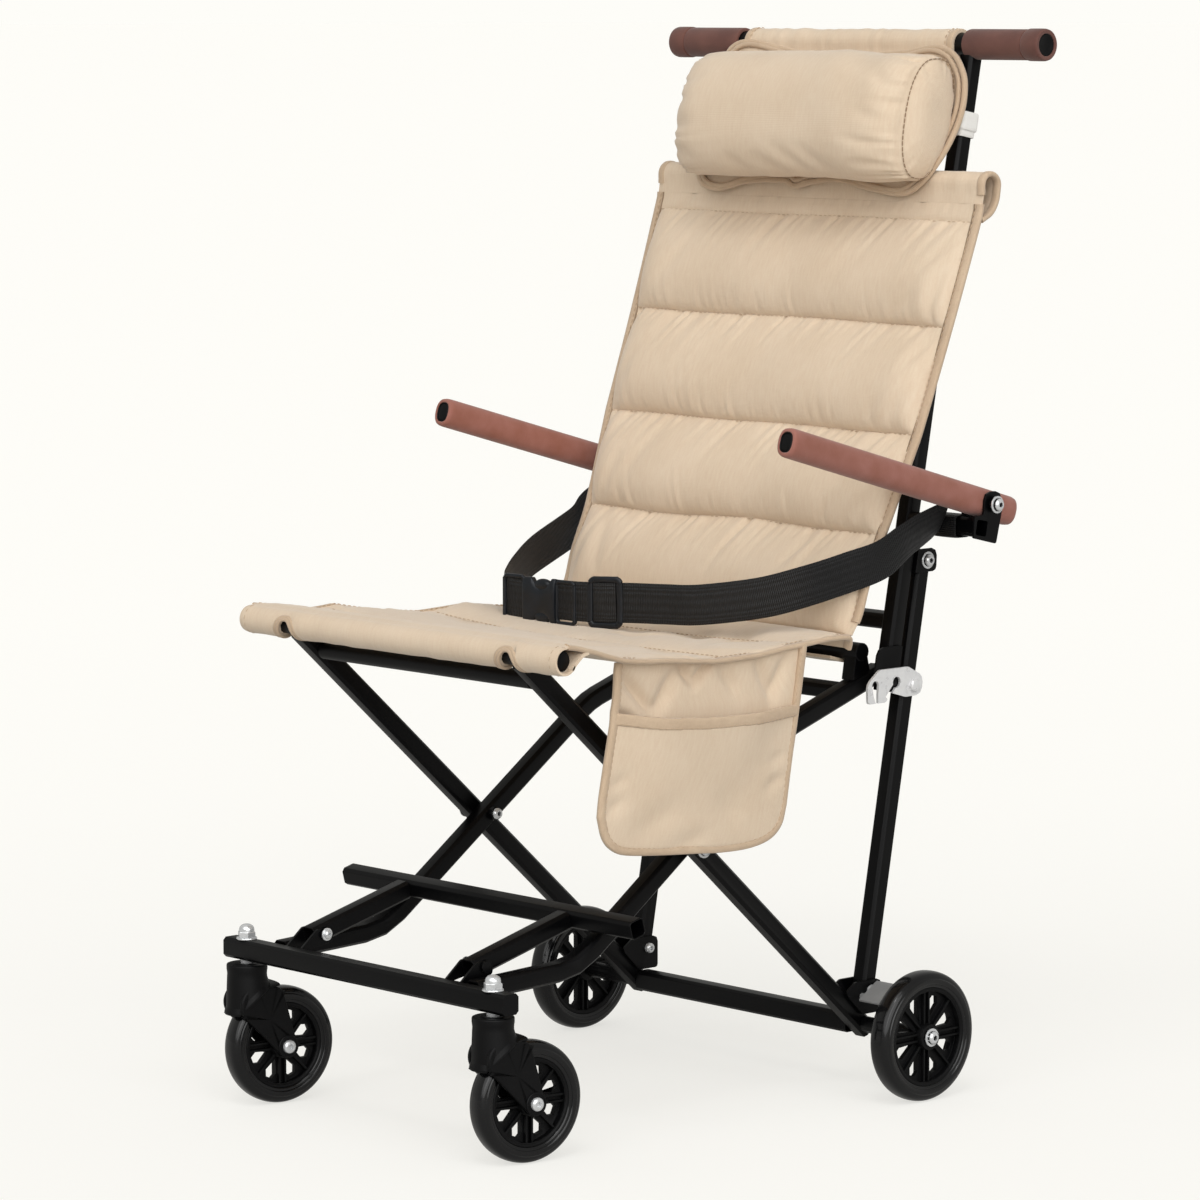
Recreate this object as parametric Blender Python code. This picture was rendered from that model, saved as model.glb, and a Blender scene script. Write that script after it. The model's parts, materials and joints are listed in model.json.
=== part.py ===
"""Folding transport chair for one sitter, as separate solids in one Blender scene.

Metres, +Z up. The sitter faces -Y and the floor is z = 0. Side views are drawn as (y, z)
points, with the rear axle as their reference, and the whole chair then hangs from one empty
that puts the middle of its base on the origin.
"""

import math

import bmesh
import bpy
from mathutils import Vector

# Clearances
GAP = 0.0003  # between two pieces that touch or turn in each other
WALL = 0.0015  # wall of every tube
PLATE = 0.0025  # thickness of lugs, brackets and foot plates

# Folding frame: two side planes of square tube, one inside the other
TUBE = 0.018
TUBE_CORNER = 0.003
CORNER_STEPS = 1
SMALL = 10  # sides of bolts, pins and their holes
WHEEL_SIDES = 24
PLANE_GAP = 0.002
OUTER_X = 0.159
INNER_X = OUTER_X - TUBE - PLANE_GAP
OUTER_FACE = OUTER_X + TUBE / 2
INNER_FACE = OUTER_X - TUBE / 2
CROSS_TUBE_FACE = INNER_X - TUBE / 2
BOLT_R = 0.004
BOLT_HEAD_R = 0.0065
BOLT_HEAD = 0.004

# Wheels
REAR_WHEEL_R = 0.0635
REAR_WHEEL_X = 0.2435
REAR_AXLE_Y = 0.197
CASTER_WHEEL_R = 0.0571
WHEEL_WIDTH = 0.024
TYRE_SIDE = 0.0115  # tyre section seen from the side, tread to rim opening is 1.45 times this
RIM_WALL = 0.0035
WEB = 0.005
HUB_R = 0.0125
WINDOWS = 8
WINDOW_R = 0.0062
RIB = 0.002
RIB_PAIR = 0.0062

# Seat rails: from the seat's front bar down and back to the rear axle
SEAT_FRONT = (-0.252, 0.465)
AXLE = (REAR_AXLE_Y, REAR_WHEEL_R)
FRONT_BAR_R = 0.0095
FRONT_BAR_HALF = 0.221
UNDER_BAR_ALONG = 0.040
UNDER_BAR_R = 0.0085
AXLE_BAR = 0.020
RAIL_PAST_AXLE = 0.010
STUB_R = 0.008

# Cross rails: they cross the seat rails and carry the casters in front, the seat's rear bar behind
CROSS_ALONG = 0.3052  # from the seat's front bar down the rail to the crossing bolt
CROSS_SLOPE = math.radians(36.0)
CROSS_DOWN = 0.1705
CROSS_UP = 0.1670
CROSS_TOP = 0.1369
TOP_SLOPE = math.radians(19.0)
FOOT_SLOPE = math.radians(2.3)
BEND_R = 0.080
STRETCHER = 0.015
STRETCHER_ALONG = 0.0893
REAR_SEAT_BAR = (0.210, 0.427)
REAR_SEAT_BAR_R = 0.009
REAR_SEAT_BAR_HALF = 0.148

# Caster bar and casters
CASTER_BAR_Y = -0.298
CASTER_BAR = 0.0195
CASTER_BAR_HALF = 0.202
CASTER_X = 0.178
CASTER_TRAIL = 0.035
CASTER_TURN = math.radians(-8.0)  # both casters stand a little turned
STEM_R = 0.005
BARREL_R = 0.019
BARREL_H = 0.036
BARREL_DROP = 0.004
FORK_WALL = 0.0045
FORK_SIDE_PLAY = 0.0015
FORK_RADIAL_PLAY = 0.0035
FORK_BOSS_R = 0.0105

# Footrest
FOOT_X = 0.115
FOOT_PIVOT = (-0.2625, 0.1735)
FOOT_BAR = (-0.1445, 0.205)
FOOT_BAR_HALF = 0.2064
FOOT_NOSE = 0.010

# Back legs: from a lug over the axle up to the back's pivot
LEG_PIVOT = (0.202, 0.096)
BACK_PIVOT_Z = 0.514
LEG_SLOPE = 0.1798  # rise of y per z
LEG_BELOW = 0.012
LEG_ABOVE = 0.0075  # low enough for the head's corners to turn inside the bracket
LUMBAR_Z = 0.452
LUMBAR = 0.016

# Back uprights, handlebar and the bar in the back fabric's top hem
HANDLE = (0.3476, 1.0146)
UPRIGHT_AHEAD = 0.02412  # from the middle of an upright back to its pivot
BACK_FOOT_Z = 0.388
HANDLE_R = 0.011
HANDLE_HALF = 0.256
GRIP_R = 0.015
GRIP_INNER = 0.157
GRIP_COLLAR = 0.021
GRIP_LIP = 0.0008
TOP_BAR_Z = 0.880
TOP_BAR_R = 0.009
TOP_BAR_HALF = 0.205

# Latch between back and leg
LATCH_PIVOT_Z = 0.393
PIN_Z = 0.398
PIN_R = 0.0042
LATCH = 0.003
LATCH_SLOT_R = 0.0054
LATCH_NOTCH_TURN = math.radians(13.9)

# Brake levers
BRAKE_PIVOT = (0.1880, 0.0930)
BRAKE_SLOPE = math.radians(32.0)
BRAKE_AHEAD = 0.008
BRAKE_BEHIND = 0.022
BRAKE_THICK = 0.003
BRAKE_WIDE = 0.027

# Armrests
ARM_X = 0.243
ARM_Z = 0.553
ARM_RISE = (0.0161, 0.0220)  # from the middle of the stub to the armrest's bolt
ARM_SLOPE = math.radians(15.6)
ARM_AHEAD = 0.2775
ARM_BEHIND = 0.040
ARM_WIDE = 0.0245
ARM_TALL = 0.0285
ARM_CORE = 0.012

# Fabric
CLOTH = 0.003
SEAT_HALF_FRONT = 0.2265
SEAT_HALF_REAR = 0.209
SEAT_RISE = 0.012  # from the middle of the front bar up to the fabric
CREASE = (0.139, 0.460)
SEAT_SAG = [(0.0946, 0.0064), (0.2225, 0.0142), (0.3887, 0.0164), (0.5550, 0.0171),
            (0.7212, 0.0162), (0.8875, 0.0139)]  # share of the seat from its front, drop there
SEAT_SEAM_SHARES = (0.0614, 0.2225, 0.5550, 0.8875)
BACK_HALF_TOP = 0.2275
BACK_HALF_LOW = 0.209
BACK_PROFILE = [(0.0970, 0.4690), (0.0953, 0.5050), (0.0841, 0.5492), (0.0643, 0.6427),
                (0.0448, 0.7451), (0.0286, 0.8451)]  # ahead of the uprights' middle, height
BACK_SEAMS = [0.4690, 0.5492, 0.6427, 0.7451, 0.8451]
SLEEVE_DROP = 0.018  # from the top bar down to where its hem closes
PUFF = 0.014
SEAT_PUFF = 0.006
STRAP = 0.038
STRAP_THICK = 0.0018
PILLOW_HALF = 0.168
PILLOW_X = 0.003
PILLOW_TALL = 0.136
PILLOW_DEEP = 0.094
PILLOW_Z = 0.943
POCKET_TOP = (-0.176, 0.066)
POCKET_LOW = (-0.183, 0.043)
POCKET_DROP = 0.1825  # from the crease down to the pocket's low edge
POCKET_INSIDE = 0.0114  # from the seat's edge in to the pocket

# Lap belt: the buckle, and each strap's way out round the edge of the back
BUCKLE = (-0.088, 0.004, 0.4780)
BUCKLE_HALF = 0.034
BUCKLE_RUN = (0.995, 0.0995, 0.0)
BELT_OUT = BACK_HALF_LOW + 0.0095
BELT_TAIL = [(1.0, 0.160, 0.5200), (1.0137, 0.200, 0.5340), (0.9794, 0.2445, 0.5500)]
BELT_RIGHT = [(-0.7323, 0.020, 0.4800), (-0.8604, 0.058, 0.4880), (-0.9519, 0.104, 0.5030)]
BELT_LEFT = [(0.000, 0.026, 0.4800), (0.2746, 0.048, 0.4830), (0.5492, 0.068, 0.4910),
             (0.7872, 0.088, 0.5010), (0.9428, 0.118, 0.5100)]  # x as a share of BELT_OUT

# The empty that carries everything moves the middle of the base to the origin.
TREAD_HALF = WHEEL_WIDTH / 2 * math.cos(math.pi * 2 / 5)
BASE_FRONT = (
    CASTER_BAR_Y
    + (CASTER_TRAIL - CASTER_WHEEL_R) * math.cos(CASTER_TURN)
    + TREAD_HALF * math.sin(CASTER_TURN)
)
BASE_REAR = HANDLE[0] + GRIP_R + GRIP_LIP
ORIGIN_Y = -(BASE_FRONT + BASE_REAR) / 2

SIDES = (("right", -1), ("left", 1))  # as the sitter has them

MATERIALS = {
    "steel": ((0.012, 0.012, 0.013), 0.38, 0.0),
    "plastic": ((0.010, 0.010, 0.011), 0.5, 0.0),
    "tyre": ((0.008, 0.008, 0.009), 0.22, 0.0),
    "zinc": ((0.62, 0.63, 0.64), 0.3, 1.0),
    "latch": ((0.68, 0.68, 0.69), 0.4, 0.6),
    "tab": ((0.22, 0.22, 0.23), 0.5, 0.0),
    "fabric": ((0.68, 0.53, 0.38), 0.8, 0.0),
    "foam": ((0.32, 0.13, 0.10), 0.85, 0.0),
    "webbing": ((0.012, 0.012, 0.014), 0.8, 0.0),
}


def clear_scene():
    for obj in list(bpy.data.objects):
        bpy.data.objects.remove(obj, do_unlink=True)


def make_materials():
    for name, (colour, roughness, metallic) in MATERIALS.items():
        material = bpy.data.materials.new(name)
        material.use_nodes = True
        shader = material.node_tree.nodes["Principled BSDF"]
        shader.inputs["Base Color"].default_value = (*colour, 1.0)
        shader.inputs["Roughness"].default_value = roughness
        shader.inputs["Metallic"].default_value = metallic


def carrier(name, parent, point=(0.0, 0.0), x=0.0):
    """An empty on a body's joint axis, at x and the side view's point."""
    empty = bpy.data.objects.new(name, None)
    empty.empty_display_size = 0.03
    bpy.context.scene.collection.objects.link(empty)
    empty["place"] = (x, *point)
    empty.parent = parent
    inner = Vector(parent["place"]) if parent else Vector()
    empty.location = Vector(empty["place"]) - inner
    return empty


def add(name, mesh_data, material, body, at=(0.0, 0.0, 0.0)):
    """Makes an object of a bmesh that is drawn around the point at."""
    bmesh.ops.recalc_face_normals(mesh_data, faces=mesh_data.faces)
    mesh = bpy.data.meshes.new(name)
    mesh_data.to_mesh(mesh)
    mesh_data.free()
    mesh.materials.append(bpy.data.materials[material])
    mesh.shade_smooth()
    mesh.set_sharp_from_angle(angle=math.radians(50))
    obj = bpy.data.objects.new(name, mesh)
    bpy.context.scene.collection.objects.link(obj)
    obj.parent = body
    obj.location = Vector(at) - Vector(body["place"])
    return obj


def combine(obj, mesh_data, operation, at=(0.0, 0.0, 0.0)):
    """Joins a shape to an object or cuts it away, as a live Boolean on a hidden helper."""
    body = obj.parent
    helper = add(f"{obj.name}_{operation.lower()}", mesh_data, "steel", body, at)
    helper.hide_render = True
    helper.display_type = "WIRE"
    modifier = obj.modifiers.new(helper.name, "BOOLEAN")
    modifier.operation = operation
    modifier.object = helper


def direction(angle):
    return (math.cos(angle), math.sin(angle))


def along(point, angle, distance):
    return (point[0] + distance * math.cos(angle), point[1] + distance * math.sin(angle))


def square_outline(wide, tall=None, corner=TUBE_CORNER, steps=CORNER_STEPS):
    """A rounded rectangle as (u, v) points, anticlockwise."""
    tall = wide if tall is None else tall
    corner = min(corner, wide / 2 - 1e-5, tall / 2 - 1e-5)
    points = []
    for quarter, (su, sv) in enumerate(((1, 1), (-1, 1), (-1, -1), (1, -1))):
        for step in range(steps + 1):
            angle = math.pi / 2 * (quarter + step / steps)
            points.append(
                (
                    su * (wide / 2 - corner) + corner * math.cos(angle),
                    sv * (tall / 2 - corner) + corner * math.sin(angle),
                )
            )
    return points


def circle(radius, sides=24, start=0.0, turn=math.tau, centre=(0.0, 0.0)):
    """Points on a circle, or on an arc when turn is less than a full one."""
    last = sides if abs(abs(turn) - math.tau) < 1e-9 else sides - 1
    return [
        (
            centre[0] + radius * math.cos(start + turn * i / last),
            centre[1] + radius * math.sin(start + turn * i / last),
        )
        for i in range(sides)
    ]


def rounded(corners, steps=2):
    """An outline in which each (point, radius) corner becomes an arc."""
    points = []
    count = len(corners)
    for i, (corner, radius) in enumerate(corners):
        if radius <= 0:
            points.append(corner)
            continue
        here = Vector(corner)
        back = (Vector(corners[i - 1][0]) - here).normalized()
        ahead = (Vector(corners[(i + 1) % count][0]) - here).normalized()
        half = back.angle(ahead) / 2
        centre = here + (back + ahead).normalized() * (radius / math.sin(half))
        first = here + back * (radius / math.tan(half)) - centre
        last = here + ahead * (radius / math.tan(half)) - centre
        turn = math.atan2(first.x * last.y - first.y * last.x, first.dot(last))
        start = math.atan2(first.y, first.x)
        points += circle(radius, steps + 1, start, turn, centre)
    return points


def bent_path(points, radius, steps=2):
    """(point, angle) stations along a line through the points, with its inner corners rounded."""
    stations = []
    for i, point in enumerate(points):
        here = Vector(point)
        if i == 0 or i == len(points) - 1:
            other = Vector(points[1] if i == 0 else points[-2])
            run = other - here if i == 0 else here - other
            stations.append((tuple(here), math.atan2(run.y, run.x)))
            continue
        before = here - Vector(points[i - 1])
        after = Vector(points[i + 1]) - here
        first = math.atan2(before.y, before.x)
        turn = math.atan2(
            before.x * after.y - before.y * after.x, before.dot(after)
        )
        reach = radius * math.tan(abs(turn) / 2)
        start = here - before.normalized() * reach
        side = math.copysign(math.pi / 2, turn)
        centre = along(start, first + side, radius)
        for step in range(steps + 1):
            angle = first + turn * step / steps
            stations.append((along(centre, angle - side, radius), angle))
    return stations


def side_frames(stations, x=0.0):
    """Frames (origin, u, v) for a sweep that runs in the side view."""
    return [
        (
            Vector((x, *point)),
            Vector((1, 0, 0)),
            Vector((0, math.sin(angle), -math.cos(angle))),
        )
        for point, angle in stations
    ]


def cross_frames(x0, x1, point, lean=0.0):
    """Frames for a sweep that runs across the chair."""
    u = Vector((0, math.cos(lean), math.sin(lean)))
    v = Vector((0, -math.sin(lean), math.cos(lean)))
    return [(Vector((x, *point)), u, v) for x in (x0, x1)]


def ring(data, frame, outline):
    origin, u, v = frame
    return [data.verts.new(origin + u * a + v * b) for a, b in outline]


def band(data, first, second, flip=False):
    count = len(first)
    for i in range(count):
        j = (i + 1) % count
        face = [first[i], first[j], second[j], second[i]]
        data.faces.new(face[::-1] if flip else face)


def sweep(frames, outline, hollow=None, closed=(False, False), data=None):
    """A bar along the frames. With a hollow outline it is a tube, whose closed ends keep a plug."""
    data = data or bmesh.new()
    outer = [ring(data, frame, outline) for frame in frames]
    for first, second in zip(outer, outer[1:]):
        band(data, first, second)
    if hollow is None:
        data.faces.new(outer[0][::-1])
        data.faces.new(outer[-1])
        return data
    inner_frames = list(frames)
    for end, inward in ((0, 1), (-1, -1)):
        if closed[end]:
            origin, u, v = frames[end]
            inner_frames[end] = (origin + u.cross(v) * 2 * WALL * inward, u, v)
    inner = [ring(data, frame, hollow) for frame in inner_frames]
    for first, second in zip(inner, inner[1:]):
        band(data, first, second, flip=True)
    if closed[0]:
        data.faces.new(outer[0][::-1])
        data.faces.new(inner[0])
    else:
        band(data, inner[0], outer[0])
    if closed[1]:
        data.faces.new(outer[-1])
        data.faces.new(inner[-1][::-1])
    else:
        band(data, outer[-1], inner[-1])
    return data


def square_tube(frames, size=TUBE, closed=(False, False)):
    inner = square_outline(size - 2 * WALL, corner=TUBE_CORNER - WALL)
    return sweep(frames, square_outline(size), inner, closed)


def round_tube(frames, radius, sides=16, closed=(False, False)):
    return sweep(frames, circle(radius, sides), circle(radius - WALL, sides), closed)


def plate(outline, x0, x1):
    """A flat piece: an outline in the side view between two x planes."""
    data = bmesh.new()
    first = [data.verts.new((x0, y, z)) for y, z in outline]
    second = [data.verts.new((x1, y, z)) for y, z in outline]
    data.faces.new(first)
    data.faces.new(second)
    band(data, first, second)
    return data


def block(low, high):
    data = bmesh.new()
    outline = [(low[1], low[2]), (high[1], low[2]), (high[1], high[2]), (low[1], high[2])]
    first = [data.verts.new((low[0], y, z)) for y, z in outline]
    second = [data.verts.new((high[0], y, z)) for y, z in outline]
    data.faces.new(first)
    data.faces.new(second)
    band(data, first, second)
    return data


def lathe(profile, axis="X", sides=32, at=(0.0, 0.0, 0.0), closed=False):
    """Spins (radius, along) points round an axis. A closed profile makes a ring."""
    data = bmesh.new()
    turned = {"X": (1, 2, 0), "Z": (0, 1, 2)}[axis]
    verts = []
    for radius, height in profile:
        place = [0.0, 0.0, 0.0]
        place[turned[0]] = radius
        place[turned[2]] = height
        verts.append(data.verts.new(place))
    pairs = list(zip(verts, verts[1:]))
    if closed:
        pairs.append((verts[-1], verts[0]))
    edges = [data.edges.new(pair) for pair in pairs]
    bmesh.ops.spin(
        data,
        geom=verts + edges,
        cent=(0, 0, 0),
        axis=(1, 0, 0) if axis == "X" else (0, 0, 1),
        angle=math.tau,
        steps=sides,
        use_merge=True,
    )
    bmesh.ops.remove_doubles(data, verts=data.verts, dist=1e-6)
    bmesh.ops.translate(data, verts=data.verts, vec=Vector(at))
    return data


def pin(x0, x1, point, radius, sides=SMALL):
    """A round pin across the chair."""
    low, high = min(x0, x1), max(x0, x1)
    return sweep(cross_frames(low, high, point), circle(radius, sides))


def bolt(inner, outer, point, sign=1, radius=BOLT_R, head=BOLT_HEAD_R):
    """A pin from x inner to x outer, with a low rounded head at its outer end."""
    profile = [
        (0, inner),
        (radius, inner),
        (radius, outer),
        (head, outer),
        (head, outer + BOLT_HEAD * 0.6),
        (head * 0.75, outer + BOLT_HEAD),
        (0, outer + BOLT_HEAD),
    ]
    return lathe([(r, sign * x) for r, x in profile], sides=SMALL, at=(0, *point))


def leg_y(z):
    """Middle of a back leg at height z."""
    return LEG_PIVOT[0] + LEG_SLOPE * (z - LEG_PIVOT[1])


BACK_SLOPE = (HANDLE[0] - leg_y(BACK_PIVOT_Z) + UPRIGHT_AHEAD) / (HANDLE[1] - BACK_PIVOT_Z)


def back_y(z):
    """Middle of a back upright at height z."""
    return HANDLE[0] - BACK_SLOPE * (HANDLE[1] - z)


RAIL_ANGLE = math.atan2(AXLE[1] - SEAT_FRONT[1], AXLE[0] - SEAT_FRONT[0])
CROSSING = along(SEAT_FRONT, RAIL_ANGLE, CROSS_ALONG)
LOWER_BEND = along(CROSSING, CROSS_SLOPE, -CROSS_DOWN)
UPPER_BEND = along(CROSSING, CROSS_SLOPE, CROSS_UP)
CROSS_END = along(UPPER_BEND, TOP_SLOPE, CROSS_TOP)
LEG_ANGLE = math.atan2(1.0, LEG_SLOPE)
BACK_ANGLE = math.atan2(1.0, BACK_SLOPE)
BACK_LEAN = math.pi / 2 - BACK_ANGLE
CASTER_BAR_REAR = CASTER_BAR_Y + CASTER_BAR / 2
CROSS_FOOT = (
    CASTER_BAR_REAR + GAP,
    LOWER_BEND[1] - math.tan(FOOT_SLOPE) * (LOWER_BEND[0] - CASTER_BAR_REAR - GAP),
)
CASTER_BAR_Z = CROSS_FOOT[1] - 0.003
CASTER_BAR_TOP = CASTER_BAR_Z + CASTER_BAR / 2
CASTER_BAR_UNDER = CASTER_BAR_Z - CASTER_BAR / 2
CASTER_HUB = (CASTER_BAR_Y + CASTER_TRAIL, CASTER_WHEEL_R)
FORK_HALF = WHEEL_WIDTH / 2 + FORK_SIDE_PLAY + FORK_WALL
LATCH_PIVOT = (leg_y(LATCH_PIVOT_Z), LATCH_PIVOT_Z)
LOCK_PIN = (back_y(PIN_Z), PIN_Z)
ARM_STUB = (back_y(ARM_Z), ARM_Z)
ARM_PIVOT = (ARM_STUB[0] + ARM_RISE[0], ARM_STUB[1] + ARM_RISE[1])
FOOT_PLATE_OUT = OUTER_FACE + GAP + PLATE
LATCH_IN = FOOT_PLATE_OUT + 2 * GAP
TOP_BAR = (
    back_y(TOP_BAR_Z) - (TUBE / 2 + TOP_BAR_R + GAP) / math.cos(BACK_LEAN),
    TOP_BAR_Z,
)


def side_rail(side, sign, body):
    """Seat rail with the crossing bolt in it."""
    start = along(SEAT_FRONT, RAIL_ANGLE, FRONT_BAR_R + GAP)
    end = along(AXLE, RAIL_ANGLE, RAIL_PAST_AXLE)
    frames = side_frames([(start, RAIL_ANGLE), (end, RAIL_ANGLE)])
    rail = add(f"side_rail_{side}", square_tube(frames), "steel", body, (sign * OUTER_X, 0, 0))
    combine(rail, crossing_bolt(sign), "UNION")


def crossing_bolt(sign):
    """Bolt through both rails, with a saddle washer outside and a nut inside."""
    washer = OUTER_FACE + 0.0015
    profile = [
        (0, CROSS_TUBE_FACE - 0.007),
        (0.0045, CROSS_TUBE_FACE - 0.007),
        (0.007, CROSS_TUBE_FACE - 0.005),
        (0.007, CROSS_TUBE_FACE - GAP),
        (BOLT_R, CROSS_TUBE_FACE - GAP),
        (BOLT_R, OUTER_FACE - 0.001),
        (0.0085, OUTER_FACE - 0.001),
        (0.0085, washer),
        (BOLT_HEAD_R, washer),
        (BOLT_HEAD_R, washer + BOLT_HEAD * 0.6),
        (BOLT_HEAD_R * 0.75, washer + BOLT_HEAD),
        (0, washer + BOLT_HEAD),
    ]
    return lathe([(r, sign * x) for r, x in profile], sides=SMALL, at=(0, *CROSSING))


def seat_rail_bars(body):
    """The bars that join the two seat rails: front of the seat, under the seat, rear axle."""
    front = cross_frames(-FRONT_BAR_HALF, FRONT_BAR_HALF, SEAT_FRONT)
    add("seat_front_bar", round_tube(front, FRONT_BAR_R), "steel", body)
    span = INNER_FACE - GAP
    under = cross_frames(-span, span, along(SEAT_FRONT, RAIL_ANGLE, UNDER_BAR_ALONG))
    add("under_seat_bar", round_tube(under, UNDER_BAR_R), "steel", body)
    axle = cross_frames(-span, span, AXLE)
    add("rear_axle_bar", square_tube(axle, AXLE_BAR), "steel", body)


def stub_axle(side, sign, body):
    """Spacer and axle bolt that carry a rear wheel."""
    hub = REAR_WHEEL_X - WHEEL_WIDTH / 2
    face = REAR_WHEEL_X + WHEEL_WIDTH / 2
    profile = [
        (0, OUTER_FACE + GAP),
        (STUB_R, OUTER_FACE + GAP),
        (STUB_R, hub - 0.004),
        (0.0062, hub - GAP),
        (BOLT_R, hub - GAP),
        (BOLT_R, face + GAP),
        (BOLT_HEAD_R, face + GAP),
        (BOLT_HEAD_R, face + BOLT_HEAD),
        (BOLT_HEAD_R * 0.8, face + BOLT_HEAD + 0.001),
        (0, face + BOLT_HEAD + 0.001),
    ]
    spun = lathe([(r, sign * x) for r, x in profile], sides=SMALL, at=(0, *AXLE))
    add(f"stub_axle_{side}", spun, "steel", body)


def leg_lug(side, sign, body):
    """U lug over the rail's end: two ears, their front web and the back leg's pivot bolt."""
    ear = rounded(
        [
            ((0.190, 0.0745), 0.003),
            ((0.2155, 0.0745), 0.003),
            ((0.2155, 0.1075), 0.006),
            ((0.180, 0.1075), 0.006),
            ((0.166, 0.098), 0.004),
        ]
    )
    outer = OUTER_FACE + GAP
    inner = INNER_FACE - GAP
    lug = add(f"leg_lug_{side}", plate(ear, sign * inner, sign * (inner - PLATE)), "steel", body)
    combine(lug, plate(ear, sign * outer, sign * (outer + PLATE)), "UNION")
    web = [(0.199, 0.0762), (0.2145, 0.0762), (0.2145, 0.0787), (0.199, 0.0787)]
    combine(lug, plate(web, sign * (inner - 0.001), sign * (outer + 0.001)), "UNION")
    shank = bolt(inner - PLATE - 0.002, outer + PLATE - 0.0005, LEG_PIVOT, sign)
    combine(lug, shank, "UNION")


def seat_frame(body):
    seat_rail_bars(body)
    for side, sign in SIDES:
        side_rail(side, sign, body)
        stub_axle(side, sign, body)
        leg_lug(side, sign, body)


def rim(name, radius, body, hub, sign, x):
    """Moulded wheel centre: rim, web with windows, hub and radial ribs on both faces."""
    outer = radius - 1.45 * TYRE_SIDE + 0.001
    inner = outer - RIM_WALL
    half = WHEEL_WIDTH / 2
    barrel = half - 0.003
    profile = [
        (BOLT_R + GAP, -half),
        (HUB_R, -half),
        (HUB_R, -WEB / 2),
        (inner, -WEB / 2),
        (inner, -barrel),
        (outer, -barrel),
        (outer, barrel),
        (inner, barrel),
        (inner, WEB / 2),
        (HUB_R, WEB / 2),
        (HUB_R, half),
        (BOLT_R + GAP, half),
    ]
    wheel = add(name, lathe(profile, sides=WHEEL_SIDES, closed=True), "plastic", body, (sign * x, *hub))
    ribs = bmesh.new()
    middle = (HUB_R + inner) / 2
    length = inner - HUB_R + 0.004
    for index in range(WINDOWS):
        angle = math.tau * index / WINDOWS
        offsets = (-RIB_PAIR / 2, RIB_PAIR / 2) if index % 2 == 0 else (0.0,)
        for offset in offsets:
            centre = Vector(
                (
                    0,
                    middle * math.cos(angle) - offset * math.sin(angle),
                    middle * math.sin(angle) + offset * math.cos(angle),
                )
            )
            out = Vector((0, math.cos(angle), math.sin(angle)))
            across = Vector((0, -math.sin(angle), math.cos(angle)))
            thick = Vector((1, 0, 0))
            box = [
                ribs.verts.new(centre + out * a * length / 2 + across * b * RIB / 2 + thick * c)
                for a in (-1, 1)
                for b in (-1, 1)
                for c in (-barrel + 0.002, barrel - 0.002)
            ]
            for face in ((0, 1, 3, 2), (4, 6, 7, 5), (0, 4, 5, 1), (2, 3, 7, 6), (0, 2, 6, 4), (1, 5, 7, 3)):
                ribs.faces.new([box[i] for i in face])
    combine(wheel, ribs, "UNION", (sign * x, *hub))
    windows = bmesh.new()
    away = inner - WINDOW_R - 0.003
    for index in range(WINDOWS):
        angle = math.tau * (index + 0.5) / WINDOWS
        centre = (away * math.cos(angle), away * math.sin(angle))
        tip = (angle + math.pi, away - HUB_R - 0.003)
        outline = circle(WINDOW_R, 4, angle - math.pi * 0.55, math.pi * 1.1, centre)
        outline.append(along(centre, *tip))
        first = [windows.verts.new((-WEB, *point)) for point in outline]
        second = [windows.verts.new((WEB, *point)) for point in outline]
        windows.faces.new(first)
        windows.faces.new(second)
        band(windows, first, second)
    combine(wheel, windows, "DIFFERENCE", (sign * x, *hub))


def tyre(name, radius, body, hub, sign, x):
    """Solid tyre: a rounded section on the rim."""
    inner = radius - 1.45 * TYRE_SIDE + 0.001 + GAP
    half = WHEEL_WIDTH / 2
    deep = radius - inner
    section = []
    for step in range(6):
        angle = math.pi * step / 5
        crown = math.sin(angle) / math.sin(math.pi * 2 / 5)
        section.append((inner + deep * (0.22 + 0.78 * crown), half * math.cos(angle)))
    section += [(inner, -half + 0.0035), (inner, half - 0.0035)]
    spun = lathe(section, sides=WHEEL_SIDES, closed=True)
    add(name, spun, "tyre", body, (sign * x, *hub))


def cross_rail(side, sign, body):
    """Bent rail: level at the caster bar, steep through the crossing, flatter under the seat."""
    stations = bent_path([CROSS_FOOT, LOWER_BEND, UPPER_BEND, CROSS_END], BEND_R)
    tube = square_tube(side_frames(stations), closed=(False, True))
    place = (sign * INNER_X, 0, 0)
    rail = add(f"cross_rail_{side}", tube, "steel", body, place)
    combine(rail, pin(-TUBE, TUBE, CROSSING, BOLT_R + GAP), "DIFFERENCE", place)


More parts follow.
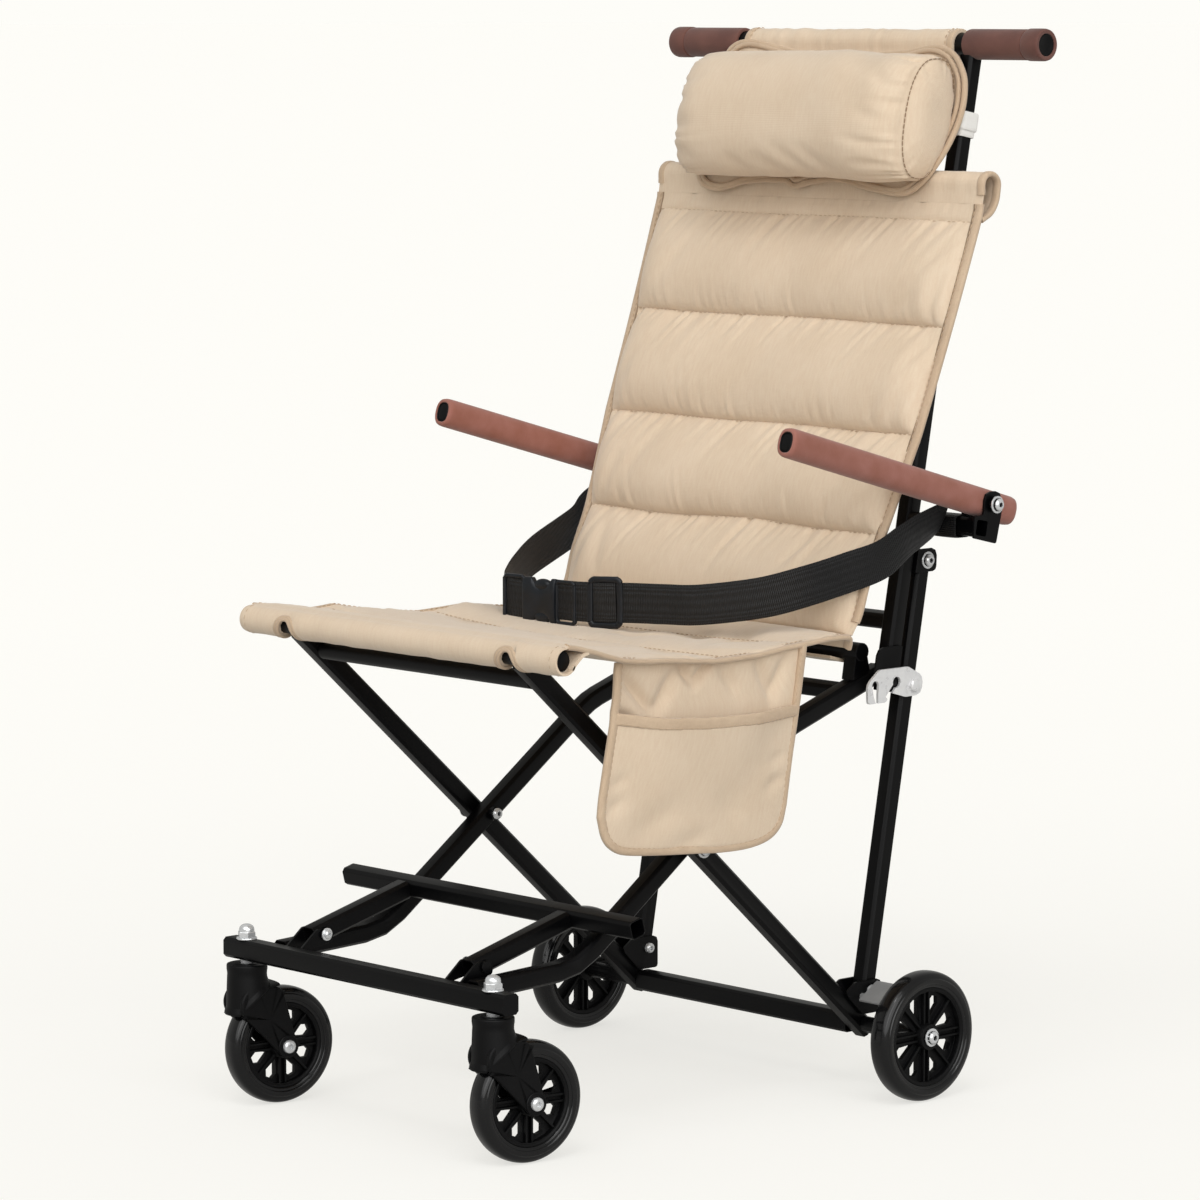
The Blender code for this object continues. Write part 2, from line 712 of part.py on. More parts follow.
def cross_bars(body):
    """Stretcher between the cross rails, and the seat's rear bar on its two posts."""
    span = CROSS_TUBE_FACE - GAP
    stretcher = cross_frames(-span, span, along(UPPER_BEND, TOP_SLOPE, STRETCHER_ALONG), TOP_SLOPE)
    add("rear_stretcher", square_tube(stretcher, STRETCHER), "steel", body)
    frames = cross_frames(-REAR_SEAT_BAR_HALF, REAR_SEAT_BAR_HALF, REAR_SEAT_BAR)
    bar = add("seat_rear_bar", sweep(frames, circle(REAR_SEAT_BAR_R, 16)), "steel", body)
    level = UPPER_BEND[1] + math.tan(TOP_SLOPE) * (REAR_SEAT_BAR[0] - UPPER_BEND[0])
    top = level + TUBE / 2 / math.cos(TOP_SLOPE) + GAP
    rise = math.tan(TOP_SLOPE) * REAR_SEAT_BAR_R
    post = [
        (REAR_SEAT_BAR[0] - REAR_SEAT_BAR_R * 1.3, top - rise * 1.3),
        (REAR_SEAT_BAR[0] + REAR_SEAT_BAR_R * 1.3, top + rise * 1.3),
        (REAR_SEAT_BAR[0] + REAR_SEAT_BAR_R * 0.8, REAR_SEAT_BAR[1]),
        (REAR_SEAT_BAR[0] - REAR_SEAT_BAR_R * 0.8, REAR_SEAT_BAR[1]),
    ]
    for sign in (-1, 1):
        near = sign * (INNER_X - TUBE / 2 + 0.001)
        far = sign * (INNER_X + TUBE / 2 - 0.001)
        combine(bar, plate(post, near, far), "UNION")


def caster_bar(body):
    """Bar that carries the casters, with its stem holes and the footrest's two lugs."""
    frames = cross_frames(-CASTER_BAR_HALF, CASTER_BAR_HALF, (CASTER_BAR_Y, CASTER_BAR_Z))
    bar = add("caster_bar", square_tube(frames, CASTER_BAR, (True, True)), "steel", body)
    for sign in (-1, 1):
        hole = lathe(
            [(0, -0.02), (STEM_R + GAP, -0.02), (STEM_R + GAP, 0.02), (0, 0.02)],
            "Z",
            SMALL,
            (sign * CASTER_X, CASTER_BAR_Y, CASTER_BAR_Z),
        )
        combine(bar, hole, "DIFFERENCE")
    ear = rounded(
        [
            ((CASTER_BAR_Y + 0.002, CASTER_BAR_TOP - 0.004), 0),
            ((CASTER_BAR_REAR - 0.0005, CASTER_BAR_TOP - 0.004), 0),
            ((FOOT_PIVOT[0] + 0.010, FOOT_PIVOT[1] - 0.008), 0.004),
            ((FOOT_PIVOT[0] + 0.009, FOOT_PIVOT[1] + 0.006), 0.005),
            ((FOOT_PIVOT[0] - 0.010, FOOT_PIVOT[1] + 0.005), 0.004),
        ]
    )
    for sign in (-1, 1):
        for near in (-TUBE / 2 - GAP - PLATE, TUBE / 2 + GAP):
            x = sign * FOOT_X + near
            combine(bar, plate(ear, x, x + PLATE), "UNION")


def swivel_bolt(side, sign, body):
    """Caster stem with its dome nut and washer above the bar and its collar below."""
    top = CASTER_BAR_TOP + GAP
    under = CASTER_BAR_UNDER - GAP
    dome = [(0.0088 * math.cos(a), top + 0.0045 + 0.0088 * math.sin(a)) for a in
            (math.radians(t) for t in (0, 25, 50, 70))]
    profile = [
        (0, under - 0.024),
        (STEM_R, under - 0.024),
        (STEM_R, under - BARREL_DROP + GAP),
        (0.0065, under - BARREL_DROP + GAP),
        (0.0065, under),
        (STEM_R, under),
        (STEM_R, top),
        (0.0105, top),
        (0.0105, top + 0.0015),
        (0.0088, top + 0.0015),
        *dome,
        (0, top + 0.0045 + 0.0088),
    ]
    spun = lathe(profile, "Z", SMALL, (sign * CASTER_X, CASTER_BAR_Y, 0))
    add(f"swivel_bolt_{side}", spun, "zinc", body)


def cross_frame(body):
    caster_bar(body)
    cross_bars(body)
    for side, sign in SIDES:
        cross_rail(side, sign, body)
        swivel_bolt(side, sign, body)


def fork(side, sign, body):
    """Caster fork: swivel barrel, hood over the wheel, two blades that taper to the hub boss."""
    top = CASTER_BAR_UNDER - BARREL_DROP
    low = top - BARREL_H
    at = (sign * CASTER_X, 0, 0)
    hub_y, hub_z = CASTER_HUB
    blade = rounded(
        [
            ((CASTER_BAR_Y - BARREL_R + 0.001, low - 0.016), 0.008),
            ((hub_y - FORK_BOSS_R * 0.9, hub_z - FORK_BOSS_R * 0.95), 0.009),
            ((hub_y + FORK_BOSS_R * 1.15, hub_z - FORK_BOSS_R * 0.6), 0.009),
            ((CASTER_BAR_Y + BARREL_R + 0.0125, low + 0.012), 0.009),
            ((CASTER_BAR_Y + BARREL_R * 0.6, low + 0.024), 0.006),
            ((CASTER_BAR_Y - BARREL_R + 0.001, low + 0.010), 0.004),
        ],
    )
    made = add(f"caster_fork_{side}", plate(blade, -FORK_HALF, FORK_HALF), "plastic", body, at)
    barrel = lathe(
        [(0, low - 0.004), (BARREL_R, low - 0.004), (BARREL_R, top - 0.001), (BARREL_R - 0.001, top), (0, top)],
        "Z",
        16,
        (0, CASTER_BAR_Y, 0),
    )
    combine(made, barrel, "UNION", at)
    slot = lathe(
        [
            (0, -WHEEL_WIDTH / 2 - FORK_SIDE_PLAY),
            (CASTER_WHEEL_R + FORK_RADIAL_PLAY, -WHEEL_WIDTH / 2 - FORK_SIDE_PLAY),
            (CASTER_WHEEL_R + FORK_RADIAL_PLAY, WHEEL_WIDTH / 2 + FORK_SIDE_PLAY),
            (0, WHEEL_WIDTH / 2 + FORK_SIDE_PLAY),
        ],
        sides=28,
        at=(0, *CASTER_HUB),
    )
    combine(made, slot, "DIFFERENCE", at)
    stem = lathe(
        [(0, top - 0.025), (STEM_R + GAP, top - 0.025), (STEM_R + GAP, top + 0.01), (0, top + 0.01)],
        "Z",
        SMALL,
        (0, CASTER_BAR_Y, 0),
    )
    combine(made, stem, "DIFFERENCE", at)
    axle = pin(-FORK_HALF + 0.001, FORK_HALF - 0.001, CASTER_HUB, BOLT_R)
    combine(made, axle, "UNION", at)
    for face in (-1, 1):
        head = lathe(
            [(0, face * (FORK_HALF - 0.001)), (0.0058, face * (FORK_HALF - 0.001)),
             (0.0058, face * (FORK_HALF + 0.002)), (0, face * (FORK_HALF + 0.003))],
            sides=SMALL,
            at=(0, *CASTER_HUB),
        )
        combine(made, head, "UNION", at)


def casters(forks, wheels):
    for (side, sign), holder, wheel in zip(SIDES, forks, wheels):
        fork(side, sign, holder)
        rim(f"caster_rim_{side}", CASTER_WHEEL_R, wheel, CASTER_HUB, sign, CASTER_X)
        tyre(f"caster_tyre_{side}", CASTER_WHEEL_R, wheel, CASTER_HUB, sign, CASTER_X)


def rear_wheels(wheels):
    for (side, sign), wheel in zip(SIDES, wheels):
        rim(f"rear_rim_{side}", REAR_WHEEL_R, wheel, AXLE, sign, REAR_WHEEL_X)
        tyre(f"rear_tyre_{side}", REAR_WHEEL_R, wheel, AXLE, sign, REAR_WHEEL_X)


def footrest(body):
    """Foot bar on two arms, each with an open square nose and its pivot bolt in the lug."""
    angle = math.atan2(FOOT_BAR[1] - FOOT_PIVOT[1], FOOT_BAR[0] - FOOT_PIVOT[0])
    frames = cross_frames(-FOOT_BAR_HALF, FOOT_BAR_HALF, FOOT_BAR, angle)
    add("foot_bar", square_tube(frames), "steel", body)
    nose = along(FOOT_PIVOT, angle, -FOOT_NOSE)
    end = along(FOOT_BAR, angle, -TUBE / 2 - GAP)
    for side, sign in SIDES:
        at = (sign * FOOT_X, 0, 0)
        tube = square_tube(side_frames([(nose, angle), (end, angle)]))
        arm = add(f"foot_arm_{side}", tube, "steel", body, at)
        ear = TUBE / 2 + GAP + PLATE
        for face in (-1, 1):
            profile = [
                (0, face * (TUBE / 2 - 0.001)),
                (BOLT_R * 0.8, face * (TUBE / 2 - 0.001)),
                (BOLT_R * 0.8, face * (ear + GAP)),
                (BOLT_R * 1.4, face * (ear + GAP)),
                (BOLT_R * 1.4, face * (ear + 0.0025)),
                (0, face * (ear + 0.0032)),
            ]
            combine(arm, lathe(profile, sides=SMALL, at=(0, *FOOT_PIVOT)), "UNION", at)


def footrest_holes():
    """Clears the footrest's bolts through the lugs on the caster bar."""
    bar = bpy.data.objects["caster_bar"]
    for sign in (-1, 1):
        x = sign * FOOT_X
        combine(bar, pin(x - TUBE, x + TUBE, FOOT_PIVOT, BOLT_R * 0.8 + GAP), "DIFFERENCE")


def back_legs(body):
    """Rear legs, with bores for both pivots and the latch rivet, and the lumbar bar between them."""
    foot = (leg_y(LEG_PIVOT[1] - LEG_BELOW), LEG_PIVOT[1] - LEG_BELOW)
    head_z = BACK_PIVOT_Z + LEG_ABOVE
    head = (leg_y(head_z), head_z)
    for side, sign in SIDES:
        at = (sign * OUTER_X, 0, 0)
        tube = square_tube(side_frames([(foot, LEG_ANGLE), (head, LEG_ANGLE)]), closed=(False, True))
        leg = add(f"rear_leg_{side}", tube, "steel", body, at)
        for point in (LEG_PIVOT, (leg_y(BACK_PIVOT_Z), BACK_PIVOT_Z)):
            combine(leg, pin(-TUBE, TUBE, point, BOLT_R + GAP), "DIFFERENCE", at)
        rivet = pin(0 if sign > 0 else -TUBE, TUBE if sign > 0 else 0, LATCH_PIVOT, PIN_R + GAP)
        combine(leg, rivet, "DIFFERENCE", at)
    span = INNER_FACE - GAP
    frames = cross_frames(-span, span, (leg_y(LUMBAR_Z), LUMBAR_Z), BACK_LEAN)
    add("lumbar_bar", square_tube(frames, LUMBAR), "steel", body)


def latch_outline():
    """Latch plate: round rear lobe, hump over the pin, hooked nose."""
    y, z = LATCH_PIVOT
    return rounded(
        [
            ((y + 0.0110, z - 0.0100), 0.0085),
            ((y + 0.0125, z + 0.0085), 0.0085),
            ((y - 0.0080, z + 0.0190), 0.006),
            ((y - 0.0480, z + 0.0190), 0.006),
            ((y - 0.0645, z + 0.0060), 0.010),
            ((y - 0.0640, z - 0.0135), 0.003),
            ((y - 0.0385, z - 0.0135), 0.005),
            ((y - 0.0340, z - 0.0040), 0.002),
            ((y - 0.0120, z - 0.0105), 0.006),
        ]
    )


def latch(side, sign, body):
    """Latch plate with its rivet, the open slot over the lock pin and the notch ahead of it."""
    outline = latch_outline()
    near = sign * LATCH_IN
    far = sign * (LATCH_IN + LATCH)
    made = add(f"latch_plate_{side}", plate(outline, near, far), "latch", body)
    cutter_near = sign * (LATCH_IN - 0.002)
    cutter_far = sign * (LATCH_IN + LATCH + 0.002)
    slot = circle(LATCH_SLOT_R, 16, centre=LOCK_PIN)
    combine(made, plate(slot, cutter_near, cutter_far), "DIFFERENCE")
    mouth = math.radians(228)
    side_step = math.radians(90)
    mouth_line = [
        along(LOCK_PIN, mouth + side_step, 0.0026),
        along(LOCK_PIN, mouth - side_step, 0.0026),
        along(along(LOCK_PIN, mouth - side_step, 0.0026), mouth, 0.020),
        along(along(LOCK_PIN, mouth + side_step, 0.0026), mouth, 0.020),
    ]
    combine(made, plate(mouth_line, cutter_near, cutter_far), "DIFFERENCE")
    reach = math.dist(LATCH_PIVOT, LOCK_PIN)
    notch = (LATCH_PIVOT[0] - reach * 2.17, LATCH_PIVOT[1] + 0.004)
    egg = circle(0.0046, 10, math.radians(-10), math.radians(200), notch)
    egg += [(notch[0] - 0.0030, notch[1] - 0.0085), (notch[0] + 0.0012, notch[1] - 0.0200),
            (notch[0] + 0.0040, notch[1] - 0.0200), (notch[0] + 0.0038, notch[1] - 0.0080)]
    combine(made, plate(egg, cutter_near, cutter_far), "DIFFERENCE")
    rivet = bolt(OUTER_FACE - WALL - 0.002, LATCH_IN + LATCH - 0.0005, LATCH_PIVOT, sign, PIN_R, 0.0068)
    combine(made, rivet, "UNION")


def back_uprights(body):
    """Back tubes from the latch foot to the handlebar."""
    foot = (back_y(BACK_FOOT_Z), BACK_FOOT_Z)
    under = along(HANDLE, BACK_ANGLE, -HANDLE_R - GAP)
    for side, sign in SIDES:
        frames = side_frames([(foot, BACK_ANGLE), (under, BACK_ANGLE)])
        tube = square_tube(frames, closed=(True, False))
        add(f"back_upright_{side}", tube, "steel", body, (sign * OUTER_X, 0, 0))


def handlebar(body):
    bar = sweep(cross_frames(-HANDLE_HALF, HANDLE_HALF, HANDLE), circle(HANDLE_R, 20),
                circle(HANDLE_R - WALL, 20), (True, True))
    made = add("handlebar", bar, "steel", body)
    for sign in (-1, 1):
        vent = sweep(side_frames([(along(HANDLE, BACK_ANGLE, -HANDLE_R - 0.003), BACK_ANGLE),
                                  (HANDLE, BACK_ANGLE)]), circle(BOLT_R, 12))
        combine(made, vent, "DIFFERENCE", (sign * OUTER_X, 0, 0))
    for side, sign in SIDES:
        bore = HANDLE_R + GAP
        collar = HANDLE_HALF + 0.001 - GRIP_COLLAR
        profile = [
            (bore, GRIP_INNER),
            (GRIP_R - 0.001, GRIP_INNER),
            (GRIP_R, GRIP_INNER + 0.001),
            (GRIP_R, collar - 0.001),
            (GRIP_R + GRIP_LIP, collar),
            (GRIP_R + GRIP_LIP, HANDLE_HALF - 0.001),
            (GRIP_R - 0.0012, HANDLE_HALF + 0.001),
            (bore, HANDLE_HALF + 0.001),
        ]
        spun = lathe([(r, sign * x) for r, x in profile], sides=20, at=(0, *HANDLE), closed=True)
        made = add(f"handle_grip_{side}", spun, "foam", body)
        top = along(HANDLE, BACK_ANGLE, -HANDLE_R + 0.004)
        low = along(HANDLE, BACK_ANGLE, -GRIP_R * 2)
        notch = sweep(side_frames([(low, BACK_ANGLE), (top, BACK_ANGLE)]), square_outline(TUBE + 2 * GAP))
        combine(made, notch, "DIFFERENCE", (sign * OUTER_X, 0, 0))


def back_bars(body):
    """The bar in the back fabric's top hem, welded to the front of both uprights."""
    frames = cross_frames(-TOP_BAR_HALF, TOP_BAR_HALF, TOP_BAR)
    add("back_top_bar", round_tube(frames, TOP_BAR_R), "steel", body)


def latch_foot(side, sign, body):
    """Plate on the foot of an upright, which backs the latch and holds the lock pin."""
    pin_y, pin_z = LOCK_PIN
    low, high = pin_z - 0.0075, pin_z + 0.0350
    rear = back_y(low) + TUBE / 2
    foot = rounded(
        [
            ((rear - 0.0027, low), 0.002),
            ((rear + 0.0043, high), 0.002),
            ((pin_y - 0.0221, high), 0.009),
            ((pin_y - 0.0266, pin_z + 0.0100), 0.004),
            ((pin_y - 0.0151, low), 0.004),
        ]
    )
    near = OUTER_FACE + GAP
    made = add(f"latch_foot_{side}", plate(foot, sign * near, sign * FOOT_PLATE_OUT), "steel", body)
    nub = pin(sign * (near + 0.0002), sign * (FOOT_PLATE_OUT + 0.0002), LOCK_PIN, PIN_R)
    combine(made, nub, "UNION")


def leg_bracket(side, sign, body):
    """U bracket on the back of an upright, whose ears hold the back's pivot bolt."""
    z = BACK_PIVOT_Z
    rear = (TUBE / 2 + GAP) / math.cos(BACK_LEAN)
    low, high = z - 0.0115, z + 0.0115
    web = [
        (back_y(low) + rear, low),
        (back_y(low) + rear + PLATE, low),
        (back_y(high) + rear + PLATE, high),
        (back_y(high) + rear, high),
    ]
    inner = INNER_FACE - GAP
    outer = OUTER_FACE + GAP
    made = add(f"leg_bracket_{side}", plate(web, sign * (inner - PLATE), sign * (outer + PLATE)), "steel", body)
    pivot = leg_y(z)
    ear = rounded(
        [
            (web[0], 0),
            ((pivot + 0.0125, low), 0.005),
            ((pivot + 0.0135, high), 0.007),
            (web[3], 0),
        ]
    )
    combine(made, plate(ear, sign * (inner - PLATE), sign * inner), "UNION")
    combine(made, plate(ear, sign * outer, sign * (outer + PLATE)), "UNION")
    combine(made, bolt(inner - PLATE - 0.002, outer + PLATE - 0.0005, (pivot, z), sign), "UNION")


def arm_mount(side, sign, body):
    """Square stub on the upright's side, with the armrest's U bracket over its outer end."""
    inner_ear = ARM_X - ARM_WIDE / 2 - GAP
    outer_ear = ARM_X + ARM_WIDE / 2 + GAP
    end = outer_ear + PLATE
    frames = cross_frames(OUTER_FACE + GAP, end, ARM_STUB, BACK_LEAN * -1)
    if sign < 0:
        frames = cross_frames(-end, -OUTER_FACE - GAP, ARM_STUB, BACK_LEAN * -1)
    made = add(f"arm_mount_{side}", square_tube(frames), "steel", body)
    py, pz = ARM_PIVOT
    y, z = ARM_STUB
    skirt = [
        ((y - 0.0115, z - 0.0090), 0.002),
        ((y + 0.0205, z - 0.0165), 0.002),
        ((py + 0.0125, pz - 0.006), 0.004),
        ((py + 0.0110, pz + 0.0125), 0.0085),
        ((py - 0.0120, pz + 0.0125), 0.0085),
        ((py - 0.0130, pz - 0.0095), 0.003),
        ((y - 0.0095, z + 0.0120), 0.002),
    ]
    inner_skirt = [
        ((y + 0.002, z + 0.006), 0),
        ((y + 0.0125, z + 0.003), 0),
        ((py + 0.0125, pz - 0.006), 0.004),
        ((py + 0.0110, pz + 0.0115), 0.0085),
        ((py - 0.0120, pz + 0.0115), 0.0085),
        ((py - 0.0130, pz - 0.0095), 0.003),
    ]
    combine(made, plate(rounded(skirt), sign * outer_ear, sign * end), "UNION")
    combine(made, plate(rounded(inner_skirt), sign * (inner_ear - PLATE), sign * inner_ear), "UNION")
    shank = bolt(inner_ear - PLATE - 0.003, end + 0.005, ARM_PIVOT, sign)
    combine(made, shank, "UNION")
    spacer = lathe([(0, sign * (end - 0.001)), (0.0055, sign * (end - 0.001)),
                    (0.0055, sign * (end + 0.0051)), (0, sign * (end + 0.0051))], sides=SMALL, at=(0, *ARM_PIVOT))
    combine(made, spacer, "UNION")
    window = sweep(
        [(origin + u.cross(v) * side_step, u, v) for (origin, u, v), side_step in zip(frames, (-0.02, 0.02))],
        square_outline(TUBE - 2 * WALL, corner=TUBE_CORNER - WALL),
    )
    if sign > 0:
        for vert in window.verts:
            vert.co.x = max(vert.co.x, inner_ear + 0.004)
    else:
        for vert in window.verts:
            vert.co.x = min(vert.co.x, -inner_ear - 0.004)
    combine(made, window, "DIFFERENCE")


def back_frame(body):
    back_uprights(body)
    handlebar(body)
    back_bars(body)
    for side, sign in SIDES:
        latch_foot(side, sign, body)
        leg_bracket(side, sign, body)
        arm_mount(side, sign, body)


def armrest(side, sign, body):
    """Foam sleeve on a flat steel core, with a black cap in its front end."""
    angle = math.pi - ARM_SLOPE
    front = along(ARM_PIVOT, angle, ARM_AHEAD)
    rear = along(ARM_PIVOT, angle, -ARM_BEHIND)
    at = (sign * ARM_X, 0, 0)
    back_angle = angle - math.pi
    frames = side_frames([(rear, angle), (front, angle)])
    foam = sweep(
        frames,
        square_outline(ARM_WIDE, ARM_TALL, corner=0.0115, steps=4),
        square_outline(ARM_CORE + 2 * GAP, ARM_CORE * 1.5 + 2 * GAP, corner=0.004, steps=4),
    )
    made = add(f"armrest_foam_{side}", foam, "foam", body, at)
    hole = pin(-ARM_WIDE, ARM_WIDE, ARM_PIVOT, BOLT_R + GAP)
    combine(made, hole, "DIFFERENCE", at)
    tip = along(front, back_angle, -0.0005)
    tail = along(rear, back_angle, -0.004)
    core = sweep(
        side_frames([(tail, angle), (tip, angle)]),
        square_outline(ARM_CORE, ARM_CORE * 1.5, corner=0.0037, steps=3),
    )
    tube = add(f"armrest_core_{side}", core, "steel", body, at)
    combine(tube, pin(-ARM_WIDE, ARM_WIDE, ARM_PIVOT, BOLT_R + GAP), "DIFFERENCE", at)


def brake_tab(side, sign, body):
    """Grey brake lever: a pin on the outer ear of a leg lug, and the sloping leaf that it turns."""
    ear = OUTER_FACE + GAP + PLATE + GAP
    near = ear + BOLT_HEAD + GAP
    low = along(BRAKE_PIVOT, BRAKE_SLOPE, -BRAKE_AHEAD)
    high = along(BRAKE_PIVOT, BRAKE_SLOPE, BRAKE_BEHIND)
    up = BRAKE_SLOPE + math.pi / 2
    leaf = [
        (low, 0.001),
        (high, 0.001),
        (along(high, up, BRAKE_THICK), 0.001),
        (along(low, up, BRAKE_THICK), 0.001),
    ]
    made = add(f"brake_tab_{side}", plate(rounded(leaf), sign * near, sign * (near + BRAKE_WIDE)), "tab", body)
    combine(made, pin(sign * ear, sign * (near + 0.008), BRAKE_PIVOT, BOLT_R * 0.75), "UNION")




def catmull(points, each=6):
    """A smooth line through the points."""
    line = []
    ends = [points[0], *points, points[-1]]
    for i in range(len(points) - 1):
        p0, p1, p2, p3 = (Vector(p) for p in ends[i : i + 4])
        for step in range(each):
            t = step / each
            line.append(
                tuple(
                    0.5
                    * (
                        2 * p1
                        + (p2 - p0) * t
                        + (2 * p0 - 5 * p1 + 4 * p2 - p3) * t * t
                        + (3 * p1 - p0 - 3 * p2 + p3) * t**3
                    )
                )
            )
    line.append(tuple(points[-1]))
    return line


def cloth_strip(rows, columns):
    """A closed sheet of cloth. A row holds its (y, z), its normal, half width, and what lies above
    and below its middle line as two functions of the share of the half width."""
    data = bmesh.new()
    layers = []
    for up in (True, False):
        grid = []
        for (y, z), (ny, nz), half, above, below in rows:
            line = []
            for column in range(columns + 1):
                share = -math.cos(math.pi * column / columns)
                lift = above(share) if up else -below(share)
                line.append(data.verts.new((half * share, y + ny * lift, z + nz * lift)))
            grid.append(line)
        layers.append(grid)
    top, bottom = layers
    last = len(rows) - 1
    for i in range(last):
        for j in range(columns):
            data.faces.new((top[i][j], top[i][j + 1], top[i + 1][j + 1], top[i + 1][j]))
            data.faces.new((bottom[i][j], bottom[i + 1][j], bottom[i + 1][j + 1], bottom[i][j + 1]))
        for j in (0, columns):
            data.faces.new((top[i][j], top[i + 1][j], bottom[i + 1][j], bottom[i][j]))
    for i in (0, last):
        for j in range(columns):
            data.faces.new((top[i][j], bottom[i][j], bottom[i][j + 1], top[i][j + 1]))
    return data


def strip_normals(line):
    """Normals of a side-view line, to the left of its direction."""
    normals = []
    for i in range(len(line)):
        before = Vector(line[max(i - 1, 0)])
        after = Vector(line[min(i + 1, len(line) - 1)])
        run = (after - before).normalized()
        normals.append((-run.y, run.x))
    return normals


def quilted(stations, half_of, seams, puff, thin):
    """Rows of a quilted sheet: it swells between the seams and is thin at them and at its edges."""
    rows = []
    normals = strip_normals([station[0] for station in stations])
    for (point, place), normal in zip(stations, normals):
        swell = 0.0
        for first, last in zip(seams, seams[1:]):
            if first < place < last:
                swell = math.sin(math.pi * (place - first) / (last - first)) ** 0.75
        def above(share, swell=swell):
            edge = max(0.0, 1 - abs(share) ** 8)
            return thin / 2 + puff * swell * edge
        def below(share, swell=swell):
            edge = max(0.0, 1 - abs(share) ** 8)
            return thin / 2 + 0.25 * puff * swell * edge
        rows.append((point, normal, half_of(place), above, below))
    return rows


def hem_line(bar, radius, first, last, steps):
    """Points of a hem's middle line round a bar, whose flat stretches stay clear of the bar."""
    step = math.radians(last - first) / steps
    reach = (radius + GAP + CLOTH / 2) / math.cos(step / 2)
    return [along(bar, math.radians(first) + step * i, reach) for i in range(steps + 1)]


def seat_line():
    """Middle line of the seat from its front edge to the crease, sagging between them."""
    y0, z0 = SEAT_FRONT[0], SEAT_FRONT[1] + SEAT_RISE
    run, fall = CREASE[0] - y0, CREASE[1] - z0
    middle = [(y0 + run * share, z0 + fall * share - drop) for share, drop in SEAT_SAG]
    return [(y0, z0), *middle, CREASE]


def seat_half(y):
    """Half the width of the seat fabric at y, which narrows to the crease."""
    share = (y - SEAT_FRONT[0]) / (CREASE[0] - SEAT_FRONT[0])
    return SEAT_HALF_FRONT + (SEAT_HALF_REAR - SEAT_HALF_FRONT) * share


def seat_fabric(body):
    """Seat sling: open hem round the front bar, quilted seat, strap round the rear seat bar."""
    stations = [(point, -1.0) for point in hem_line(SEAT_FRONT, FRONT_BAR_R, -25, -270, 7)]
    line = catmull(seat_line(), 3)[1:]
    stations += [(point, point[0]) for point in line]
    wrap = hem_line(REAR_SEAT_BAR, REAR_SEAT_BAR_R, 125, -115, 6)
    stations += [(along(CREASE, math.radians(-14), 0.018), 0.5), *((point, 1.0) for point in wrap)]

    def half_of(place):
        if place < -0.3:
            return SEAT_HALF_FRONT
        if place > 0.45:
            return CROSS_TUBE_FACE - 0.006
        return seat_half(place)

    seams = [SEAT_FRONT[0] + (CREASE[0] - SEAT_FRONT[0]) * share for share in SEAT_SEAM_SHARES]
    rows = quilted(stations, half_of, seams, SEAT_PUFF, CLOTH)
    made = add("seat_fabric", cloth_strip(rows, 8), "fabric", body)
    for sign in (-1, 1):
        low = along(SEAT_FRONT, RAIL_ANGLE, 0.030)
        notch = sweep(side_frames([(along(SEAT_FRONT, RAIL_ANGLE, -0.004), RAIL_ANGLE), (low, RAIL_ANGLE)]),
                      square_outline(TUBE + 0.008, TUBE + 0.003, corner=0.006))
        combine(made, notch, "DIFFERENCE", (sign * OUTER_X, 0, 0))


def back_fabric(body):
    """Back sling: four quilted channels, a plain top and an open hem round the top bar."""
    low, top = BACK_PROFILE[0][1], TOP_BAR_Z
    closed = top - SLEEVE_DROP
    stations = [(point, point[1]) for point in catmull([(back_y(z) - y, z) for y, z in BACK_PROFILE], 4)]
    stations.append(((TOP_BAR[0] - 0.01205, closed), closed))
    stations += [(point, top) for point in hem_line(TOP_BAR, TOP_BAR_R, 180, 0, 5)]
    flap = top - SLEEVE_DROP / 2
    stations += [((TOP_BAR[0] + 0.0065, closed), flap), ((TOP_BAR[0] - 0.009, closed - 0.0155), flap)]

    def half_of(place):
        share = (place - low) / (top - low)
        return BACK_HALF_LOW + (BACK_HALF_TOP - BACK_HALF_LOW) * share

    rows = quilted(stations, half_of, BACK_SEAMS, PUFF, CLOTH)
    made = add("back_fabric", cloth_strip(rows, 8), "fabric", body)
    for sign in (-1, 1):
        x = sign * OUTER_X
        notch = block((x - TUBE / 2 - 0.003, TOP_BAR[0] + 0.001, top - 0.08),
                      (x + TUBE / 2 + 0.003, TOP_BAR[0] + 2 * TUBE, top + 0.07))
        combine(made, notch, "DIFFERENCE")


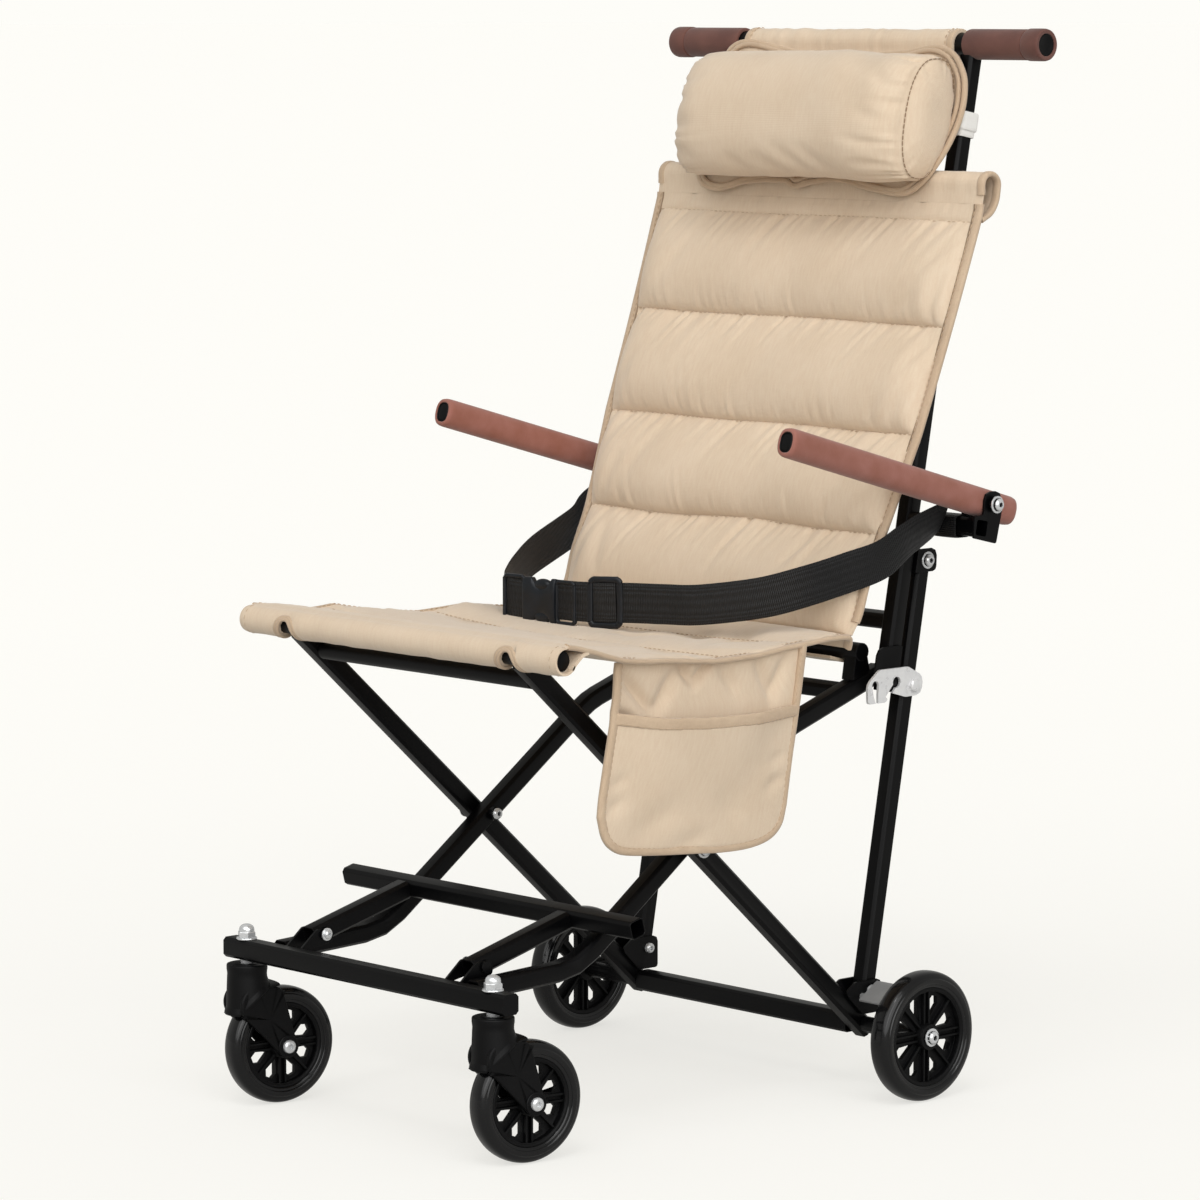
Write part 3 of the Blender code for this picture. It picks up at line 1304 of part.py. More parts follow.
def pillow(body):
    """Head pillow: a bolster with gathered ends on a backing that loops over the handlebar."""
    front_of_upright = TUBE / 2 / math.cos(BACK_LEAN) + GAP + CLOTH
    centre_z = PILLOW_Z
    back_face = back_y(centre_z) - front_of_upright
    centre_y = back_face - PILLOW_DEEP / 2 - 0.002
    data = bmesh.new()
    rings = []
    columns, around = 12, 16
    for column in range(columns + 1):
        share = -math.cos(math.pi * (0.04 + 0.92 * column / columns))
        fall = abs(share)
        end = math.sqrt(max(0.0, 1 - ((fall - 0.80) / 0.20) ** 2)) if fall > 0.80 else 1.0
        swell = end * (0.93 + 0.07 * math.cos(math.pi * share / 2))
        line = []
        for step in range(around):
            angle = math.tau * step / around
            y = PILLOW_DEEP / 2 * math.copysign(abs(math.cos(angle)) ** 0.85, math.cos(angle)) * swell
            z = PILLOW_TALL / 2 * math.copysign(abs(math.sin(angle)) ** 0.85, math.sin(angle)) * swell
            line.append(data.verts.new((PILLOW_X + PILLOW_HALF * share, centre_y + y + BACK_SLOPE * z, centre_z + z)))
        rings.append(line)
    for first, second in zip(rings, rings[1:]):
        band(data, first, second)
    data.faces.new(rings[0][::-1])
    data.faces.new(rings[-1])
    made = add("pillow", data, "fabric", body)
    hem_front = TOP_BAR[0] - TOP_BAR_R - 2 * CLOTH
    rear = centre_y + PILLOW_DEEP / 2 - CLOTH
    climb = [(hem_front, TOP_BAR_Z - 0.004), (hem_front + 0.001, TOP_BAR_Z + 0.017),
             (rear - 0.005, centre_z - 0.018), (rear, centre_z + 0.005), (rear + 0.0065, centre_z + 0.032)]
    stations = [(point, 0.0) for point in climb]
    hem = hem_line(HANDLE, HANDLE_R, 185, 0, 5)
    stations += [(point, 1.0) for point in hem]
    stations += [((hem[-1][0] - 0.0005, HANDLE[1] - drop), 1.0) for drop in (0.0166, 0.0326)]

    def half_of(place):
        return PILLOW_HALF - 0.004 if place < 0.5 else INNER_FACE - 0.006

    rows = quilted(stations, half_of, [5.0, 6.0], 0.0, CLOTH)
    combine(made, cloth_strip(rows, 4), "UNION")



def seat_under(y):
    """Height of the seat's underside at y, near its edge."""
    line = seat_line()
    for (y0, z0), (y1, z1) in zip(line, line[1:]):
        if y0 <= y <= y1:
            return z0 + (z1 - z0) * (y - y0) / (y1 - y0) - CLOTH / 2
    return line[-1][1]


def side_pocket(body):
    """Pocket that hangs from the sitter's left edge of the seat, fuller below its mouth."""
    data = bmesh.new()
    wide, tall = 7, 8
    low = CREASE[1] - POCKET_DROP
    inside = seat_half(sum(POCKET_TOP) / 2) - POCKET_INSIDE
    layers = []
    for outer in (True, False):
        grid = []
        for row in range(tall + 1):
            down = row / tall
            line = []
            for column in range(wide + 1):
                share = column / wide
                y_top = POCKET_TOP[0] + (POCKET_TOP[1] - POCKET_TOP[0]) * share
                y_low = POCKET_LOW[0] + (POCKET_LOW[1] - POCKET_LOW[0]) * share
                top = seat_under(y_top) - 4 * GAP
                corner = 0.022
                from_side = min(share, 1 - share) * (POCKET_LOW[1] - POCKET_LOW[0])
                lift = corner - math.sqrt(max(0.0, corner**2 - max(0.0, corner - from_side) ** 2))
                z = top + (low + lift * 0.9 - top) * down
                y = y_top + (y_low - y_top) * down
                y += 0.006 * math.sin(math.pi * down) * (1 - 2 * share)
                full = math.sin(math.pi * share) ** 0.5 * (0.35 + 0.65 * min(1.0, down * 1.6))
                full *= min(1.0, (1 - down) * 4)
                x = inside + (0.0015 + 0.007 * full if outer else -0.0015)
                line.append(data.verts.new((x, y, z)))
            grid.append(line)
        layers.append(grid)
    out, inn = layers
    for i in range(tall):
        for j in range(wide):
            data.faces.new((out[i][j], out[i][j + 1], out[i + 1][j + 1], out[i + 1][j]))
            data.faces.new((inn[i][j], inn[i + 1][j], inn[i + 1][j + 1], inn[i][j + 1]))
        for j in (0, wide):
            data.faces.new((out[i][j], out[i + 1][j], inn[i + 1][j], inn[i][j]))
    for i in (0, tall):
        for j in range(wide):
            data.faces.new((out[i][j], inn[i][j], inn[i][j + 1], out[i][j + 1]))
    add("side_pocket", data, "fabric", body)


def strap(points, name, body, each=4):
    """Flat webbing on edge along a line of (x, y, z) points."""
    line = [Vector(point) for point in catmull(points, each)]
    frames = []
    for i, point in enumerate(line):
        run = (line[min(i + 1, len(line) - 1)] - line[max(i - 1, 0)]).normalized()
        across = run.cross(Vector((0, 0, 1))).normalized()
        up = across.cross(run).normalized() if i else Vector((0, 0, 1))
        frames.append((point, across, up))
    outline = [(-STRAP_THICK / 2, -STRAP / 2), (STRAP_THICK / 2, -STRAP / 2),
               (STRAP_THICK / 2, STRAP / 2), (-STRAP_THICK / 2, STRAP / 2)]
    data = sweep([(point, across * -1, up) for point, across, up in frames], outline)
    return add(name, data, "webbing", body)


def belt(body):
    """Lap belt: both webbings, the closed side-release buckle and the slider."""
    run = Vector(BUCKLE_RUN).normalized()
    reach = run * (BUCKLE_HALF + 2 * GAP)
    straight = run * 0.020
    right_end = Vector(BUCKLE) - reach
    left_end = Vector(BUCKLE) + reach
    left = [(share * BELT_OUT, y, z) for share, y, z in BELT_LEFT + BELT_TAIL]
    right = [(share * BELT_OUT, y, z) for share, y, z in BELT_RIGHT]
    right += [(-share * BELT_OUT, y, z) for share, y, z in BELT_TAIL]
    strap([right_end, right_end - straight, *right], "belt_right_side", body)
    strap([left_end, left_end + straight, *left], "belt_left_side", body)
    deep = 0.0045
    shell = [
        (-BUCKLE_HALF, -STRAP / 2 - 0.0025), (BUCKLE_HALF, -STRAP / 2 - 0.0025),
        (BUCKLE_HALF, STRAP / 2 + 0.0025), (-BUCKLE_HALF, STRAP / 2 + 0.0025),
    ]
    body_outline = rounded([(p, 0.004) for p in shell])
    across = Vector((0, 0, 1)).cross(run) * -1
    frames = [(Vector(BUCKLE) + across * s, run, Vector((0, 0, 1))) for s in (deep, -deep)]
    buckle = add("belt_buckle", sweep(frames, body_outline), "webbing", body)
    return buckle


def build():
    clear_scene()
    make_materials()
    chair = carrier("chair", None)
    seat = carrier("seat_frame", chair)
    cross = carrier("cross_frame", seat, CROSSING)
    leg = carrier("leg_frame", seat, LEG_PIVOT)
    back = carrier("back_frame", leg, (leg_y(BACK_PIVOT_Z), BACK_PIVOT_Z))
    foot = carrier("footrest", cross, FOOT_PIVOT)
    forks, caster_wheels, wheels, arms, latches, tabs = [], [], [], [], [], []
    for side, sign in SIDES:
        holder = carrier(f"caster_{side}", cross, (CASTER_BAR_Y, CASTER_BAR_Z), sign * CASTER_X)
        forks.append(holder)
        holder.rotation_euler.z = CASTER_TURN
        caster_wheels.append(carrier(f"caster_wheel_{side}", holder, CASTER_HUB, sign * CASTER_X))
        wheels.append(carrier(f"rear_wheel_{side}", seat, AXLE, sign * REAR_WHEEL_X))
        arms.append(carrier(f"armrest_{side}", back, ARM_PIVOT, sign * ARM_X))
        latches.append(carrier(f"latch_{side}", leg, LATCH_PIVOT, sign * LATCH_IN))
        tabs.append(carrier(f"brake_{side}", seat, BRAKE_PIVOT, sign * OUTER_FACE))
    seat_frame(seat)
    cross_frame(cross)
    footrest(foot)
    footrest_holes()
    casters(forks, caster_wheels)
    rear_wheels(wheels)
    back_legs(leg)
    back_frame(back)
    for index, (side, sign) in enumerate(SIDES):
        latch(side, sign, latches[index])
        armrest(side, sign, arms[index])
        brake_tab(side, sign, tabs[index])
    seat_fabric(seat)
    side_pocket(seat)
    back_fabric(back)
    pillow(back)
    belt(back)
    chair.location = (0.0, ORIGIN_Y, 0.0)


build()
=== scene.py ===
# %% [markdown]
# # A folding transport chair
# The chair is a welded frame of black square tube, slung with a padded seat and back
# of beige polyester, on four moulded wheels. The CAD frame gives every place and size.
# This lesson dresses it: the steel is carried over with softened corners, and wheels,
# foam, cloth and webbing are worked out as surfaces.

# %% Load the frame and keep its box
import json
import math
import bmesh
import bpy
import numpy as np
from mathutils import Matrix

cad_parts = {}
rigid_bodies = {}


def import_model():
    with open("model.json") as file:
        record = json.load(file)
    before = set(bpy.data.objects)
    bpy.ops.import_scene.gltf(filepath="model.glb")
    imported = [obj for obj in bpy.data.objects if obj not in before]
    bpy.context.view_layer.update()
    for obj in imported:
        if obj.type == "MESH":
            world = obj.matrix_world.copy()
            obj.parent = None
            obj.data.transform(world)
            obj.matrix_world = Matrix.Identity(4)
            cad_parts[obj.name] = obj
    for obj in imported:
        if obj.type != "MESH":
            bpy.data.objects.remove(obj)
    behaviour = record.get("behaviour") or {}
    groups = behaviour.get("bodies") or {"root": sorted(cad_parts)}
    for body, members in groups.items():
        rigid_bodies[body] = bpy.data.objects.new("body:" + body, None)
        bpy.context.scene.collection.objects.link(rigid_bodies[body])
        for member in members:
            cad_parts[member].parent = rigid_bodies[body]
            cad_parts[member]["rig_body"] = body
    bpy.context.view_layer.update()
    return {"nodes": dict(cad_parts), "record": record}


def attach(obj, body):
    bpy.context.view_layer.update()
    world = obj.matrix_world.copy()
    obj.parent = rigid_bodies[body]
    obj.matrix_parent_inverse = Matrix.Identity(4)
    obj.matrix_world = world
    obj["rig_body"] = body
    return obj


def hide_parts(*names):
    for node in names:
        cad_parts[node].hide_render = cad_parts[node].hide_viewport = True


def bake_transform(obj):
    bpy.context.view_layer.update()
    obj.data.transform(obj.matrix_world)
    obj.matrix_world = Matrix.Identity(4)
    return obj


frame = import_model()
SIDES = {"left": 1.0, "right": -1.0}

# %% [markdown]
# ## The camera
# The photograph is taken from far off with a long lens, as high as the push handles and
# a good way round to the chair's left. A long lens keeps the square tubes nearly
# parallel, so its focal length matters as much as its place.

# %% Place the camera
CAMERA_PLACE = (3.62919, -3.37687, 1.05550)
CAMERA_TURN = (83.381, 0.0, 47.255)
LENS, SENSOR = 154.55, 36.0


def added(name, data):
    """A new object of the scene that shows the mesh, lamp or camera data."""
    made = bpy.data.objects.new(name, data)
    bpy.context.scene.collection.objects.link(made)
    return made


camera_data = bpy.data.cameras.new("camera")
camera_data.lens, camera_data.sensor_width = LENS, SENSOR
camera = added("camera", camera_data)
camera.location = CAMERA_PLACE
camera.rotation_euler = [math.radians(a) for a in CAMERA_TURN]
bpy.context.scene.camera = camera
bpy.context.scene.view_settings.view_transform = "Standard"
print("camera stands", round(math.hypot(*CAMERA_PLACE), 2), "m from the chair's foot")

# %% [markdown]
# ## Materials from nodes
# Every finish is a small graph of nodes. One helper adds a node with its settings and
# links, and one turns the hex colours that a designer writes into the linear values
# that Cycles adds up.

# %% Helpers for colours and nodes
def linear(code):
    """Each channel of an sRGB hex code, as ((c + 0.055) / 1.055) to the power 2.4."""
    srgb = np.array([int(code[i:i + 2], 16) for i in (1, 3, 5)]) / 255.0
    low = srgb <= 0.04045
    value = np.where(low, srgb / 12.92, ((srgb + 0.055) / 1.055) ** 2.4)
    return (*map(float, value), 1.0)


def add(tree, kind, settings=None, **links):
    """Adds a node, sets its properties and sockets, and links its inputs.
    A setting named like a property is set on the node, and any other on the socket. A
    link is named after its socket, with _ for a space, or _ and the socket's number."""
    node = tree.nodes.new(kind)
    for name, value in (settings or {}).items():
        if isinstance(name, str) and hasattr(node, name):
            setattr(node, name, value)
        else:
            node.inputs[name].default_value = value
    for name, source in links.items():
        key = int(name[1:]) if name[0] == "_" and name[1:].isdigit() else name.replace("_", " ")
        tree.links.new(source, node.inputs[key])
    return node

# %% Helpers for materials and ramps
def new_material(name, settings):
    """A material with an empty tree but for its Principled shader, which gets the settings."""
    material = bpy.data.materials.new(name)
    material.use_nodes = True
    tree = material.node_tree
    shader = tree.nodes["Principled BSDF"]
    for key, value in settings.items():
        shader.inputs[key].default_value = value
    return material, tree, shader


def ramp(tree, factor, stops):
    """A colour ramp over the factor, with (place, colour) stops."""
    node = add(tree, "ShaderNodeValToRGB", Fac=factor)
    ends = node.color_ramp.elements
    while len(ends) < len(stops):
        ends.new(0.5)
    for end, (place, colour) in zip(ends, stops):
        end.position = place
        end.color = colour if len(colour) == 4 else (*colour, 1.0)
    return node.outputs["Color"]


def mm(spacing):
    """The noise or voronoi scale at which one feature is about this many millimetres."""
    return 1000.0 / spacing


def grey(value):
    """A plain grey for a ramp that drives roughness or height."""
    return (value, value, value, 1.0)

# %% [markdown]
# ## Hard finishes
# Powder coat is a baked paint with a faint orange peel. Moulded plastic has a fine
# spark-eroded grain. Zinc plate is a metal with cloudy patches. All of them share one
# recipe: a slow drift of tone, a fine grain in the bump, and convex edges painted paler,
# part wear and part a painted highlight, so one function builds them from real sizes.

# %% A recipe for hard finishes
def hard_finish(name, settings, tones, rough, patch, grain, depth, edge_wear_and_sheen):
    """Tone and roughness drift between two values over patches, the grain is a bump of
    depth times noise, and edge_wear_and_sheen is a paler colour mixed in where the surface
    is convex: part wear, part a painted highlight along the edges."""
    material, tree, shader = new_material(name, settings)
    place = add(tree, "ShaderNodeTexCoord").outputs["Object"]
    cloud = add(tree, "ShaderNodeTexNoise", {"Scale": mm(patch), "Detail": 4.0}, Vector=place)
    fine = add(tree, "ShaderNodeTexNoise", {"Scale": mm(grain), "Detail": 2.0}, Vector=place)
    drift = ramp(tree, cloud.outputs["Fac"],
                 [(0.32, linear(tones[0])), (0.68, linear(tones[1]))])
    # Convex edges get a paler colour: part wear, part a painted highlight.
    edge = add(tree, "ShaderNodeNewGeometry").outputs["Pointiness"]
    worn_and_sheen = ramp(tree, edge, [(0.53, grey(0.0)), (0.62, grey(0.55))])
    colour = add(tree, "ShaderNodeMixRGB", {"Color2": linear(edge_wear_and_sheen)}, Fac=worn_and_sheen, Color1=drift)
    dull = ramp(tree, cloud.outputs["Fac"], [(0.3, grey(rough[0])), (0.7, grey(rough[1]))])
    bump = add(tree, "ShaderNodeBump", {"Strength": 1.0, "Distance": depth / 1000.0},
               Height=fine.outputs["Fac"])
    tree.links.new(colour.outputs["Color"], shader.inputs["Base Color"])
    tree.links.new(dull, shader.inputs["Roughness"])
    tree.links.new(bump.outputs["Normal"], shader.inputs["Normal"])
    return material


# %% Finishes of the steel, the plastic and the foam
# Satin black powder coat: nearly black, with broad soft highlights and orange peel.
POWDER = hard_finish(
    "satin_black_powder_coat", {"IOR": 1.45, "Specular IOR Level": 0.18},
    ("#030304", "#060607"), (0.32, 0.40), 60, 2.2, 0.012, "#161617")
# Moulded black nylon of forks and wheel centres: duller, with a fine spark grain.
MOULDED = hard_finish(
    "moulded_black_nylon", {"IOR": 1.50, "Specular IOR Level": 0.17},
    ("#040405", "#070708"), (0.42, 0.52), 40, 0.9, 0.010, "#131314")
# Polished solid tyre of black polyurethane: glossy, with faint moulding flow marks.
TYRE = hard_finish(
    "solid_black_polyurethane", {"IOR": 1.49, "Specular IOR Level": 0.20,
                                 "Coat Weight": 0.5, "Coat Roughness": 0.07},
    ("#050506", "#08080A"), (0.22, 0.28), 30, 6.0, 0.010, "#0C0C0D")
# Bright zinc plate of bolts and dome nuts.
ZINC = hard_finish(
    "bright_zinc_plated_steel", {"Metallic": 0.55},
    ("#D6D8DA", "#E2E3E4"), (0.14, 0.20), 5, 1.2, 0.006, "#E2E3E3")
# Dull zinc of the pressed latch plates.
LATCH_ZINC = hard_finish(
    "pressed_zinc_plated_sheet", {"Metallic": 0.25},
    ("#DADADB", "#E6E6E6"), (0.26, 0.34), 9, 1.5, 0.008, "#E8E8E8")
# Grey glass-filled nylon of the brake tabs.
GREY_NYLON = hard_finish(
    "moulded_grey_nylon", {"IOR": 1.53, "Specular IOR Level": 0.4},
    ("#7A7A7A", "#858585"), (0.44, 0.52), 12, 1.0, 0.020, "#9A9A9A")
# Acetal of the belt's buckle: hard, slippery and a little blue.
ACETAL = hard_finish(
    "moulded_black_acetal", {"IOR": 1.48, "Specular IOR Level": 0.38},
    ("#0B0F14", "#11161D"), (0.30, 0.38), 14, 1.0, 0.012, "#1B1D22")
# Nitrile foam of the armrests: red-brown, soft skin with open pores.
ARM_FOAM = hard_finish(
    "red_brown_nitrile_foam", {"IOR": 1.45, "Specular IOR Level": 0.28,
                               "Sheen Weight": 0.25, "Sheen Roughness": 0.5},
    ("#8C5748", "#99655A"), (0.66, 0.78), 22, 1.3, 0.16, "#A87468")
# Darker nitrile foam of the push handles.
HANDLE_FOAM = hard_finish(
    "dark_brown_nitrile_foam", {"IOR": 1.45, "Specular IOR Level": 0.28,
                                "Sheen Weight": 0.2, "Sheen Roughness": 0.5},
    ("#5F3D36", "#6E4940"), (0.66, 0.78), 22, 1.3, 0.16, "#80594F")
print(len(bpy.data.materials), "materials after the hard finishes")

# %% [markdown]
# ## Cloth finishes
# The seat, back, pillow and pocket are sewn from brushed polyester: a plain weave, about
# 0.5 mm from thread to thread, whose raised nap lies in faint slanting streaks. Such a
# fine weave is less than a pixel here, so it is drawn at 1.3 mm, and it follows the
# cloth's own map, whose units are metres along the cloth.

# %% A recipe for woven cloth
WEAVE = 1.3
WAVE_TURN = 2 * math.pi / 20.0     # a wave texture turns once in 2 pi / 20 of its space


def woven(name, tones, weave, depth, nap, settings=None, rib_hollow_shade=0.0):
    """Two crossed waves are the weave, stretched slanting noise is the nap, and a slow
    noise is the drift of tone that washing and sitting leave. rib_hollow_shade is how dark
    the hollow between two cross ribs is painted, for webbing: a painted shade in the hollows."""
    material, tree, shader = new_material(name, {
        "Roughness": 0.88, "Specular IOR Level": 0.2, "Sheen Weight": 0.35,
        "Sheen Roughness": 0.45, **(settings or {})})
    cloth = add(tree, "ShaderNodeUVMap", {"uv_map": "cloth"}).outputs["UV"]
    place = add(tree, "ShaderNodeTexCoord").outputs["Object"]
    threads = [add(tree, "ShaderNodeTexWave", {
        "bands_direction": axis, "Scale": mm(weave) * WAVE_TURN, "Distortion": 0.6,
        "Detail": 1.0}, Vector=cloth) for axis in ("X", "Y")]
    crossed = add(tree, "ShaderNodeMath", {"operation": "MULTIPLY"},
                  _0=threads[0].outputs["Fac"], _1=threads[1].outputs["Fac"])
    slant = add(tree, "ShaderNodeMapping", {"Rotation": (0, 0, math.radians(38)),
                                            "Scale": (1.0, 0.16, 1.0)}, Vector=cloth)
    streaks = add(tree, "ShaderNodeTexNoise", {"Scale": mm(2.4), "Detail": 4.0,
                                               "Roughness": 0.6}, Vector=slant.outputs["Vector"])
    slub = add(tree, "ShaderNodeTexNoise", {"Scale": mm(1.6), "Detail": 2.0}, Vector=cloth)
    drift = add(tree, "ShaderNodeTexNoise", {"Scale": mm(70), "Detail": 3.0}, Vector=place)
    tone = ramp(tree, drift.outputs["Fac"], [(0.3, linear(tones[0])), (0.7, linear(tones[1]))])
    streak = ramp(tree, streaks.outputs["Fac"], [(0.35, grey(0.5 - nap)), (0.65, grey(0.5 + nap))])
    napped = add(tree, "ShaderNodeMixRGB", {"blend_type": "OVERLAY", "Fac": 1.0},
                 Color1=tone, Color2=streak)
    grain = ramp(tree, slub.outputs["Fac"], [(0.3, grey(0.5 - nap / 2)), (0.7, grey(0.5 + nap / 2))])
    spun = add(tree, "ShaderNodeMixRGB", {"blend_type": "OVERLAY", "Fac": 1.0},
               Color1=napped.outputs["Color"], Color2=grain)
    # Painted shade: the hollows between the webbing's cross ribs are made darker.
    if rib_hollow_shade:
        spun = add(tree, "ShaderNodeMixRGB", {"blend_type": "MULTIPLY", "Fac": rib_hollow_shade},
                   Color1=spun.outputs["Color"], Color2=threads[1].outputs["Color"])
        crossed = add(tree, "ShaderNodeMath", {"operation": "MULTIPLY_ADD", 1: 2.0},
                      _0=threads[1].outputs["Fac"], _2=threads[0].outputs["Fac"])
    lift = add(tree, "ShaderNodeMath", {"operation": "MULTIPLY_ADD", 1: 0.6},
               _0=crossed.outputs["Value"], _2=streaks.outputs["Fac"])
    bump = add(tree, "ShaderNodeBump", {"Strength": 1.0, "Distance": depth / 1000.0},
               Height=lift.outputs["Value"])
    tree.links.new(spun.outputs["Color"], shader.inputs["Base Color"])
    tree.links.new(bump.outputs["Normal"], shader.inputs["Normal"])
    return material


# %% The chair's cloths, threads and webbing
# Brushed polyester in warm beige, soft and dull with a nap that lightens towards its rim.
CLOTH = woven("brushed_beige_polyester", ("#D5C0A7", "#DBC7AF"), WEAVE, 0.14, 0.022)
# The folded binding tape round every edge, cut across the weave and a little darker.
BINDING = woven("beige_binding_tape", ("#BEA68C", "#C7B096"), WEAVE, 0.14, 0.03)
# A painted shade: a darker cloth strip laid in the groove beside a binding, where shade falls.
GROOVE_SHADE_CLOTH = woven("painted_groove_shade", ("#8E7A65", "#9A866F"), WEAVE, 0.20, 0.05)
# Spun polyester thread of the seams.
THREAD = woven("spun_beige_thread", ("#B79E83", "#C4AC91"), 0.9, 0.10, 0.10)
# Nylon webbing: ribs across the strap, 2 mm apart, with a tight glossy yarn, and painted shade in the
# hollows between the ribs.
WEBBING = woven("black_nylon_webbing", ("#0E0E10", "#161618"), 1.9, 0.34, 0.06,
                {"Roughness": 0.42, "Sheen Weight": 0.03, "Specular IOR Level": 0.34}, rib_hollow_shade=0.85)
# White polyester tape of the pillow's tie.
WHITE_TAPE = woven("white_polyester_tape", ("#E6E4E0", "#EFEDE9"), 1.2, 0.2, 0.04)
print(len(bpy.data.materials), "materials in all")

# %% [markdown]
# ## The studio
# A plain pale floor, a white world and three suns. A sun lights the whole floor evenly,
# and the wide angle of two of them makes shadows as soft as those of a large lightbox.
# The third is narrow and weak, for a glint on steel. The world is white to the camera,
# and dimmer as light on the object and in its reflections.

# %% Floor, world and lamps
AMBIENT = 0.44
FLOOR_HALF = 200.0              # far enough for the floor to fill the view
FLOOR_GLOW = 0.66               # the sheet is lit from below as well, so shadows stay pale
SUNS = {                       # name: (strength, angle it covers, turn, tilt from overhead)
    "key": (1.42, 70, 30, 50),
    "side": (1.38, 60, 72, 76),
    "glint": (0.20, 9, 42, 34),
}


def studio_floor():
    """One square face, a little darker under the chair as painted shade, that glows so that it looks white.
    """
    mesh = bpy.data.meshes.new("studio_floor")
    mesh.from_pydata([(x * FLOOR_HALF, y * FLOOR_HALF, 0) for x, y in ((-1, -1), (1, -1), (1, 1), (-1, 1))],
                     [], [(0, 1, 2, 3)])
    material, tree, shader = new_material("matt_paper_floor", {
        "Roughness": 0.9, "Specular IOR Level": 0.0})
    place = add(tree, "ShaderNodeTexCoord").outputs["Object"]
    away = add(tree, "ShaderNodeVectorMath", {"operation": "LENGTH"}, _0=place)
    share = add(tree, "ShaderNodeMath", {"operation": "DIVIDE", 1: 4.0}, _0=away.outputs["Value"])
    # Painted shade: the floor's colour is darkest at the chair and pales outwards over 4 m.
    floor_tone_with_painted_shade = ramp(tree, share.outputs["Value"], [
        (0.0, linear("#9C9B99")), (0.5, linear("#A3A2A0")), (1.0, linear("#A5A4A2"))])
    tree.links.new(floor_tone_with_painted_shade, shader.inputs["Base Color"])
    shader.inputs["Emission Color"].default_value = linear("#FEFDF8")
    seen = add(tree, "ShaderNodeLightPath").outputs["Is Camera Ray"]
    glow = add(tree, "ShaderNodeMapRange", {"To Min": FLOOR_GLOW * 0.30, "To Max": FLOOR_GLOW},
               Value=seen)
    tree.links.new(glow.outputs["Result"], shader.inputs["Emission Strength"])
    mesh.materials.append(material)
    added("studio_floor", mesh)

# %% The white world
def studio_world():
    """White to the camera and through clear parts, and AMBIENT times that for all else."""
    world = bpy.data.worlds.new("white_studio")
    bpy.context.scene.world = world
    world.use_nodes = True
    tree = world.node_tree
    path = add(tree, "ShaderNodeLightPath").outputs
    seen = add(tree, "ShaderNodeMath", {"operation": "MAXIMUM"},
               _0=path["Is Camera Ray"], _1=path["Is Transmission Ray"])
    strength = add(tree, "ShaderNodeMapRange", {"To Min": AMBIENT, "To Max": 1.0},
                   Value=seen.outputs["Value"])
    paper = tree.nodes["Background"]
    paper.inputs["Color"].default_value = linear("#FEFDF8")
    tree.links.new(strength.outputs["Result"], paper.inputs["Strength"])

# %% Light the studio
studio_floor()
studio_world()
for name, (strength, angle, turn, tilt) in SUNS.items():
    sun = bpy.data.lights.new(name, "SUN")
    sun.energy, sun.angle = strength, math.radians(angle)
    added(name, sun).rotation_euler = (math.radians(tilt), 0.0, math.radians(turn))
print("ambient", AMBIENT, "and suns", {k: v[0] for k, v in SUNS.items()})

# %% [markdown]
# ## Surfaces from grids of points
# A tyre, a sleeve or a strap is one grid of points worked out by a formula: rows along it
# and columns round it. The grid becomes quads in one go, with no loop over its points.
# Several grids can make one piece, such as a wheel's flange with its hub.

# %% Grids, and the pieces that they make
MIDDLE = np.array([0.0, -0.0215, 0.0])       # the drawing's zero, seen from the part's own
MEETING = 1e-5                               # points closer than this are one
SEAT_BENDS = ("seat_frame", "cross_frame", (0, -0.215, 0.46), (0, 0.150, 0.46))
ON_SEAT, ON_BACK = (SEAT_BENDS, "beige_fabric"), ("back_frame", "beige_fabric")
LEFTWARD, UP = np.array([1.0, 0, 0]), np.array([0, 0, 1.0])


def grid(points, along=False, ends=(False, False), cloth=None, flip=False):
    """A tube of quads through points[row, column]: corner (i, j) joins its next row and
    column, and the columns close round. along closes the rows too, and ends fills the
    first or last row with one flat face. cloth holds the map, in metres."""
    points = np.asarray(points, float)
    rows, columns = points.shape[:2]
    i, j = np.meshgrid(np.arange(rows if along else rows - 1), np.arange(columns), indexing="ij")
    i, j = i.ravel(), j.ravel()
    i2, j2 = (i + 1) % rows, (j + 1) % columns
    quads = np.stack([i * columns + j, i * columns + j2, i2 * columns + j2, i2 * columns + j], 1)
    faces = quads[:, ::-1].tolist() if flip else quads.tolist()
    ring = np.arange(columns)
    if ends[0]:
        faces.append((ring if flip else ring[::-1]).tolist())
    if ends[1]:
        last = ring + (rows - 1) * columns
        faces.append((last[::-1] if flip else last).tolist())
    if cloth is None:
        cloth = np.zeros((rows, columns, 2))
    corners = np.stack([np.stack([i, j], 1), np.stack([i, j + 1], 1),
                        np.stack([i + 1, j + 1], 1), np.stack([i + 1, j], 1)], 1)
    padded_map = np.pad(np.asarray(cloth, float), ((0, 1), (0, 1), (0, 0)), mode="edge")
    step = np.linalg.norm(points[:, 0] - points[:, -1], axis=1)
    padded_map[:-1, -1, 0] = padded_map[:-1, -2, 0] + step
    uv = padded_map[corners[..., 0], corners[..., 1]]
    if flip:
        uv = uv[:, ::-1]
    extra = sum(columns for end in ends if end)
    uv = np.concatenate([uv.reshape(-1, 2), np.zeros((extra, 2))])
    return {"co": points.reshape(-1, 3), "faces": faces, "uv": uv}

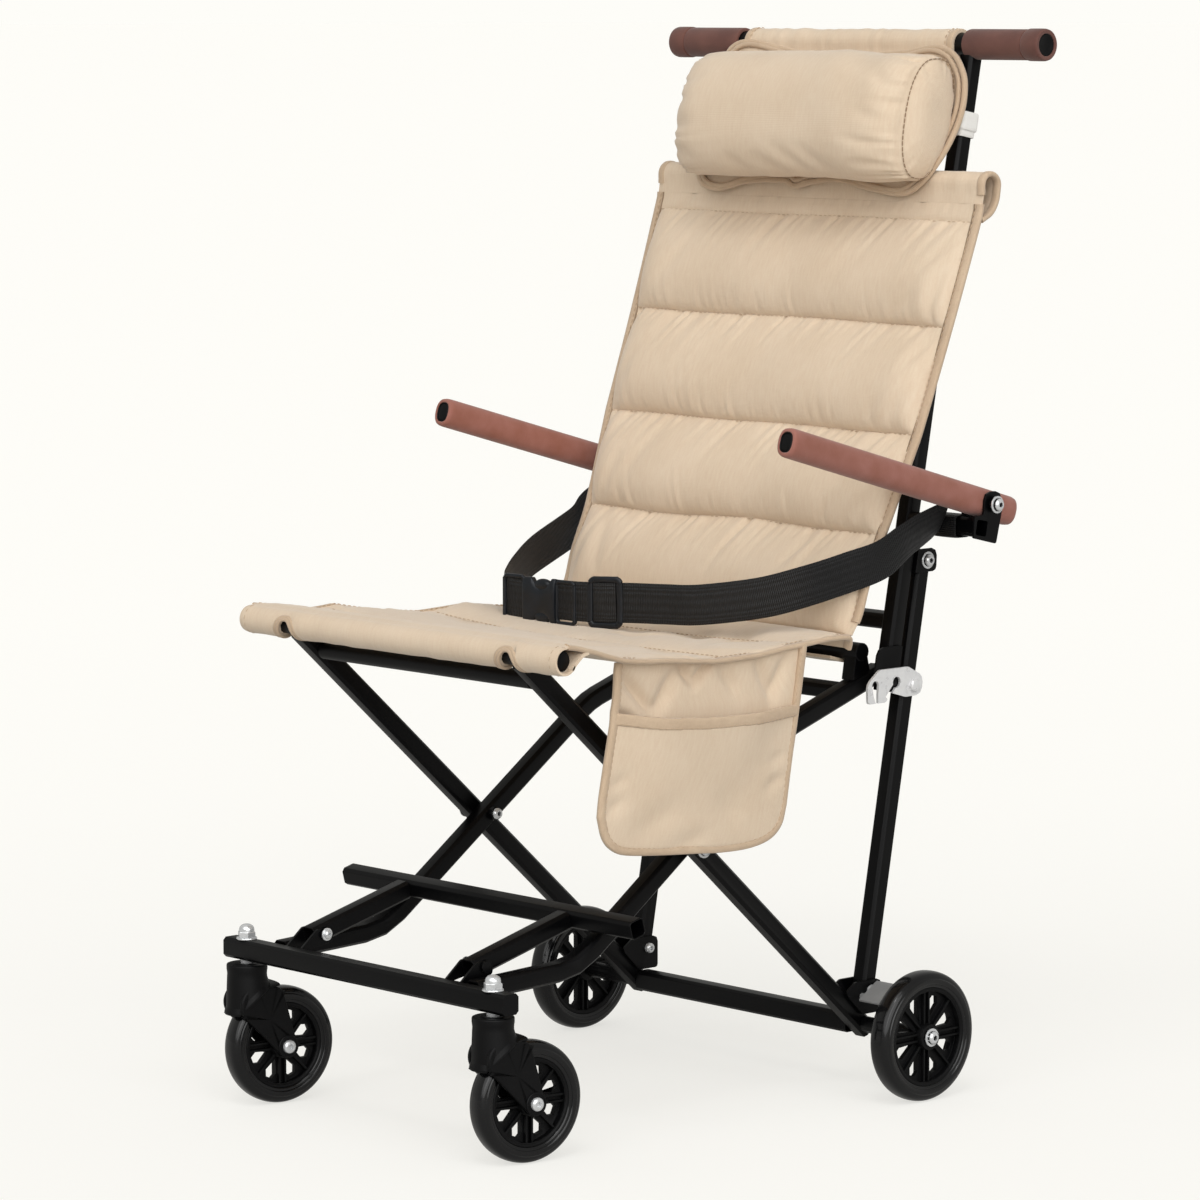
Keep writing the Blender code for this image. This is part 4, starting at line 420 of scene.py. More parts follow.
# %% From patches to a piece of the scene
def piece(name, patches, finish, body, slot, *nodes, smooth=40, solid=True):
    """Joins patches into one object, merges the points that meet, turns the faces outwards
    and shades edges flatter than the smooth angle as one surface. The piece rides on its
    body, or has its place baked into its mesh for SEAT_BENDS, and stands for the CAD nodes given."""
    patches = patches if isinstance(patches, list) else [patches]
    start = np.cumsum([0] + [len(p["co"]) for p in patches])
    mesh = bpy.data.meshes.new(name)
    mesh.from_pydata((np.concatenate([p["co"] for p in patches]) + MIDDLE).tolist(), [],
                     [[c + s for c in face] for p, s in zip(patches, start) for face in p["faces"]])
    layer = mesh.uv_layers.new(name="cloth")
    layer.data.foreach_set("uv", np.concatenate([p["uv"] for p in patches]).ravel())
    mesh.materials.append(finish)
    work = bmesh.new()
    work.from_mesh(mesh)
    bmesh.ops.remove_doubles(work, verts=work.verts, dist=MEETING)
    if solid:
        bmesh.ops.recalc_face_normals(work, faces=work.faces)
    work.to_mesh(mesh)
    work.free()
    mesh.shade_smooth()
    mesh.set_sharp_from_angle(angle=math.radians(smooth))
    return bound(added(name, mesh), body, slot, *nodes)


def bound(made, body, slot, *nodes):
    """The object on its body, or with its place baked in for SEAT_BENDS, and the CAD nodes
    that it stands for. slot is not used.
    """
    if body == SEAT_BENDS:
        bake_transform(made)
    else:
        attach(made, body)
    if nodes:
        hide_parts(*nodes)
    return made

# %% Curves, and sections carried along them
def distances(line):
    """How far along a line each of its points lies."""
    return np.concatenate([[0], np.cumsum(np.linalg.norm(np.diff(line, axis=0), axis=1))])


def along_curve(points, count, closed=False):
    """A Catmull-Rom curve through the points, resampled to count points of equal arc
    length: each stretch is a cubic of its two ends and their outer neighbours."""
    points = np.asarray(points, float)
    if closed:
        held = np.concatenate([points[-1:], points, points[:2]])
    else:
        held = np.concatenate([2 * points[:1] - points[1:2], points,
                               2 * points[-1:] - points[-2:-1]])
    t = np.linspace(0, 1, 24, endpoint=False)[None, :, None]
    a, b, c, d = (held[k:len(held) - 3 + k, None] for k in range(4))
    fine = 0.5 * (2 * b + (c - a) * t + (2 * a - 5 * b + 4 * c - d) * t ** 2
                  + (3 * b - a - 3 * c + d) * t ** 3)
    fine = np.concatenate([fine.reshape(-1, points.shape[1]), held[-2:-1]])
    length = distances(fine)
    wanted = np.linspace(0, length[-1], count)
    return np.stack([np.interp(wanted, length, fine[:, k]) for k in range(fine.shape[1])], 1)


def unit(vectors):
    """Each vector divided by its length."""
    return vectors / np.maximum(np.linalg.norm(vectors, axis=-1, keepdims=True), 1e-12)


def headings(line, closed=False):
    """The unit direction of a line at each of its points."""
    if closed:
        return unit(np.roll(line, -1, axis=0) - np.roll(line, 1, axis=0))
    return unit(np.gradient(line, axis=0))


def carried(section, path, up, closed):
    """A section (across, up) carried along a path: at each point of the path, across is the
    path's direction crossed with up, and up is made square to both."""
    ahead = headings(path, closed)
    side = unit(np.cross(ahead, np.broadcast_to(np.asarray(up, float), path.shape)))
    rise = np.cross(side, ahead)
    return path[:, None] + section[:, :1] * side[:, None] + section[:, 1:] * rise[:, None]


def full_circle(steps):
    """Equal steps of angle round one turn."""
    return np.linspace(0, 2 * math.pi, steps, endpoint=False)


def arc(centre, radius, a):
    """Points of a circle in the side view, at the angles a."""
    return np.stack([centre[0] + radius * np.cos(a), centre[1] + radius * np.sin(a)], -1)


def at_side(x, line):
    """A side view's line of (y, z) points, placed at x."""
    return np.column_stack([np.broadcast_to(x, len(line)), line])


def square_to(line, closed=False):
    """The direction square to a flat line, a quarter turn on from its heading."""
    run = headings(line, closed)
    return np.stack([-run[..., 1], run[..., 0]], -1)


def side_spokes(a):
    """Directions in the side view, at the angles a."""
    return at_side(0.0, arc((0, 0), 1.0, a))


def squared(value, power):
    """A sine or cosine whose size is raised to a power, which squares a circle off."""
    return np.sign(value) * np.abs(value) ** power

# %% Profiles turned round an axis
def turned(profile, centre, axis, steps):
    """A profile of (along, radius) turned round an axis through centre: a point is the
    centre, plus along times the axis, plus radius times (u cos a + v sin a)."""
    profile, axis = np.asarray(profile, float), unit(np.asarray(axis, float))
    u = np.array((0, 1.0, 0) if abs(axis[2]) > 0.9 else (0, 0, 1.0))
    u = unit(u - axis * (u @ axis))
    v = np.cross(axis, u)
    a = full_circle(steps)
    spoke = np.cos(a)[:, None] * u + np.sin(a)[:, None] * v
    return np.asarray(centre, float) + profile[:, None, :1] * axis + profile[:, None, 1:] * spoke


def lathe(profile, centre, axis, steps, ends=(False, False), flip=False):
    """The turned profile as one patch."""
    return grid(turned(profile, centre, axis, steps), ends=ends, flip=flip)

# %% [markdown]
# ## Carried-over steel
# The CAD nodes of the frame already have the right shape, as loose triangles. A merged
# copy of each gets its edges rounded by a Bevel modifier, so that light catches them as
# it does on folded and welded steel, and the copy stands for the node.

# %% Round the edges of the hard CAD nodes
SLOT_FINISH = {
    "black_steel": POWDER, "wheel_plastic": MOULDED, "tyre": TYRE, "bright_bolts": ZINC,
    "latch_zinc": LATCH_ZINC, "grey_tab": GREY_NYLON, "armrest_foam": ARM_FOAM,
    "handle_foam": HANDLE_FOAM, "buckle_plastic": ACETAL, "webbing": WEBBING,
    "beige_fabric": CLOTH,
}
NODE_SLOT = {part["node"]: part["material_slot"] for part in frame["record"]["subparts"]}


def rounded_copy(node, radius):
    """The node's mesh with its doubles merged and its flat triangles joined, then beveled."""
    source = frame["nodes"][node]
    work = bmesh.new()
    work.from_mesh(source.data)
    bmesh.ops.remove_doubles(work, verts=work.verts, dist=1e-6)
    bmesh.ops.dissolve_limit(work, angle_limit=math.radians(0.5), verts=work.verts,
                             edges=work.edges)
    mesh = bpy.data.meshes.new(node + "_rounded")
    work.to_mesh(mesh)
    work.free()
    mesh.shade_smooth()
    mesh.set_sharp_from_angle(angle=math.radians(50))
    mesh.materials.append(SLOT_FINISH[NODE_SLOT[node]])
    made = added(node + "_rounded", mesh)
    bevel = made.modifiers.new("rounded_edges", "BEVEL")
    bevel.width, bevel.segments = radius, 2
    bevel.limit_method, bevel.angle_limit = "ANGLE", math.radians(30)
    bevel.harden_normals = True
    return bound(made, source["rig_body"], NODE_SLOT[node], node)


SOFT_NODES = ("seat_fabric", "back_fabric", "pillow", "side_pocket", "belt_left_side",
              "belt_right_side", "belt_buckle")
HARD_NODES = ("seat_front_bar", "under_seat_bar", "back_top_bar", "handlebar",
              *(f"{kind}_{side}" for side in SIDES for kind in (
                  "rear_tyre", "caster_tyre", "caster_fork", "swivel_bolt", "handle_grip", "armrest_foam",
                  "armrest_core")))
REDRAWN = {*SOFT_NODES, *HARD_NODES}
for node in sorted(set(NODE_SLOT) - REDRAWN):
    rounded_copy(node, 0.0006)
for node in sorted(REDRAWN):
    frame["nodes"][node].data.materials.clear()
    frame["nodes"][node].data.materials.append(SLOT_FINISH[NODE_SLOT[node]])
print(len(NODE_SLOT) - len(REDRAWN), "nodes carried over")

# %% [markdown]
# ## Sewing tools
# Cloth is never quite flat. Along a seam the stitches draw it in, and the spare width
# rises in short puckers that are sharp in their valleys and round on their crests. Small
# functions give that relief as numbers, and one moves a grid of points along its own
# surface's normals by them. Stitches are thousands of tiny threads, made all at once.

# %% Relief of cloth, and rows of stitches
def outward(points, across):
    """The unit normal at each grid point: the cross product of the two steps, between
    its neighbours along the rows and along the columns."""
    if across:
        along_row = np.roll(points, -1, axis=1) - np.roll(points, 1, axis=1)
    else:
        along_row = np.gradient(points, axis=1)
    return unit(np.cross(along_row, np.gradient(points, axis=0)))


def ripples(place, spans, seed):
    """Sines of several wavelengths with random phases, from -1 to 1, whose places are
    nudged by a slower sine so that no two folds are alike."""
    dice = np.random.default_rng(seed)
    total = np.zeros(np.shape(place))
    for span in spans:
        phase, drift, slow = dice.random(3)
        nudge = 0.35 * span * np.sin(2 * math.pi * (place / (span * (2.3 + slow)) + drift))
        total = total + np.sin(2 * math.pi * ((place + nudge) / span + phase))
    return total / len(spans)


def puckers(place, distance, spans, reach, seed, slant):
    """Folds that run away from a seam: round crests of ripples along the seam, fading
    with exp(-distance / reach), where the reach itself changes along the seam."""
    run = place + slant * distance
    crest = 0.5 + 0.5 * ripples(run, spans, seed)
    crest = np.sqrt(np.clip(crest, 0, 1)) - 0.72
    longer = reach * (1.0 + 0.7 * ripples(place, [spans[0] * 4.3, spans[0] * 2.9], seed + 1))
    return crest * np.exp(-np.abs(distance) / np.maximum(longer, 1e-4))


def creases(x, s, lines):
    """Soft valleys along straight lines: each line is (x0, s0, x1, s1, width, depth), and
    its valley is depth times exp(-(distance / width) squared), tapered to both ends."""
    total = np.zeros(np.broadcast(x, s).shape)
    for x0, s0, x1, s1, width, depth in lines:
        run = np.array([x1 - x0, s1 - s0])
        size = run @ run
        t = np.clip(((x - x0) * run[0] + (s - s0) * run[1]) / size, 0, 1)
        away = np.hypot(x - x0 - t * run[0], s - s0 - t * run[1])
        taper = np.sin(math.pi * (0.08 + 0.84 * t))
        total = total - depth * taper * np.exp(-(away / width) ** 2)
    return total

# %% Stitches
def stitch_rows(paths, length=0.0042, gap=0.0022, radius=0.00055):
    """A capsule for every stitch: rings of radius times (0.35, 1, 1, 0.35) along each
    stretch of the path, all worked out at once."""
    rounds = 6
    a = full_circle(rounds)
    ring_place = np.array([-0.5, -0.3, 0.3, 0.5]) * length
    ring_size = np.array([0.35, 1.0, 1.0, 0.35]) * radius
    patches = []
    for path in paths:
        path = np.asarray(path, float)
        reach = distances(path)
        count = int(reach[-1] / (length + gap))
        if count < 1:
            continue
        at = (np.arange(count) + 0.5) * reach[-1] / count
        middle, ahead = ([np.interp(at + d, reach, path[:, k]) for k in range(3)]
                         for d in (0.0, 0.001))
        middle = np.stack(middle, 1)
        ahead = unit(np.stack(ahead, 1) - middle + 1e-9)
        side = unit(np.cross(ahead, np.array([0.31, 0.22, 0.92])))
        rise = np.cross(ahead, side)
        ring = np.cos(a)[:, None, None] * side + np.sin(a)[:, None, None] * rise
        co = (middle[:, None, None] + ring_place[None, :, None, None] * ahead[:, None, None]
              + ring_size[None, :, None, None] * ring.transpose(1, 0, 2)[:, None])
        i, j = np.meshgrid(np.arange(3), np.arange(rounds), indexing="ij")
        i, j = i.ravel(), j.ravel()
        quad = np.stack([i * rounds + j, (i + 1) * rounds + j,
                         (i + 1) * rounds + (j + 1) % rounds, i * rounds + (j + 1) % rounds], 1)
        caps = np.stack([np.arange(rounds), np.arange(rounds)[::-1] + 3 * rounds])
        start = (np.arange(count) * 4 * rounds)[:, None, None]
        faces = (quad[None] + start).reshape(-1, 4).tolist()
        faces += (caps[None] + start).reshape(-1, rounds).tolist()
        loops = sum(len(face) for face in faces)
        patches.append({"co": co.reshape(-1, 3), "faces": faces, "uv": np.zeros((loops, 2))})
    return patches

# %% Tape
def oval(wide, tall, steps, power=0.7):
    """A closed section: (wide cos a, tall sin a) with both squared off by a power."""
    a = full_circle(steps)
    return np.stack([wide / 2 * squared(np.cos(a), power), tall / 2 * squared(np.sin(a), power)], 1)


def tape(path, up, wide, tall, closed=False, steps=12):
    """A band of oval section carried along a path, with a map that runs along it."""
    path = np.asarray(path, float)
    points = carried(oval(wide, tall, steps), path, up, closed)
    around = np.arange(steps) * (wide + tall) / steps
    cloth = np.stack(np.broadcast_arrays(around[None, :], distances(path)[:, None]), -1)
    return grid(points, along=closed, ends=(not closed, not closed), cloth=cloth)

# %% [markdown]
# ## The quilted back
# The back is a sling: two layers of cloth with wadding between, sewn across in four
# channels, bound at its edges, and looped round a bar at the top. Each row of the grid
# crosses the sling, so a channel is a swell between two rows, and the seams fall exactly
# on rows. Puckers grow from every seam, and slanting creases gather near the edges.

# %% The line of the back, and the sling made from it
HANDLE, HANDLE_R, BACK_SLOPE = (0.3476, 1.0146), 0.011, 0.1889
TOP_BAR, TOP_BAR_R = (0.30355, 0.880), 0.009
BACK_PROFILE = np.array([      # how far the cloth hangs ahead of the uprights, and height
    (0.1085, 0.4550), (0.1005, 0.4740), (0.0960, 0.5050), (0.0841, 0.5492), (0.0643, 0.6427),
    (0.0448, 0.7451), (0.0286, 0.8451), (0.0277, 0.8620)])
BACK_SEAMS = [0.4550, 0.5492, 0.6427, 0.7451, 0.8451]
BACK_HALF = [(0.455, 0.2085), (0.549, 0.2105), (0.6427, 0.2205), (0.7451, 0.2235),
             (0.8451, 0.2265), (0.90, 0.2265)]     # height and half width
CLOTH_THICK = 0.003
THIN = CLOTH_THICK / 2
UPRIGHT_X, TUBE = 0.159, 0.018
PUCKER_SPAN = 0.22             # half width in metres along which the puckers are spaced
FLAT_HEM, HEM_SHOULDER = 0.008, 0.036
CHANNEL_SWELL = [0.0165, 0.0195, 0.0195, 0.0185, 0.0018]
CHANNEL_FOLD, TOP_FOLD = 0.0058, 0.0012
BACK_CREASES = [               # the deeper creases of the photograph, near the edges
    (0.175, 0.790, 0.206, 0.822, 0.006, 0.0034), (0.196, 0.748, 0.208, 0.800, 0.007, 0.0042),
    (0.150, 0.752, 0.185, 0.772, 0.006, 0.0020), (0.178, 0.650, 0.205, 0.678, 0.006, 0.0034),
    (0.150, 0.650, 0.172, 0.672, 0.006, 0.0022), (0.188, 0.700, 0.210, 0.735, 0.006, 0.0030),
    (0.172, 0.556, 0.200, 0.590, 0.006, 0.0030), (0.120, 0.548, 0.150, 0.575, 0.007, 0.0018),
    (0.090, 0.497, 0.128, 0.541, 0.005, 0.0030), (0.112, 0.492, 0.150, 0.538, 0.005, 0.0028),
    (0.150, 0.500, 0.182, 0.538, 0.005, 0.0020), (-0.160, 0.560, -0.110, 0.640, 0.010, 0.0022),
    (-0.182, 0.552, -0.160, 0.600, 0.007, 0.0026), (-0.196, 0.470, -0.180, 0.515, 0.006, 0.0024),
    (-0.150, 0.480, -0.165, 0.535, 0.008, 0.0022), (-0.205, 0.650, -0.180, 0.705, 0.008, 0.0020),
    (-0.190, 0.758, -0.150, 0.812, 0.008, 0.0016), (-0.060, 0.655, 0.020, 0.700, 0.016, 0.0014),
    (0.040, 0.760, 0.110, 0.815, 0.014, 0.0014), (-0.080, 0.560, -0.020, 0.600, 0.014, 0.0012)]

# %% Places along the back
def back_y(z):
    """Middle of a back upright at height z."""
    return HANDLE[0] - BACK_SLOPE * (HANDLE[1] - np.asarray(z))


def back_middle(z):
    """Middle of the sling's thickness at height z: the upright's line less how far the
    cloth hangs ahead of it."""
    ahead = along_curve(BACK_PROFILE, 200)
    return back_y(z) - np.interp(z, ahead[:, 1], ahead[:, 0])


def back_half(z):
    """Half the sling's width at height z."""
    return np.interp(z, *zip(*BACK_HALF))


def thinned(share):
    """The cloth's thickness as a share of the whole: half of it at the very edges."""
    return np.clip((1 - np.abs(share)) / 0.02, 0.5, 1)


def laid_across(line, columns):
    """Each column's share of the half width, and a side line repeated over the columns."""
    share = np.linspace(-1, 1, columns)[None, :] * np.ones((len(line), 1))
    return share, np.broadcast_to(line[:, None], (*share.shape, 2))

# %% A closed strip of cloth
def strip_of_cloth(line, half, front, rear, share, ends=(True, True)):
    """A closed strip round its middle line: columns at share of its half width, the front
    at line plus front times the normal, and the rear at line less rear times it."""
    out = square_to(line)
    x = half * share
    top = np.concatenate([x[..., None], line + out * front[..., None]], -1)
    low = np.concatenate([x[..., None], line - out * rear[..., None]], -1)
    reach = np.cumsum(np.linalg.norm(np.diff(line[:, :1], axis=0, prepend=line[:1, :1]), axis=-1), 0)
    length = np.broadcast_to(reach, x.shape)
    closing = [k for k, closed in zip((0, -1), ends) if closed]
    for k in closing:                                      # a cut end closes on its middle
        middle = (top[k:][:1] + low[k:][:1]) / 2
        join = (lambda a, b: [b, a]) if k == 0 else (lambda a, b: [a, b])
        top, low = (np.concatenate(join(side, middle)) for side in (top, low))
        x, length = (np.concatenate(join(side, side[k:][:1])) for side in (x, length))
    points = np.concatenate([top, low[:, ::-1]], 1)
    cloth = np.stack([np.concatenate([x, x[:, ::-1]], 1),
                      np.concatenate([length, length[:, ::-1]], 1)], -1)
    return grid(points, cloth=cloth)

# %% The four quilted channels
def seam_waves(share):
    """How far each seam of the back wanders up and down across its width."""
    return [0 * share, 0.0022 * np.sin(5 * share + 0.9) * (1 - share ** 2),
            0.0006 * np.sin(7 * share), 0.0007 * np.sin(5 * share + 1), 0.0005 * np.sin(6 * share)]


def back_panel():
    """Rows in each channel at the seams plus a share of the height between them, and
    columns across. The swell is the sine of a warped share to a power below one."""
    columns, rows, top_rows = 176, 26, 8
    share = np.linspace(-1, 1, columns)[None, :]
    x_flat = PUCKER_SPAN * share
    seam = [z + wave for z, wave in zip(BACK_SEAMS, seam_waves(share))]
    seam.append(np.full_like(share, TOP_BAR[1] - 0.018))
    inside = np.clip(((1 - np.abs(share)) * PUCKER_SPAN - FLAT_HEM) / HEM_SHOULDER, 0, 1)
    round_off = np.sqrt(1 - (1 - inside) ** 2) ** 0.95
    ends = np.clip(1 - np.abs(share) ** 22, 0, 1)
    heights, swells, reliefs = [], [], []
    for k in range(5):
        t = 0.5 - 0.5 * np.cos(math.pi * np.linspace(0, 1, rows if k < 4 else top_rows)[:, None])
        t = 0.35 * np.linspace(0, 1, len(t))[:, None] + 0.65 * t
        z = seam[k] + (seam[k + 1] - seam[k]) * t
        swell = CHANNEL_SWELL[k] * np.sin(math.pi * t ** 0.74) ** 0.80 * round_off
        swell = swell * (1 + 0.10 * ripples(x_flat, [0.23, 0.31], 40 + k))
        low, high = z - seam[k], seam[k + 1] - z
        folds = puckers(x_flat, low, [0.023, 0.035, 0.015], 0.011, 50 + k, 0.25)
        folds = folds + 1.6 * puckers(x_flat, high, [0.026, 0.041, 0.017], 0.019, 70 + k, 0.45)
        if k < 4:
            folds = CHANNEL_FOLD * folds * ends * np.clip(np.minimum(low, high) / 0.003, 0, 1)
        else:
            folds = TOP_FOLD * folds * ends * np.clip(low / 0.006, 0, 1)
        kept = slice(0, -1) if k < 4 else slice(None)      # the next channel has the shared row
        heights.append(z[kept])
        swells.append(swell[kept])
        reliefs.append(folds[kept])
    z, swell, relief = (np.concatenate(rows) for rows in (heights, swells, reliefs))
    x = back_half(z) * share
    relief = relief + creases(x, z, BACK_CREASES)
    line = np.stack([back_middle(z), z], -1)
    thin = THIN * thinned(share)
    front = thin + swell + relief * np.clip((1 - np.abs(share)) / 0.06, 0, 1)
    return strip_of_cloth(line, back_half(z), front, thin + 0.30 * swell, share, ends=(True, False))

# %% The sleeve round the top bar
def sleeve_line():
    """The loop round the top bar: up its front, over it, down behind it and in to the seam."""
    reach = TOP_BAR_R + THIN + 0.0006
    a = np.radians(np.linspace(180, -8, 20))
    loop = arc(TOP_BAR, reach, a)
    tail = along_curve([loop[-1], (TOP_BAR[0] + 0.0085, 0.8650), (TOP_BAR[0] + 0.0010, 0.8535),
                        (TOP_BAR[0] - 0.0125, 0.8462)], 14)[1:]
    start = np.stack([back_middle(np.array([0.862, 0.870])), [0.862, 0.870]], 1)
    return np.concatenate([start[:1], along_curve([start[0], (TOP_BAR[0] - reach, 0.872),
                                                   loop[0]], 5)[1:-1], loop, tail])


def sleeve(x0, x1, line, seed, columns, ends=(True, True)):
    """A stretch of the loop from x0 to x1, with the faint upright folds of slack cloth."""
    share, two = laid_across(line, columns)
    middle, half = (x0 + x1) / 2, (x1 - x0) / 2
    x = middle + half * share
    slack = np.sin(np.linspace(0, math.pi, len(line)))[:, None] ** 0.5
    relief = 0.0010 * ripples(x, [0.047, 0.071, 0.031], seed) * slack
    thin = THIN * (thinned(share) if columns > 100 else 1.0)
    patch = strip_of_cloth(two, half, thin + relief, thin - relief, share, ends)
    patch["co"][:, 0] += middle
    return patch

# %% Join the back
panel = back_panel()
loop = sleeve_line()
crest = int(np.argmax(loop[:, 1]))
inner, outer = (UPRIGHT_X + side * (TUBE / 2 + 0.003) for side in (-1, 1))
top_half = BACK_HALF[-1][1]
loops = [sleeve(-top_half, top_half, loop[:crest + 1], 5, 150, ends=(False, True)),
         sleeve(-top_half, -outer, loop[crest:], 6, 18), sleeve(-inner, inner, loop[crest:], 7, 74),
         sleeve(outer, top_half, loop[crest:], 8, 18)]
back = piece("quilted_back", [panel, *loops], CLOTH, *ON_BACK, "back_fabric", smooth=60)
print("quilted back:", len(back.data.polygons), "faces")

# %% [markdown]
# ### Bindings and stitches of the back
# A folded tape is sewn over the sling's raw edges, about 9 mm wide on each face, with a
# row of stitches near its inner side. It follows the edge of the channels, so it is a
# band of oval section carried along them, as thick as the cloth that it folds over.

# %% Bind the back's edges and sew its seams
def back_edge(sign):
    """The sling's edge from its low corner to the top bar, as points in the drawing."""
    z = np.linspace(0.4665, 0.862, 90)
    return np.stack([sign * back_half(z), back_middle(z), z], 1)


BINDING_WIDE, BINDING_TALL = 0.0095, 0.0058
BINDING_INSET, STITCH_INSET, GROOVE_INSET, SEAM_INSET = 0.0032, 0.0062, 0.0086, 0.009
TAPE_FACING = (0, -1, 0.2)               # the binding's flat faces the front and a little up
bindings, sewing, painted_groove_shades = [], [], []
for sign in (1, -1):
    edge = back_edge(sign)
    inward = np.array([-sign * BINDING_INSET, 0.0, 0.0])
    bindings.append(tape(edge + inward, TAPE_FACING, BINDING_WIDE, BINDING_TALL))
    hem = at_side(sign * top_half, loop[2:])
    toward = unit(np.array([TOP_BAR[0], 0.868]) - hem[:, 1:])
    bindings.append(tape(hem + inward, at_side(0.0, -toward), BINDING_WIDE, BINDING_TALL * 0.92))
    sewing.append(edge + np.array([-sign * STITCH_INSET, -0.0032, 0.0004]))
    # Each edge gets a thin dark strip beside its binding: painted shade in the groove.
    groove = edge + np.array([-sign * GROOVE_INSET, -0.0006, 0])
    painted_groove_shades.append(tape(groove, TAPE_FACING, 0.0016, 0.0044))
front_height = THIN + 0.0005
x = np.linspace(-1, 1, 160)
for seam, wave in zip(BACK_SEAMS[1:], seam_waves(x)[1:]):
    z = seam + wave
    half = back_half(seam) - SEAM_INSET
    sewing.append(np.stack([x * half, back_middle(z) - front_height, z - 0.0002], 1))
binding = piece("back_edge_binding", bindings, BINDING, *ON_BACK, smooth=60)
piece("back_binding_painted_shade", painted_groove_shades, GROOVE_SHADE_CLOTH, *ON_BACK, smooth=60)
thread = piece("back_seam_stitches", stitch_rows(sewing), THREAD, *ON_BACK, smooth=60)
print("bindings", len(binding.data.polygons), "faces, thread", len(thread.data.polygons))

# %% [markdown]
# ## The head pillow
# The pillow is a bolster: one panel wrapped round a stuffed roll, a flat panel at each
# end, and a flat backing bound with a double tape. It could be modelled as a box and
# subdivided, but a roll whose section changes along its length gives the pulled-in ends
# and the sharp end seams directly: the section is a circle squared off by a power.

# %% The bolster
PILLOW = {"x": 0.003, "half": 0.156, "bulge": 0.010, "z": 0.943, "tall": 0.1315, "deep": 0.093}
PILLOW_REAR = 0.3196
PILLOW_CREASES = [             # across and up from the roll's middle, at its front
    (-0.040, -0.040, 0.020, -0.066, 0.010, 0.0026), (0.000, -0.030, 0.050, -0.064, 0.009, 0.0030),
    (0.030, -0.028, 0.078, -0.060, 0.009, 0.0024), (-0.075, -0.040, -0.030, -0.066, 0.010, 0.0020),
    (0.060, 0.066, 0.150, 0.040, 0.009, 0.0022), (0.115, 0.050, 0.150, 0.030, 0.006, 0.0022),
    (0.100, -0.020, 0.152, -0.030, 0.007, 0.0024), (0.105, -0.045, 0.152, -0.048, 0.006, 0.0024),
    (0.108, 0.010, 0.152, -0.004, 0.006, 0.0022), (-0.150, 0.035, -0.110, 0.048, 0.008, 0.0020),
    (-0.150, -0.010, -0.118, -0.006, 0.008, 0.0022), (-0.150, -0.042, -0.112, -0.044, 0.008, 0.0022)]


def bolster():
    """Stations run from one end's middle, out over its panel, along the roll and back in
    at the other end. The section at station s is deep and tall times its share there."""
    around, along_roll, over_end = 132, 104, 22
    a = full_circle(around)[None, :]
    u = np.linspace(-1, 1, along_roll)[:, None]
    u = 0.55 * u + 0.45 * np.sin(u * math.pi / 2)
    shoulder = np.clip((np.abs(u) - 0.70) / 0.30, 0, 1)
    deep = 1 - 0.33 * (1 - np.sqrt(1 - 0.985 * shoulder ** 2.4))
    tall = 1 - 0.045 * shoulder ** 2 - 0.02 * (1 - np.cos(math.pi * u))
    deep_share, up_share = squared(np.cos(a), 0.86), squared(np.sin(a), 0.84)

    def section(x, deep, tall, inner=1.0):
        rear = PILLOW_REAR - PILLOW["deep"] * deep / 2
        y = rear + PILLOW["deep"] / 2 * deep * deep_share * inner
        z = PILLOW["z"] + PILLOW["tall"] / 2 * tall * up_share * inner
        y = y + BACK_SLOPE * (z - PILLOW["z"]) * np.ones_like(x)
        z = z + 0.0050 * (1 - ((x - PILLOW["x"]) / 0.166) ** 2) * np.clip(-up_share, 0, 1) * inner
        low = np.clip((0.93 - z) / 0.05, 0, 1)
        y = y - 0.016 * low ** 1.5 * np.clip((y - 0.27) / 0.05, 0, 1)
        return np.stack(np.broadcast_arrays(x, y, z), -1)

    roll = section(PILLOW["x"] + PILLOW["half"] * u, deep, tall)
    # relief of the roll: puckers from both end seams, and the creases of its front
    from_seam = (1 - np.abs(u)) * PILLOW["half"]
    place = a / (2 * math.pi) * 0.37
    relief = 0.0092 * puckers(place, from_seam, [0.021, 0.034, 0.013], 0.017, 11, 0.1)
    front_x = PILLOW["half"] * u
    front_z = up_share * PILLOW["tall"] / 2
    facing = (np.cos(a) < 0.2).astype(float)
    relief = relief + facing * creases(front_x, front_z, PILLOW_CREASES)
    relief = relief + 0.0012 * ripples(front_x + 0.4 * front_z, [0.11, 0.17], 21)
    relief = relief * np.clip(from_seam / 0.006, 0, 1) - 0.0022 * np.exp(-(from_seam / 0.0028) ** 2)
    out = outward(roll, across=True)
    centre = roll.mean(axis=1, keepdims=True)
    facing_out = np.sign(np.sum(out * (roll - centre), -1, keepdims=True))
    roll = roll + out * facing_out * relief[..., None]

    def end_panel(sign):
        t = np.linspace(1, 0, over_end)[:, None]
        station = 0 if sign < 0 else -1
        dome = PILLOW["bulge"] * (1 - t ** 3.2)
        pull = 0.0044 * (0.5 + 0.5 * ripples(place, [0.026, 0.041], 31)) * np.exp(-(1 - t) / 0.13)
        x = PILLOW["x"] + sign * (PILLOW["half"] + dome - pull * np.clip((1 - t) / 0.04, 0, 1))
        return section(x, deep[station], tall[station], inner=0.004 + 0.996 * t)

    left, right = end_panel(-1), end_panel(1)
    points = np.concatenate([left[::-1][:-1], roll, right[1:]])
    run = distances(points[:, 0])
    cloth = np.stack(np.broadcast_arrays(run[:, None], place), -1)
    return grid(points, ends=(True, True), cloth=cloth), roll

